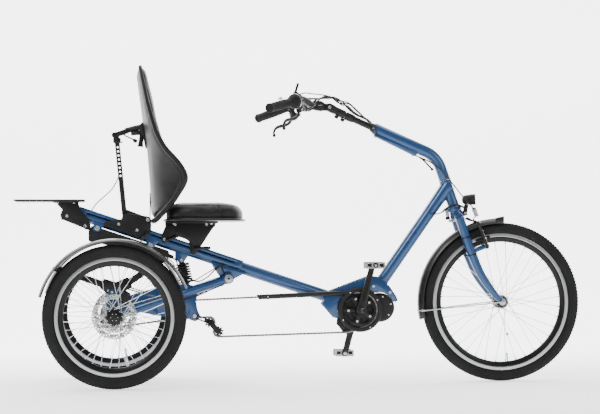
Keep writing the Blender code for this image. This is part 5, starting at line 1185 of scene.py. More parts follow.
# Swing arm group
def swing_arm():
    house_end = TRACK / 2 - DISC_INSET - 0.002
    tubes, plates, bolts, welds = [], [], [], []
    outline = rounded([
        (0.05, 0.303), (0.06, 0.322), (0.178, 0.356), (0.25, 0.362), (0.29, 0.357), (0.303, 0.33),
        (0.297, 0.3), (0.302, 0.27), (0.3125, 0.247), (0.306, 0.232), (0.292, 0.226), (0.276, 0.232),
        (0.262, 0.24), (0.15, 0.248), (0.09, 0.262), (0.055, 0.285),
    ], 0.012)
    end_outline = circle((0, REAR_Z), 0.034, 24, math.radians(150), math.radians(240)) + rounded([
        (0.046, 0.283), (0.066, 0.297), (0.06, 0.318), (0.03, 0.33), (0.008, 0.346), (-0.006, 0.35),
        (-0.02, 0.345), (-0.024, 0.325),
    ], 0.006)[3:-3]
    for side in (-1, 1):
        y = side * 0.0535
        tubes.append(across(0, REAR_Z, side * 0.034, side * house_end, 0.019, 40))
        tubes.append(across(*PIVOT, side * 0.0311, side * 0.0695, 0.019, 40, edge=0.001))
        tubes.append(tube([(PIVOT[0], y, PIVOT[1]), (0.002, y, 0.246)], 0.016, 36))
        plates.append(plate(outline, side * 0.049, side * 0.053, edge=0.0008))
        near, far = TRACK / 2 - DISC_INSET - 0.021, TRACK / 2 - DISC_INSET - 0.017
        plates.append(plate(end_outline, side * near, side * far, edge=0.0008))
        plates.append(
            plate(
                rounded(
                    [(0.254, 0.332), (0.286, 0.332), (0.275, 0.362), (0.266, 0.366), (0.257, 0.362)], 0.003
                ),
                side * 0.0115, side * 0.016
            )
        )
        welds.append(
            bead(
                seam_ring((0.002, y, 0.246), (0.413, 0, 0.136), 0.016, (0, 0, REAR_Z), (0, 1, 0), 0.019),
                0.0024
            )
        )
        ring = [
            Vector(
                (
                    *polar((0, REAR_Z), 0.0195, TURN * k / 40)[:1], side * near,
                    polar((0, REAR_Z), 0.0195, TURN * k / 40)[1]
                )
            )
            for k in range(40)
        ]
        welds.append(bead(ring, 0.0022, True))
        start, end = Vector((PIVOT[0], y, PIVOT[1])), Vector((0.002, y, 0.246))
        heading = (end - start).normalized()
        welds.append(
            bead(seam_ring(end, -heading, 0.016, (PIVOT[0], 0, PIVOT[1]), (0, 1, 0), 0.019, 40), 0.0022)
        )
        for x, z in ((-0.008, 0.338), (0.052, 0.306), (0.036, 0.292)):
            bolts.append(screw((x, side * far, z), (0, side, 0), 0.0048, 0.003))
            bolts.append(screw((x, side * near, z), (0, -side, 0), 0.0052, 0.004, True))
        bolts.append(screw((GEAR_HUB[0], side * 0.0545, GEAR_HUB[1]), (0, side, 0), 0.0085, 0.006, True))
        bolts.append(
            turned(
                [(0.006, 0), (0.0125, 0), (0.0125, 0.0013), (0.006, 0.0013)],
                (GEAR_HUB[0], side * 0.053, GEAR_HUB[1]), (0, side, 0), 32
            )
        )
    tubes.append(across(0.15, 0.262, -0.0535, 0.0535, 0.01, 32))
    tubes.append(across(0.272, 0.332, -0.0535, 0.0535, 0.011, 32))
    tubes.append(across(*SHOCK_LOWER, -0.016, 0.016, 0.0035, 20))
    bolts.append(screw((SHOCK_LOWER[0], -0.016, SHOCK_LOWER[1]), (0, -1, 0), 0.0055, 0.004, True))
    bolts.append(screw((SHOCK_LOWER[0], 0.016, SHOCK_LOWER[1]), (0, 1, 0), 0.0055, 0.0035))
    bolts.append(across(*TENSIONER_BOLT, -0.0616, -0.049, 0.004, 24))
    bolts.append(screw((TENSIONER_BOLT[0], -0.0576, TENSIONER_BOLT[1]), (0, -1, 0), 0.0075, 0.004))
    guard = plate(
        rounded(
            [
                (-0.052, 0.236), (-0.05, 0.272), (-0.02, 0.305), (0.03, 0.312), (0.215, 0.309),
                (0.222, 0.3), (0.06, 0.292), (0.03, 0.222), (-0.01, 0.2), (-0.044, 0.212)
            ],
            0.012
        ),
        0.033, 0.0345, edge=0.0005
    )
    parts = [(merged(*tubes, *plates), BLUE), (merged(*welds), BLUE), (merged(*bolts), STEEL)]
    piece("swing_arm_visual", "swing", parts, ["swing_arm"])
    piece("rear_chain_guard", "swing", [(guard, PLASTIC)])


def drivetrain():
    rear_wheels = [((0, REAR_Z), pitch_radius(24)), (GEAR_HUB, pitch_radius(16))]
    rear_spots, rear_phase = rollers(rear_wheels)
    piece(
        "rear_chain_visual", "swing", [(chain_shape(rear_spots, REAR_CHAIN_LINE), CHAIN)], ["rear_chain"],
        30
    )
    front_wheels = [
        (GEAR_HUB, pitch_radius(16)), (UPPER_PULLEY, -pitch_radius(9)), (LOWER_PULLEY, pitch_radius(9)),
        ((0.852, 0.192), 0.008), (BOTTOM_BRACKET, pitch_radius(32)),
    ]
    spots, phase = rollers(front_wheels)
    piece(
        "front_chain_visual", "frame", [(chain_shape(spots, CHAIN_LINE), CHAIN)], ["front_chain"],
        30
    )

    case = turned(
        [(0, -0.0535), (
            0.0085, -0.0535
        ), (0.0085, -0.0335), (0.022, -0.0335), (0.031, -0.03), (0.034, -0.025), (0.034, 0.016),
         (0.028, 0.019), (0.019, 0.02), (0.019, 0.0335), (0.0085, 0.0335), (0.0085, 0.0535), (0, 0.0535)],
        (0, 0, REAR_Z), sides=64, edge=0.0012,
    )
    holes = [circle(polar((0, REAR_Z), 0.0335, TURN * (k + 0.5) / 6), 0.0062, 20) for k in range(6)]
    ring = sprocket(
        (0, REAR_Z), REAR_CHAIN_LINE, 24, rear_phase[0], holes + [circle((0, REAR_Z), 0.0185, 32)]
    )
    rim_bolts = [
        screw(
            (
                *polar((0, REAR_Z), 0.0245, TURN * k / 8)[:1], 0.0195,
                polar((0, REAR_Z), 0.0245, TURN * k / 8)[1]
            ),
            (0, 1, 0), 0.003, 0.0022
        )
        for k in range(8)
    ]
    fins = [
        turned(
            [(0.0335, y), (0.035, y + 0.0005), (0.035, y + 0.0015), (0.0335, y + 0.002)], (0, 0, REAR_Z),
            sides=64, edge=0
        )
        for y in (-0.018, -0.012, -0.006, 0.0, 0.006)
    ]
    piece(
        "differential_visual", "axle_drive",
        [(merged(case, *fins), ANODISED), (ring, STEEL), (merged(*rim_bolts), DARK_STEEL)],
        ["differential"]
    )

    shell = turned(
        [(0, -0.0545), (
            0.006, -0.0545
        ), (0.006, -0.0485), (0.012, -0.0485), (0.012, -0.038), (0.026, -0.0345), (0.03, -0.031),
         (0.03, -0.027), (0.0235, -0.0245), (0.0235, 0.003), (0.03, 0.0055), (0.03, 0.0095), (0.026, 0.013),
         (0.016, 0.017),
         (0.012, 0.027), (0.012, 0.0485), (0.006, 0.0485), (0.006, 0.0545), (0, 0.0545)],
        (GEAR_HUB[0], 0, GEAR_HUB[1]), sides=64, edge=0.001,
    )
    bore = [circle(GEAR_HUB, 0.0118, 32)]
    front_cog = sprocket(GEAR_HUB, CHAIN_LINE, 16, phase[0], bore)
    rear_cog = sprocket(GEAR_HUB, REAR_CHAIN_LINE, 16, rear_phase[1], bore)
    piece(
        "gear_hub_visual", "hub_gear", [(shell, ANODISED), (merged(front_cog, rear_cog), DARK_STEEL)],
        ["gear_hub"]
    )

    links = [bar_between(TENSIONER_BOLT, UPPER_PULLEY, 0.0085, -0.0573, -0.0533, (0.28, 0.6), edge=0.001)]
    links.append(bar_between(UPPER_PULLEY, LOWER_PULLEY, 0.01, -0.0573, -0.0541, edge=0.0008))
    links.append(bar_between(UPPER_PULLEY, LOWER_PULLEY, 0.01, -0.0365, -0.0345, edge=0.0005))
    heads = []
    for centre in (UPPER_PULLEY, LOWER_PULLEY):
        heads.append(screw((centre[0], -0.0573, centre[1]), (0, -1, 0), 0.0052, 0.0026))
        heads.append(across(*centre, -0.0573, -0.0345, 0.003, 20))
    coil = [
        (
            TENSIONER_BOLT[0] + 0.0098 * math.cos(t), -0.053 + 0.0006 * t,
            TENSIONER_BOLT[1] + 0.0098 * math.sin(t)
        )
        for t in np.linspace(0, 6, 40)
    ]
    links.append(tube(coil, 0.0009, 8, edge=0.0002))
    piece(
        "tensioner_visual", "tensioner", [(merged(*links), BLACK), (merged(*heads), DARK_STEEL)],
        ["tensioner_arm"]
    )
    for name, body, centre, key in (
        ("upper", "upper_jockey", UPPER_PULLEY, 1), ("lower", "lower_jockey", LOWER_PULLEY, 2)
    ):
        holes = [circle(polar(centre, 0.0098, TURN * k / 5), 0.0021, 12) for k in range(5)]
        wheel = sprocket(centre, CHAIN_LINE, 9, phase[key], holes + [circle(centre, 0.0035, 20)], 0.003)
        boss = turned(
            [(0.0035, -0.0068), (0.0062, -0.0068), (0.0062, 0.0048), (0.0035, 0.0048)],
            (centre[0], CHAIN_LINE, centre[1]), sides=32
        )
        piece(
            f"{name}_pulley_visual", body, [(wheel, PLASTIC), (boss, DARK_STEEL)], [f"{name}_pulley"],
            30
        )

    edge_holes = []
    for k in range(5):
        middle = TURN * k / 5 + CRANK_ANGLE
        edge_holes.append(
            rounded(
                [
                    polar(BOTTOM_BRACKET, 0.05, middle - 0.4), polar(BOTTOM_BRACKET, 0.0525, middle),
                    polar(BOTTOM_BRACKET, 0.05, middle + 0.4), polar(BOTTOM_BRACKET, 0.03, middle + 0.28),
                    polar(BOTTOM_BRACKET, 0.03, middle - 0.28)
                ],
                0.004
            )
        )
    ring = sprocket(
        BOTTOM_BRACKET, CHAIN_LINE, 32, phase[4], edge_holes + [circle(BOTTOM_BRACKET, 0.015, 32)], 0.0036
    )
    tip = polar(BOTTOM_BRACKET, CRANK_LENGTH, CRANK_ANGLE)

    def crank(angle, side):
        tip = polar(BOTTOM_BRACKET, CRANK_LENGTH, angle)
        out = Vector((math.cos(angle), 0, math.sin(angle)))
        over = Vector((-out.z, 0, out.x))
        rows = []
        for along, half in (
            (-0.016, 0.008), (-0.008, 0.015), (0.004, 0.017), (0.02, 0.0165), (0.045, 0.0145),
            (0.1, 0.0118), (0.15, 0.0112), (0.166, 0.0115), (0.176, 0.0095), (0.1812, 0.005)
        ):
            ring_points = []
            deep = 0.007 if along < 0.12 else 0.0066
            for k in range(24):
                a = TURN * k / 24
                c = math.copysign(abs(math.cos(a)) ** 0.55, math.cos(a))
                s = math.copysign(abs(math.sin(a)) ** 0.55, math.sin(a))
                ring_points.append(
                    Vector((BOTTOM_BRACKET[0], side * CRANK_Y, BOTTOM_BRACKET[1])) + out * along
                    + over * half * c + Vector((0, deep * s, 0))
                )
            rows.append(ring_points)
        corners = [p for row in rows for p in row]
        faces = [tuple(range(24)), tuple(range((len(rows) - 1) * 24, len(rows) * 24))]
        faces += [
            (r * 24 + k, r * 24 + (k + 1) % 24, (r + 1) * 24 + (k + 1) % 24, (r + 1) * 24 + k)
            for r in range(len(rows) - 1) for k in range(24)
        ]
        arm = from_faces(corners, faces)
        groove = tube(
            [
                Vector((BOTTOM_BRACKET[0], side * (CRANK_Y + 0.0072), BOTTOM_BRACKET[1])) + out * a
                for a in (0.035, 0.15)
            ],
            [0.0055, 0.0038], 20, edge=0.002
        )
        stub = across(*tip, side * CRANK_Y, side * (CRANK_Y + 0.007 + 0.095), 0.0045, 24)
        cap = turned(
            [
                (0, 0.0058), (0.0085, 0.0058), (0.0098, 0.007), (0.0098, 0.008), (0.007, 0.0084),
                (0.0055, 0.0062), (0, 0.0062)
            ],
            (BOTTOM_BRACKET[0], side * CRANK_Y, BOTTOM_BRACKET[1]), (0, side, 0), 40
        )
        end = turned(
            [(0, -0.0082), (0.0068, -0.0082), (0.0068, -0.006), (0, -0.006)],
            (tip[0], side * CRANK_Y, tip[1]), (0, side, 0), 32
        )
        washer = turned(
            [(0.0045, 0.0066), (0.0092, 0.0066), (0.0092, 0.0078), (0.0045, 0.0078)],
            (tip[0], side * CRANK_Y, tip[1]), (0, side, 0), 32
        )
        return carved(arm, groove), merged(stub, end, washer), cap

    arm, stub, cap = crank(CRANK_ANGLE, -1)
    axle = across(*BOTTOM_BRACKET, -0.074, 0.0647, 0.0085, 32)
    collar = turned(
        [(0.0085, -0.068), (0.015, -0.068), (0.0185, -0.06), (0.0185, -0.0395), (0.0085, -0.0395)],
        (BOTTOM_BRACKET[0], 0, BOTTOM_BRACKET[1]), sides=48
    )
    spider, rivets = [], []
    for k in range(5):
        a = TURN * (k + 0.5) / 5 + CRANK_ANGLE
        spider.append(
            bar_between(
                polar(BOTTOM_BRACKET, 0.012, a), polar(BOTTOM_BRACKET, 0.043, a), 0.0062, -0.0505, -0.044,
                edge=0.0012
            )
        )
        spot = polar(BOTTOM_BRACKET, 0.043, a)
        rivets.append(screw((spot[0], -0.0505, spot[1]), (0, -1, 0), 0.0045, 0.0014))
    piece(
        "right_crank_visual", "cranks",
        [
            (merged(arm, collar, *spider), BLACK), (ring, DARK_STEEL), (merged(stub, axle, *rivets), STEEL),
            (cap, PLASTIC)
        ],
        ["right_crank"]
    )
    arm, stub, cap = crank(CRANK_ANGLE + math.pi, 1)
    piece(
        "left_crank_visual", "cranks", [(arm, BLACK), (stub, STEEL), (cap, PLASTIC)], ["left_crank"],
    )


def pedal(side_name, angle, side):
    x, z = polar(BOTTOM_BRACKET, CRANK_LENGTH, angle)
    low, high = sorted((side * (CRANK_Y + 0.011), side * (CRANK_Y + 0.098)))
    teeth = []
    count = 9
    for k in range(count):
        t = -0.0335 + 0.067 * (k + 0.5) / count
        teeth += [
            (x + t - 0.0028, z + 0.0112), (x + t - 0.001, z + 0.013), (x + t + 0.001, z + 0.013),
            (x + t + 0.0028, z + 0.0112)
        ]
    top = [(x - 0.0348, z + 0.0098), *teeth, (x + 0.0348, z + 0.0098)]
    outline = top + [(px, 2 * z - pz) for px, pz in reversed(top)]
    windows = [
        rounded(
            [
                (x + s * 0.0295, z - 0.007), (x + s * 0.0295, z + 0.007), (x + s * 0.0145, z + 0.007),
                (x + s * 0.0145, z - 0.007)
            ],
            0.003
        )
        for s in (-1, 1)
    ]
    inner, outer = sorted((side * (CRANK_Y + 0.0115), side * (CRANK_Y + 0.0975)), key=abs)
    sides = [
        plate(outline, outer, outer - side * 0.0016, windows, 0.0003),
        plate(outline, inner, inner + side * 0.0016, windows, 0.0003)
    ]
    bars = []
    for s in (-1, 1):
        bars.append(
            box(
                (x + s * 0.0315 - 0.0028, low + 0.002, z - 0.0085),
                (x + s * 0.0315 + 0.0028, high - 0.002, z + 0.0085), 0.0016
            )
        )
        bars.append(
            box(
                (x + s * 0.0205 - 0.012, (low + high) / 2 - 0.012, z - 0.006),
                (x + s * 0.0205 + 0.012, (low + high) / 2 + 0.012, z + 0.006), 0.0018
            )
        )
    barrel = turned(
        [
            (0.005, low + 0.0005), (0.0105, low + 0.0005), (0.0098, low + 0.02), (0.009, (low + high) / 2),
            (0.0098, high - 0.02), (0.0105, high - 0.0005), (0.005, high - 0.0005)
        ],
        (x, 0, z), sides=36, edge=0.0008
    )
    cap = turned([(0, 0), (0.0085, 0), (0.0085, 0.0006), (0, 0.0006)], (x, outer, z), (0, side, 0), 32)
    piece(
        f"{side_name}_pedal_visual", f"{side_name}_pedal_set",
        [(merged(*sides), BRUSHED), (merged(*bars, barrel, cap), PLASTIC)], [f"{side_name}_pedal"],
        30
    )


swing_arm()
drivetrain()
pedal("right", CRANK_ANGLE, -1)
pedal("left", CRANK_ANGLE + math.pi, 1)


# Main frame
TILT = math.atan(-0.3348)
ALONG = Vector((math.cos(TILT), 0, math.sin(TILT)))
ABOVE = Vector((-math.sin(TILT), 0, math.cos(TILT)))


def on_tube(s, h):
    """The (x, z) point s along the main tube and h above its axis."""
    point = Vector((0.667, 0, 0.354)) + ALONG * s + ABOVE * h
    return (point.x, point.z)


def tube_point(x):
    return (x, 0, 0.354 + (x - 0.667) * -0.3348)


def main_frame():
    body = tube([tube_point(-0.143), tube_point(0.832)], 0.0225, 56, edge=0.0015)
    side_outline = rounded([
        (0.772, 0.33), (0.934, 0.391), (0.961, 0.3885), (1.01, 0.3535), (1.034, 0.318), (1.043, 0.296),
    ], 0.004)[3:] + circle(MOTOR, 0.056, 24, math.radians(18), math.radians(86)) + rounded([(0.9, 0.333),
    (0.848, 0.305), (0.829, 0.234), (0.806, 0.236), (0.757, 0.292)], 0.006)
    beam = rounded([
        (0.8, 0.334), (0.934, 0.388), (0.9635, 0.3849), (1.0061, 0.3551), (1.008, 0.34),
        (0.985, 0.333), (0.96, 0.3305), (0.905, 0.336), (0.85, 0.312),
    ], 0.005)
    plates = [plate(beam, -0.0293, 0.0293, edge=0.001)]
    pivot_outline = rounded([
        (0.352, 0.445), (0.362, 0.425), (0.38, 0.398), (0.396, 0.375), (0.406, 0.366), (0.424, 0.366),
        (0.432, 0.378), (0.466, 0.396), (0.482, 0.398), (0.478, 0.404),
    ], 0.008)
    bolts, welds = [], []
    for side in (-1, 1):
        plates.append(plate(side_outline, side * 0.0283, side * 0.0323, edge=0.0008))
        plates.append(plate(pivot_outline, side * 0.0268, side * 0.0308, edge=0.0008))
        plates.append(
            plate(
                rounded(
                    [(0.222, 0.5), (0.222, 0.455), (0.236, 0.44), (0.252, 0.44), (0.278, 0.478)], 0.006
                ),
                side * 0.0115, side * 0.0155
            )
        )
        bolts.append(
            screw((SHOCK_UPPER[0], side * 0.0155, SHOCK_UPPER[1]), (0, side, 0), 0.0058, 0.004, side > 0)
        )
        for x, z in ((0.95, 0.352), (1.012, 0.33), (0.822, 0.262)):
            bolts.append(screw((x, side * 0.0323, z), (0, side, 0), 0.0055, 0.003))
    plates.append(across(0.405, 0.424, -0.0278, 0.0278, 0.01, 24))
    plates.append(across(0.452, 0.41, -0.0278, 0.0278, 0.008, 24))
    plates.append(across(*SHOCK_UPPER, -0.0155, 0.0155, 0.0035, 20))
    welds = []
    for side in (-1, 1):
        edge = [
            Vector((*on_tube(s, -0.0118)[:1], side * 0.0197, on_tube(s, -0.0118)[1]))
            for s in np.linspace(-0.29, -0.18, 24)
        ]
        welds.append(bead(edge, 0.0022))
        fold = [Vector((x, side * 0.0292, z)) for x, z in beam[6:40]]
        welds.append(bead(fold, 0.0016))
    cap = turned(
        [(0, -0.0012), (0.0195, -0.0012), (0.0208, 0), (0.0208, 0.002), (0, 0.002)], tube_point(-0.143),
        tuple(-ALONG), 40
    )
    piece(
        "main_tube_visual", "frame",
        [(merged(body, *plates), BLUE), (merged(*welds), BLUE), (merged(*bolts), STEEL), (cap, PLASTIC)],
        ["main_tube"]
    )


def seat_rail():
    half, roof, bottom = 0.03, 0.0258, -0.0042
    thick = 0.003
    section = [
        (-half, bottom), (-half, roof - 0.003), (-half + 0.001, roof - 0.001), (-half + 0.003, roof),
        (half - 0.003, roof), (half - 0.001, roof - 0.001), (half, roof - 0.003), (half, bottom)
    ]
    section += [
        (half - thick, bottom), (half - thick, roof - thick), (-half + thick, roof - thick),
        (-half + thick, bottom)
    ]
    corners = []
    for s in (-0.842, -0.215):
        for y, h in section:
            x, z = on_tube(s, h)
            corners.append((x, y, z))
    count = len(section)
    faces = [tuple(range(count)), tuple(range(count, 2 * count))] + [
        (k, (k + 1) % count, (k + 1) % count + count, k + count) for k in range(count)
    ]
    channel = from_faces(corners, faces)
    slots = []
    for start, end in ((-0.8095, -0.6), (-0.565, -0.246)):
        outline = []
        for s, turn_from in ((start, math.pi / 2), (end, -math.pi / 2)):
            for k in range(11):
                angle = turn_from + math.pi * k / 10
                outline.append(on_tube(s + 0.0034 * math.cos(angle), 0.0098 + 0.0034 * math.sin(angle)))
        slots.append(plate(outline, -0.05, 0.05, edge=0))
    channel = carved(channel, *slots, edge=0.0003)
    ears, bolts = [], []
    for side in (-1, 1):
        for s, length, drop_to in ((-0.759, 0.036, 0.04), (-0.556, 0.04, 0.036), (-0.3, 0.034, 0.03)):
            if s == -0.3 and side > 0:
                continue
            ear = rounded([on_tube(
                s - length / 2 - 0.006, bottom + 0.003
            ), on_tube(s + length / 2 + 0.006, bottom + 0.003), on_tube(
                s + length / 2 - 0.002, bottom - drop_to * 0.45
            ),
                           on_tube(s + length / 3, bottom - drop_to * 0.9), on_tube(s, bottom - drop_to),
                           on_tube(s - length / 3, bottom - drop_to * 0.9),
                           on_tube(s - length / 2 + 0.002, bottom - drop_to * 0.45)], 0.01)
            spot = on_tube(s, bottom - drop_to * 0.62)
            if s == -0.3:
                continue
            ears.append(
                plate(
                    ear, side * (half - 0.0002), side * (half - thick + 0.0002), [circle(spot, 0.0042, 20)]
                )
            )
            bolts.append(screw((spot[0], side * (half - 0.0002), spot[1]), (0, side, 0), 0.0068, 0.0034))
            bolts.append(
                turned(
                    [(0.004, 0), (0.009, 0), (0.009, 0.001), (0.004, 0.001)],
                    (spot[0], side * (half - 0.0004), spot[1]), (0, side, 0), 32
                )
            )
    welds = []
    for side in (-1, 1):
        for a, b in ((-0.838, -0.79), (-0.725, -0.69), (-0.52, -0.48), (-0.26, -0.218)):
            line = [
                Vector((*on_tube(s, bottom + 0.0002)[:1], side * 0.0262, on_tube(s, bottom + 0.0002)[1]))
                for s in np.linspace(a, b, 12)
            ]
            welds.append(bead(line, 0.0024))
    piece(
        "seat_rail_visual", "frame",
        [(merged(channel, *ears), BLUE), (merged(*welds), BLUE), (merged(*bolts), STEEL)], ["seat_rail"],
    )


def down_tube():
    axis = (Vector((HEAD_TOP[0], 0, HEAD_TOP[1])) - Vector((HEAD_BOTTOM[0], 0, HEAD_BOTTOM[1])))
    length = axis.length
    low = Vector((HEAD_BOTTOM[0], 0, HEAD_BOTTOM[1]))
    axis.normalize()
    head = turned(
        [
            (0.014, 0), (0.024, 0), (0.024, 0.013), (0.0215, 0.0155), (0.021, 0.018),
            (0.021, length - 0.01), (0.0225, length - 0.008), (0.0225, length), (0.014, length)
        ],
        low, axis, 56, edge=0.001
    )
    foot, top = Vector((0.985, 0, 0.37)), Vector((1.235, 0, 0.728))
    along = (top - foot).normalized()
    points = [foot + along * (0.0003 + (top - foot).length * k / 24) for k in range(25)]
    radii = [0.0225 if k < 16 else 0.0225 + 0.004 * ((k - 16) / 8) ** 1.3 for k in range(25)]
    leg = carved(
        tube(points, radii, 56, edge=0.0005),
        turned(
            [(0, -0.03), (0.0205, -0.03), (0.0205, length + 0.05), (0, length + 0.05)], low, axis, 48,
            edge=0
        )
    )
    ring = seam_ring(foot, along, 0.0245, low, axis, 0.021, 56)
    foot_ring = [
        foot + along * 0.003
        + (
            Vector((0, 1, 0)) * math.cos(TURN * k / 40)
            + along.cross(Vector((0, 1, 0))) * math.sin(TURN * k / 40)
        ) * 0.0228
        for k in range(40)
    ]
    cups = [
        turned(
            [(0.014, 0), (0.0232, 0), (0.0232, 0.0018), (0.014, 0.0018)], low + axis * (length - 0.0019),
            axis, 56
        )
    ]
    piece(
        "down_tube_visual", "frame",
        [
            (merged(head, leg), BLUE), (merged(bead(ring, 0.0024), bead(foot_ring, 0.0024, True)), BLUE),
            (merged(*cups), ANODISED)
        ],
        ["down_tube"]
    )


def carrier_and_battery():
    board = plate(
        rounded(
            [
                (-0.362, 0.6655), (-0.359, 0.6635), (-0.107, 0.6635), (-0.107, 0.6705), (-0.359, 0.6705),
                (-0.362, 0.6685)
            ],
            0.001
        ),
        -0.09, 0.09, edge=0.0012
    )
    gusset = rounded(
        [
            (-0.217, 0.665), (-0.189, 0.634), (-0.193, 0.6), (-0.13, 0.575), (-0.086, 0.556),
            (-0.088, 0.59), (-0.12, 0.634), (-0.135, 0.665)
        ],
        0.007
    )
    plates, bolts = [], []
    for side in (-1, 1):
        plates.append(plate(gusset, side * 0.0303, side * 0.0333))
        plates.append(
            plate(
                rounded([(-0.222, 0.6605), (-0.13, 0.6605), (-0.13, 0.6634), (-0.222, 0.6634)], 0.0006),
                side * 0.0333, side * 0.058
            )
        )
        for x, z in ((-0.172, 0.612), (-0.106, 0.575)):
            bolts.append(screw((x, side * 0.0333, z), (0, side, 0), 0.0058, 0.0034))
        for x in (-0.205, -0.147):
            bolts.append(
                turned(
                    [(0, 0), (0.006, 0), (0.0052, 0.0015), (0.003, 0.0022), (0, 0.0024)],
                    (x, side * 0.046, 0.6703), (0, 0, 1), 28
                )
            )
            bolts.append(screw((x, side * 0.046, 0.6605), (0, 0, -1), 0.0052, 0.004, True))
    plates.append(
        plate([(-0.1932, 0.63), (-0.1932, 0.598), (-0.1902, 0.598), (-0.1902, 0.63)], -0.033, 0.033)
    )
    bolts.append(screw((-0.1932, 0.0, 0.614), (-1, 0, 0), 0.0058, 0.0038))
    piece(
        "carrier_visual", "frame", [(board, DECK), (merged(*plates), BLACK), (merged(*bolts), STEEL)],
        ["rear_carrier"]
    )
    outline = rounded([
        (-0.094, 0.52), (-0.094, 0.556), (-0.08, 0.5775), (0.195, 0.4855), (0.2, 0.478),
        (0.196, 0.448), (0.15, 0.445), (-0.05, 0.512),
    ], 0.01, 8)
    case = plate(outline, -0.0265, 0.0265, edge=0.003)
    seam = plate(
        rounded(
            [
                (-0.0945, 0.5185), (-0.0945, 0.5565), (-0.0805, 0.578), (0.1955, 0.486), (0.2005, 0.478),
                (0.1965, 0.4475), (0.15, 0.4445), (-0.05, 0.5115)
            ],
            0.0102, 8
        ),
        -0.0004, 0.0004, edge=0
    )
    port = [
        turned(
            [(0, 0), (0.0065, 0), (0.0065, 0.001), (0.0048, 0.0016), (0, 0.0016)], (-0.06, -0.0265, 0.54),
            (0, -1, 0), 32
        )
    ]
    port.append(box((-0.03, -0.027, 0.525), (-0.004, -0.0262, 0.533), 0.0003))
    piece(
        "battery_visual", "frame", [(merged(case, *port), PLASTIC), (seam, RUBBER)], ["battery"],
    )


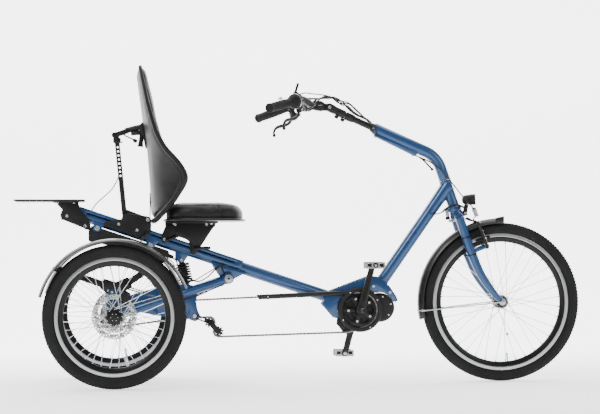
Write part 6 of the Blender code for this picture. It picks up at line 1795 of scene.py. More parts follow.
def drive_unit():
    body = turned(
        [
            (0, -0.028), (0.0435, -0.028), (0.051, -0.0245), (0.053, -0.02), (0.053, 0.02), (0.051, 0.0245),
            (0.0435, 0.028), (0, 0.028)
        ],
        (MOTOR[0], 0, MOTOR[1]), sides=96, edge=0.003
    )
    ribs = [
        turned(
            [(0.052, y - 0.001), (0.0537, y - 0.0006), (0.0537, y + 0.0006), (0.052, y + 0.001)],
            (MOTOR[0], 0, MOTOR[1]), sides=96, edge=0
        )
        for y in (-0.012, -0.006, 0.0, 0.006, 0.012)
    ]
    housing = turned(
        [(0, -0.028), (0.04, -0.028), (0.0455, -0.024), (0.0455, 0.024), (0.04, 0.028), (0, 0.028)],
        (BOTTOM_BRACKET[0], 0, BOTTOM_BRACKET[1]), sides=72, edge=0.002
    )
    bridge = plate(
        rounded([(0.89, 0.308), (0.89, 0.224), (0.985, 0.224), (0.985, 0.322)], 0.006), -0.0275, 0.0275,
        edge=0.002
    )
    boss = across(*BOTTOM_BRACKET, -0.036, 0.038, 0.019, 48, edge=0.001)
    cover_screws = []
    for side in (-1, 1):
        for k in range(6):
            spot = polar(MOTOR, 0.0405, TURN * (k + 0.3) / 6)
            cover_screws.append(screw((spot[0], side * 0.0278, spot[1]), (0, side, 0), 0.0034, 0.0016))
    plug = tube(
        smooth([(0.905, 0.016, 0.226), (0.895, 0.02, 0.214), (0.87, 0.02, 0.212), (0.846, 0.012, 0.236)]),
        0.0035, 16
    )
    piece(
        "motor_visual", "frame",
        [
            (
                carved(
                    merged(body, housing, bridge, boss),
                    across(*BOTTOM_BRACKET, -0.2, 0.2, 0.009, 32, edge=0)
                ),
                PLASTIC
            ),
            (merged(*ribs), PLASTIC), (merged(*cover_screws), STEEL), (plug, JACKET)
        ],
        ["motor"]
    )

    front, back = CHAIN_LINE - 0.0125, -0.0326
    case = turned(
        [
            (0.0815, front + 0.003), (0.0795, front + 0.0008), (0.077, front), (0.068, front),
            (0.0655, front + 0.0008), (0.065, front + 0.003), (0.0665, front + 0.0034),
            (0.0785, front + 0.0036), (0.0785, back), (0.0815, back)
        ],
        (BOTTOM_BRACKET[0], 0, BOTTOM_BRACKET[1]), sides=128, edge=0.0006
    )
    near = CHAIN_LINE - 0.006
    cut_low = plate(
        [(0.7, 0.15), (0.87, 0.176), (0.905, 0.186), (0.905, 0.204), (0.87, 0.196), (0.7, 0.19)], near,
        back - 0.0033, edge=0
    )
    entry_z = BOTTOM_BRACKET[1] + pitch_radius(32)
    cut_high = box((0.8, CHAIN_LINE - 0.0095, entry_z - 0.013), (0.885, back + 0.01, entry_z + 0.0095), 0)
    bulge = plate(
        rounded(
            [
                (0.846, 0.2225), (0.834, 0.234), (0.815, 0.24), (0.812, 0.215), (0.822, 0.204),
                (0.838, 0.182), (0.858, 0.175), (0.878, 0.186), (0.884, 0.198)
            ],
            0.008
        ),
        back - 0.003, back, edge=0.0006
    )
    ring_screws = []
    for k in range(4):
        a = math.radians(30 + 90 * k)
        spot = polar(BOTTOM_BRACKET, 0.073, a)
        ring_screws.append(screw((spot[0], front, spot[1]), (0, -1, 0), 0.0028, 0.0012))
    guide = across(0.852, 0.192, CHAIN_LINE - 0.006, back, 0.0035, 24)
    back_plate = plate(
        circle(BOTTOM_BRACKET, 0.0795, 96), back - 0.0012, back, [circle(BOTTOM_BRACKET, 0.0205, 48)],
        edge=0.0003
    )
    piece(
        "chain_case_visual", "frame",
        [
            (merged(carved(case, cut_low, cut_high), bulge, guide, back_plate), PLASTIC),
            (merged(*ring_screws), STEEL)
        ],
        ["chain_case"]
    )

    hub_top, ring_top = polar(GEAR_HUB, pitch_radius(16), math.pi / 2), polar(
        BOTTOM_BRACKET, pitch_radius(32), math.pi / 2
    )
    rise = (ring_top[1] - hub_top[1]) / (ring_top[0] - hub_top[0])

    def at(x):
        return Vector((x, CHAIN_LINE, hub_top[1] + rise * (x - hub_top[0])))

    outer = tube([at(0.505), at(0.868)], 0.009, 40, edge=0.0006)
    guard = carved(
        outer, tube([at(0.45), at(0.9)], 0.0062, 32, edge=0),
        plate([(0.49, 0.328), (0.514, 0.328), (0.534, 0.295), (0.49, 0.295)], -0.06, -0.02, edge=0),
        edge=0.0003
    )
    clip = [tube([at(x), at(x + 0.006)], 0.01, 40) for x in (0.556, 0.842)]
    clip_screw = screw((0.559, -0.053, at(0.559).z), (0, -1, 0), 0.0026, 0.0014)
    piece(
        "chain_guard_visual", "frame", [(merged(guard, *clip), PLASTIC), (clip_screw, STEEL)],
        ["chain_guard_tube"]
    )
    half = 0.0535 + 0.016 + 0.0003
    bolt = turned(
        [(0, -half - 0.0062), (
            0.0085, -half - 0.0062
        ), (
            0.0095, -half - 0.004
        ), (0.014, -half - 0.004), (0.015, -half - 0.003), (0.015, -half), (0.006, -half),
         (0.006, half), (0.015, half), (0.015, half + 0.003), (0.014, half + 0.004), (0.0095, half + 0.004),
         (0.0085, half + 0.0062), (0, half + 0.0062)],
        (PIVOT[0], 0, PIVOT[1]), sides=56, edge=0.0006,
    )
    # Dark hexagon discs on the bolt's ends: painted shade standing in for the hex socket recesses
    socket_shade = merged(
        *[
            turned(
                [(0, 0.0005), (0.0045, 0.0005), (0.0045, 0.0009), (0, 0.0009)],
                (PIVOT[0], s * (half + 0.0058), PIVOT[1]), (0, s, 0), 6, edge=0
            )
            for s in (-1, 1)
        ]
    )
    piece("pivot_bolt_visual", "frame", [(bolt, BRUSHED), (socket_shade, DARK_STEEL)], ["pivot_bolt"])


main_frame()
seat_rail()
down_tube()
carrier_and_battery()
drive_unit()


# Steering group
HEAD_LOW = Vector((HEAD_BOTTOM[0], 0, HEAD_BOTTOM[1]))
HEAD_UP = (Vector((HEAD_TOP[0], 0, HEAD_TOP[1])) - HEAD_LOW).normalized()
HEAD_LENGTH = (Vector((HEAD_TOP[0], 0, HEAD_TOP[1])) - HEAD_LOW).length
HEAD_FORE = Vector((HEAD_UP.z, 0, -HEAD_UP.x))
ELBOW = Vector((GOOSENECK_CORNER[0], 0, GOOSENECK_CORNER[1]))
MOUTH = Vector((GOOSENECK_END[0], 0, GOOSENECK_END[1]))
NECK_UP = (MOUTH - ELBOW).normalized()
NECK_R = 0.0215
FORK_SPREAD = 0.052
FORK_PATH = ((1.268, 0.607), (1.289, 0.54), (1.312, 0.478), (1.347, 0.397), (1.395, 0.327), (1.423, 0.2975))
BRAKE_FORE = Vector((math.cos(math.radians(21)), 0, math.sin(math.radians(21))))
BRAKE_UP = Vector((-BRAKE_FORE.z, 0, BRAKE_FORE.x))
BRAKE_PIVOT = (1.365, 0.496)


def head_point(up, fore=0.0, y=0.0):
    return HEAD_LOW + HEAD_UP * up + HEAD_FORE * fore + Vector((0, y, 0))


def fork():
    steerer = turned(
        [(0, -0.02), (0.0125, -0.02), (0.0125, HEAD_LENGTH - 0.0003), (0, HEAD_LENGTH - 0.0003)], HEAD_LOW,
        HEAD_UP, 32
    )
    crown = turned(
        [
            (0, -0.034), (0.0225, -0.0335), (0.0262, -0.028), (0.0255, -0.018), (0.0235, -0.008),
            (0.0235, -0.0008), (0, -0.0008)
        ],
        HEAD_LOW, HEAD_UP, 56, edge=0.0012
    )
    shoulder = head_point(-0.024)
    arch = [
        shoulder + Vector((0, y, -0.004 * (abs(y) / 0.046) ** 2)) for y in np.linspace(-0.046, 0.046, 17)
    ]
    parts = [
        steerer, crown,
        tube(arch, [0.0168 + 0.0019 * math.cos(math.pi * (k - 8) / 16) for k in range(17)], 40, edge=0.004)
    ]
    steel, bands = [], []
    radii = np.interp(np.linspace(0, 5, 41), range(6), [0.0165, 0.0165, 0.0165, 0.0155, 0.0125, 0.01])
    for side in (-1, 1):
        y = side * FORK_SPREAD
        path = smooth([(x, y, z) for x, z in FORK_PATH], 8)
        parts.append(tube(path, list(radii), 44, edge=0.003))
        dropout = rounded(
            [
                (1.4145, 0.306), (1.42, 0.3125), (1.434, 0.3085), (1.4425, 0.2965), (1.442, 0.284),
                (1.4335, 0.2775), (1.4225, 0.279), (1.416, 0.288)
            ],
            0.005
        )
        parts.append(plate(dropout, side * 0.0415, side * 0.0485, edge=0.001))
        steel.append(screw((FRONT[0], side * 0.0485, FRONT[1]), (0, side, 0), 0.0085, 0.007, True))
        steel.append(
            turned(
                [(0.006, 0), (0.012, 0), (0.012, 0.0014), (0.006, 0.0014)],
                (FRONT[0], side * 0.0483, FRONT[1]), (0, side, 0), 36
            )
        )
        steel.append(across(*FRONT, side * 0.054, side * 0.066, 0.0048, 24))
        pin = Vector((BRAKE_PIVOT[0], side * 0.04, BRAKE_PIVOT[1]))
        parts.append(tube([pin - BRAKE_FORE * 0.05, pin + BRAKE_FORE * 0.002], 0.0068, 28))
        steel.append(tube([pin, pin + BRAKE_FORE * 0.017], 0.004, 24))
        steel.append(screw(pin + BRAKE_FORE * 0.0132, BRAKE_FORE, 0.0062, 0.0036))
        for k, grow in ((9, 0.0008), (17, 0.0008)):
            a, b = Vector(path[k]), Vector(path[k + 1])
            along = (b - a).normalized()
            bands.append(
                turned(
                    [
                        (radii[k] - 0.0005, -0.0018), (radii[k] + grow, -0.0018), (radii[k] + grow, 0.0018),
                        (radii[k] - 0.0005, 0.0018)
                    ],
                    a, along, 48, edge=0.0004
                )
            )
            bands.append(
                box(
                    a + Vector((0.004, side * (radii[k] - 0.001), -0.003)),
                    a + Vector((0.01, side * (radii[k] + 0.003), 0.003)), 0.0006
                )
            )
        fender_eye = Vector(path[17]) + Vector((-0.02, side * 0.002, -0.006))
        if side < 0:
            parts.append(tube([Vector(path[17]) + Vector((-0.01, 0, -0.003)), fender_eye], 0.0036, 20))
    axle = across(*FRONT, -0.045, 0.045, 0.005, 28)
    steel.append(axle)
    steel.append(tube([head_point(-0.03, -0.02), head_point(-0.03, -0.034)], 0.0045, 24))
    steel.append(screw(head_point(-0.03, -0.031), -HEAD_FORE, 0.0062, 0.004, True))
    piece(
        "fork_visual", "steering",
        [(merged(*parts), BLUE), (merged(*steel), STEEL), (merged(*bands), RUBBER)], ["fork"]
    )


def brake_arm(side_name, side):
    pivot = Vector((BRAKE_PIVOT[0], side * 0.04, BRAKE_PIVOT[1])) + BRAKE_FORE * 0.003
    outline = rounded(
        [
            (-0.01, -0.007), (0.0, -0.0105), (0.0095, -0.006), (0.01, 0.034), (0.013, 0.092),
            (0.012, 0.099), (0.005, 0.1), (-0.003, 0.06), (-0.008, 0.04), (-0.0095, 0.01)
        ],
        0.003
    )
    corners = []
    for fore in (0.0, 0.01):
        for out, high in outline:
            corners.append(pivot + BRAKE_FORE * fore + Vector((0, side * out, 0)) + BRAKE_UP * high)
    count = len(outline)
    faces = [tuple(range(count)), tuple(range(count, 2 * count))] + [
        (k, (k + 1) % count, (k + 1) % count + count, k + count) for k in range(count)
    ]
    arm = bevelled(from_faces(corners, faces), 0.0012)
    arm = carved(arm, tube([pivot - BRAKE_FORE * 0.01, pivot + BRAKE_FORE * 0.02], 0.0045, 24, edge=0))
    pad_at = pivot + BRAKE_UP * 0.031 + BRAKE_FORE * 0.004
    rim_side = 0.0135 + 0.0022
    tangent = Vector((0.956, 0, 0.292))
    centre = Vector((pad_at.x, side * (rim_side + 0.006), pad_at.z))
    pad = tube(
        [
            centre - tangent * 0.027, centre - tangent * 0.02, centre + tangent * 0.02,
            centre + tangent * 0.027
        ],
        [0.0045, 0.006, 0.006, 0.0045], 28, squash=0.8
    )
    holder = tube(
        [centre + Vector((0, side * 0.004, 0)), pad_at + Vector((0, side * 0.005, 0))], 0.0045, 24
    )
    nuts = [
        screw(pad_at + Vector((0, side * 0.004, 0)) + BRAKE_FORE * 0.006, (0, side, 0), 0.0052, 0.005, True)
    ]
    nuts.append(
        screw(
            pivot + BRAKE_UP * 0.094 + BRAKE_FORE * 0.0098 + Vector((0, side * 0.009, 0)), BRAKE_FORE,
            0.0045, 0.0026
        )
    )
    spring = tube(
        smooth(
            [
                pivot + BRAKE_FORE * 0.0106 + Vector((0, side * (0.004 + 0.003 * math.sin(t * 0.05)), 0))
                + BRAKE_UP * t * 0.001
                for t in (4, 20, 40, 60, 82)
            ]
        ),
        0.001, 12, edge=0.0002
    )
    clip = [
        tube(
            [
                pivot + BRAKE_FORE * 0.0098 + BRAKE_UP * 0.06 + Vector((0, side * 0.002, 0)),
                pivot + BRAKE_FORE * 0.0125 + BRAKE_UP * 0.06 + Vector((0, side * 0.002, 0))
            ],
            0.0026, 16
        )
    ]
    piece(
        f"{side_name}_front_brake_arm", f"{side_name}_arm",
        [(merged(arm, holder), BLACK), (pad, RUBBER), (merged(*nuts, spring, *clip), STEEL)],
        [f"{side_name}_brake_arm"]
    )


def gooseneck():
    start = head_point(HEAD_LENGTH + 0.0008)
    path = bent([start, tuple(ELBOW), tuple(MOUTH)], 0.12, 28)
    body = tube(path, NECK_R, 64, edge=0.0012)
    body = carved(body, tube([MOUTH - NECK_UP * 0.14, MOUTH + NECK_UP * 0.02], 0.013, 40, edge=0))
    foot = turned(
        [(0.01, 0), (0.0232, 0), (0.0232, 0.0045), (0.0218, 0.006), (0.01, 0.006)], start, HEAD_UP, 56
    )
    ring = turned(
        [
            (0.0132, -0.0005), (0.0205, -0.0005), (0.0198, 0.003), (0.0172, 0.0045), (0.0165, 0.012),
            (0.0148, 0.014), (0.0132, 0.014)
        ],
        MOUTH, NECK_UP, 48, edge=0.0006
    )
    over = Vector((-NECK_UP.z, 0, NECK_UP.x))
    over = over if over.z > 0 else -over
    lug = box(
        MOUTH + NECK_UP * 0.001 + Vector((-0.004, -0.005, 0.01)),
        MOUTH + NECK_UP * 0.012 + Vector((0.006, 0.005, 0.02)), 0.0012
    )
    bolt = screw(MOUTH + NECK_UP * 0.006 + Vector((0, -0.016, 0)), (0, -1, 0), 0.0045, 0.0034)
    piece(
        "gooseneck_visual", "steering",
        [(merged(body, foot), BLUE), (merged(ring, lug), BLACK), (bolt, STEEL)], ["gooseneck"]
    )
    under = -over
    start = MOUTH - NECK_UP * 0.006
    rows = []
    for t in np.linspace(0, 1, 21):
        deep = 0.007 + 0.006 * t
        tuck = 0.0025 * (1 - min(1.0, min(t, 1 - t) / 0.04)) ** 2
        base = NECK_R * math.cos(math.pi / 12) - 0.004
        ring_points = []
        for y, depth in ((-0.0165, base), (
            -0.0165, base + 0.004 + deep * 0.45
        ), (
            -0.015, base + 0.004 + deep * 0.72
        ), (-0.012, base + 0.004 + deep * 0.93), (-0.007, base + 0.004 + deep - tuck),
                         (0.007, base + 0.004 + deep - tuck), (0.012, base + 0.004 + deep * 0.93),
                         (0.015, base + 0.004 + deep * 0.72), (0.0165, base + 0.004 + deep * 0.45),
                         (0.0165, base)):
            ring_points.append(start - NECK_UP * 0.175 * t + under * depth + Vector((0, y, 0)))
        rows.append(ring_points)
    count = len(rows[0])
    corners = [p for row in rows for p in row]
    faces = [tuple(range(count)), tuple(range((len(rows) - 1) * count, len(rows) * count))]
    faces += [
        (r * count + k, r * count + (k + 1) % count, (r + 1) * count + (k + 1) % count, (r + 1) * count + k)
        for r in range(len(rows) - 1) for k in range(count)
    ]
    cover = bevelled(from_faces(corners, faces), 0.001)
    screws = []
    for t in (0.05, 0.93):
        spot = start - NECK_UP * 0.175 * t + under * (
            NECK_R * math.cos(math.pi / 12) + 0.007 + 0.006 * t - 0.0002
        )
        screws.append(screw(spot, under, 0.0036, 0.0022))
    piece(
        "cable_cover_visual", "steering", [(cover, BLUE), (merged(*screws), DARK_STEEL)], ["cable_cover"],
    )


def headlight():
    centre = (1.286, 0, 0.672)
    axis = (1, 0, 0.03)
    shell = turned(
        [
            (0, 0.0), (0.0075, 0.0003), (0.013, 0.003), (0.0165, 0.009), (0.0182, 0.02), (0.0195, 0.04),
            (0.0198, 0.047), (0.0186, 0.0482), (0.018, 0.044), (0.015, 0.042), (0, 0.04)
        ],
        centre, axis, 64, edge=0.0005
    )
    hood = turned(
        [(0.0186, 0.03), (0.0199, 0.03), (0.0203, 0.05), (0.019, 0.05)], centre, axis, 64, edge=0.0003
    )
    notch = plate([(1.322, 0.664), (1.322, 0.684), (1.35, 0.692), (1.35, 0.656)], -0.05, 0.05, edge=0)
    hood = carved(hood, notch)
    bowl = turned(
        [(0, 0.042), (0.009, 0.0425), (0.0168, 0.0465), (0.0172, 0.0458), (0.009, 0.0412), (0, 0.0405)],
        centre, axis, 56, edge=0
    )
    front = turned(
        [
            (0, 0.051), (0.009, 0.0503), (0.0155, 0.048), (0.0176, 0.0462), (0.0172, 0.045), (0.009, 0.048),
            (0, 0.049)
        ],
        centre, axis, 56, edge=0
    )
    tail = turned([(0, -0.0012), (0.006, -0.0008), (0.0068, 0.0015), (0, 0.0015)], centre, axis, 40)
    stay = tube(
        smooth([(1.303, 0, 0.66), (1.302, 0, 0.648), (1.299, 0, 0.634), (1.2965, 0, 0.622)], 5), 0.0044, 20,
        squash=1.9, edge=0.001
    )
    foot = plate(
        rounded([(1.295, 0.6115), (1.306, 0.615), (1.301, 0.633), (1.2865, 0.63)], 0.002), -0.01, 0.01,
        edge=0.0008
    )
    bolt = screw(Vector((1.2965, -0.0095, 0.622)), (0, -1, 0), 0.0046, 0.003)
    ears = [plate(circle((1.305, 0.655), 0.0065, 20), s * 0.008, s * 0.01) for s in (-1, 1)]
    clamp = [screw((1.305, s * 0.01, 0.655), (0, s, 0), 0.004, 0.0024) for s in (-1, 1)]
    piece(
        "headlight_visual", "steering",
        [
            (merged(shell, hood, stay, foot, *ears), PLASTIC), (bowl, REFLECTOR), (front, LENS),
            (merged(bolt, *clamp), STEEL), (tail, BRUSHED)
        ],
        ["headlight"]
    )


def front_fender():
    outer_r = FRONT_R + 0.017
    start, end = math.radians(88), math.radians(192)
    sheet = fender_sheet(FRONT, 0, outer_r, 0.058, start, end, 0.018, 96)
    lips = []
    for k in range(9):
        t = k / 8
        angle = start + math.radians(5.5) * (1 - t)
        x, z = polar(FRONT, outer_r + 0.0002 + 0.0065 * t, angle)
        lips.append((x, z))
    low = [
        polar(FRONT, outer_r - 0.018 - 0.003 * (k / 8), start + math.radians(5.5) * (1 - k / 8))
        for k in range(9)
    ]
    flare = []
    for side in (-1, 1):
        outline = lips + list(reversed(low))
        flare.append(plate(outline, side * 0.0272, side * 0.0289, edge=0.0003))
    top = []
    for k in range(9):
        x, z = lips[k]
        top.append((x, z))
    lid = plate(top + [(x, z - 0.0016) for x, z in reversed(top)], -0.0285, 0.0285, edge=0.0004)
    stays, ends = [], []
    for side in (-1, 1):
        top_at = polar(FRONT, outer_r - 0.007, math.radians(186))
        y = side * 0.069
        path = bent([
            (top_at[0] - 0.002, side * 0.0235, top_at[1]), (top_at[0] + 0.012, side * 0.034, top_at[1]),
            (FRONT[0] - 0.06, y, FRONT[1] - 0.006), (FRONT[0], y, FRONT[1]),
        ], 0.02, 6)
        stays.append(tube(path, 0.0022, 16, edge=0.0004))
        loop = turned(
            [(0.0052, -0.003), (0.0085, -0.003), (0.0085, 0.003), (0.0052, 0.003)],
            (FRONT[0], side * 0.0692, FRONT[1]), (0, side, 0), 32
        )
        ends.append(loop)
        ends.append(screw((top_at[0] + 0.006, side * 0.0293, top_at[1]), (0, side, 0), 0.0045, 0.0026))
        ends.append(screw((FRONT[0], side * 0.0665, FRONT[1]), (0, side, 0), 0.0068, 0.0062, True))
    bridge = tube(
        smooth([(top_at[0] - 0.002, y, top_at[1]) for y in np.linspace(-0.0235, 0.0235, 5)]), 0.0022, 16
    )
    bracket = plate(
        rounded(
            [
                (1.305, 0.608), (1.32, 0.599), (1.34, 0.5945), (1.342, 0.591), (1.316, 0.5925),
                (1.296, 0.601)
            ],
            0.002
        ),
        -0.012, 0.012, edge=0.0006
    )
    rivets = [
        screw(
            (polar(FRONT, outer_r, math.radians(a))[0], y, polar(FRONT, outer_r, math.radians(a))[1]),
            (math.cos(math.radians(a)), 0, math.sin(math.radians(a))), 0.0042, 0.0014
        )
        for a in (106.5, 186.0) for y in (-0.012, 0.012)
    ]
    piece(
        "front_fender_visual", "steering",
        [
            (merged(sheet, *flare, lid), FENDER), (merged(*stays, bridge, *ends, *rivets), STEEL),
            (bracket, BLACK)
        ],
        ["front_fender"], 40
    )


def front_cables():
    route = [
        (1.1152, 0.0, 0.835), (1.132, -0.006, 0.8272), (1.158, -0.022, 0.814), (1.19, -0.031, 0.793),
        (1.222, -0.0335, 0.76), (1.252, -0.0335, 0.723), (1.279, -0.033, 0.689), (1.302, -0.034, 0.664),
        (1.32, -0.037, 0.642), (1.332, -0.0385, 0.624), (1.337, -0.025, 0.614), (1.3385, 0.0, 0.612),
        (1.3385, 0.028, 0.609), (1.338, 0.045, 0.602), (1.3376, 0.0485, 0.593),
    ]
    jacket = tube(smooth(route, 8), 0.0024, 20, edge=0.0004)
    noodle_at = [Vector(p) for p in route[8:13]]
    noodle = tube(smooth(noodle_at, 8), 0.003, 20, edge=0.0004)
    booster = turned(
        [
            (0, -0.015), (0.008, -0.015), (0.0085, -0.0138), (0.0085, -0.004), (0.0076, -0.003),
            (0.0076, 0.003), (0.0085, 0.004), (0.0085, 0.0145), (0, 0.015)
        ],
        Vector(route[9]) + Vector((-0.002, 0, -0.001)), (-0.35, 0.1, 0.93), 40
    )
    cap = turned(
        [(0, 0), (0.0078, 0), (0.008, 0.003), (0.0065, 0.0046), (0, 0.0048)],
        Vector(route[9]) + Vector((-0.002, 0, -0.001)) + Vector((-0.35, 0.1, 0.93)) * 0.0145,
        (-0.35, 0.1, 0.93), 40
    )
    inner = tube([(1.3376, 0.044, 0.594), (1.3374, 0.02, 0.5925), (1.3372, -0.043, 0.5925)], 0.0009, 10)
    boot = turned(
        [
            (0.0012, -0.012), (0.0028, -0.012), (0.0036, -0.006), (0.003, -0.003), (0.0038, 0.0),
            (0.003, 0.003), (0.0038, 0.006), (0.003, 0.012), (0.0012, 0.012)
        ],
        (1.3374, 0.004, 0.5925), (0, 1, 0), 24, edge=0
    )
    piece(
        "front_brake_cable_visual", "steering",
        [(jacket, JACKET), (merged(noodle, booster), BRUSHED), (merged(cap, boot), RUBBER), (inner, STEEL)],
        ["front_brake_cable"]
    )
    wraps = []
    loop = smooth(
        [
            (1.186, -0.025, 0.6185), (1.205, -0.03, 0.6245), (1.221, -0.0335, 0.638), (1.242, -0.035, 0.65),
            (1.264, -0.034, 0.652), (1.284, -0.029, 0.645), (1.299, -0.018, 0.64), (1.306, -0.008, 0.648)
        ],
        8
    )
    light_lead = tube(loop, 0.0024, 18, edge=0.0004)
    wraps.append(light_lead)
    sheath = tube(loop[10:44], 0.0038, 18, edge=0.0006)
    wraps.append(sheath)
    tail = tube(
        smooth([(1.186, -0.025, 0.6185), (1.17, -0.0225, 0.619), (1.16, -0.021, 0.626)], 8), 0.002, 16
    )
    piece("head_tube_lead", "frame", [(tail, JACKET)])
    lead = piece("light_lead", None, [(merged(*wraps), JACKET)])
    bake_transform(lead)
    tie = turned(
        [(0.002, -0.0025), (0.0035, -0.0025), (0.0035, 0.0025), (0.002, 0.0025)], (1.252, -0.0335, 0.723),
        (0.62, 0, -0.78), 20
    )
    hook = tube(
        smooth(
            [(1.125, -0.012, 0.83), (1.14, -0.018, 0.818), (1.156, -0.018, 0.801), (1.172, -0.014, 0.785)],
            6
        ),
        0.0034, 18, edge=0.0006
    )
    stop = box((1.168, -0.02, 0.78), (1.177, -0.006, 0.789), 0.001)
    piece("neck_cable_ties", "steering", [(merged(tie, hook, stop), RUBBER)])
    rod = turned(
        [(0, 0), (0.0068, 0), (0.0068, 0.02), (0.006, 0.021), (0.006, 0.026), (0, 0.026)],
        (1.229, 0, 0.633), (0.12, 0, -0.99), 36
    )
    boot = turned(
        [(0, 0.024), (0.0075, 0.024), (0.0085, 0.027), (0.0085, 0.033), (0.007, 0.0355), (0, 0.036)],
        (1.229, 0, 0.633), (0.12, 0, -0.99), 36
    )
    ear = plate(
        rounded([(1.224, 0.642), (1.224, 0.628), (1.234, 0.626), (1.245, 0.638)], 0.002), -0.006, 0.006
    )
    piece("steering_damper", "frame", [(rod, BRUSHED), (boot, RUBBER), (ear, BLUE)])


fork()
brake_arm("right", -1)
brake_arm("left", 1)
gooseneck()
headlight()
front_fender()
front_cables()
magnet = turned(
    [(0, -0.0035), (0.0045, -0.0035), (0.0052, -0.0025), (0.0052, 0.0025), (0.0045, 0.0035), (0, 0.0035)],
    (1.453, -0.0085, 0.173), (0.2, 0.98, 0), 28
)
piece("spoke_magnet", "front_wheel_set", [(magnet, BRUSHED)])


# Handlebar group
def bar_path():
    x, z = BAR_CLAMP
    end_x, end_z, end_y = BAR_END
    right = [(end_x, -end_y, end_z), (x - 0.033, -0.125, z + 0.016), (x, -0.09, z)]
    return bent(right + [(px, -py, pz) for px, py, pz in reversed(right)], 0.03, 12)


def bar_end(side):
    start = Vector((BAR_CLAMP[0] - 0.033, side * 0.125, BAR_CLAMP[1] + 0.016))
    end = Vector((BAR_END[0], side * BAR_END[2], BAR_END[1]))
    return start, (end - start).normalized(), (end - start).length


def lever_frame(side):
    start, out, _ = bar_end(side)
    reach = Vector((0.12, 0, -1.0))
    reach = (reach - out * reach.dot(out)).normalized()
    axis = out.cross(reach).normalized()
    return start + out * 0.034 + reach * 0.034, axis, reach, out


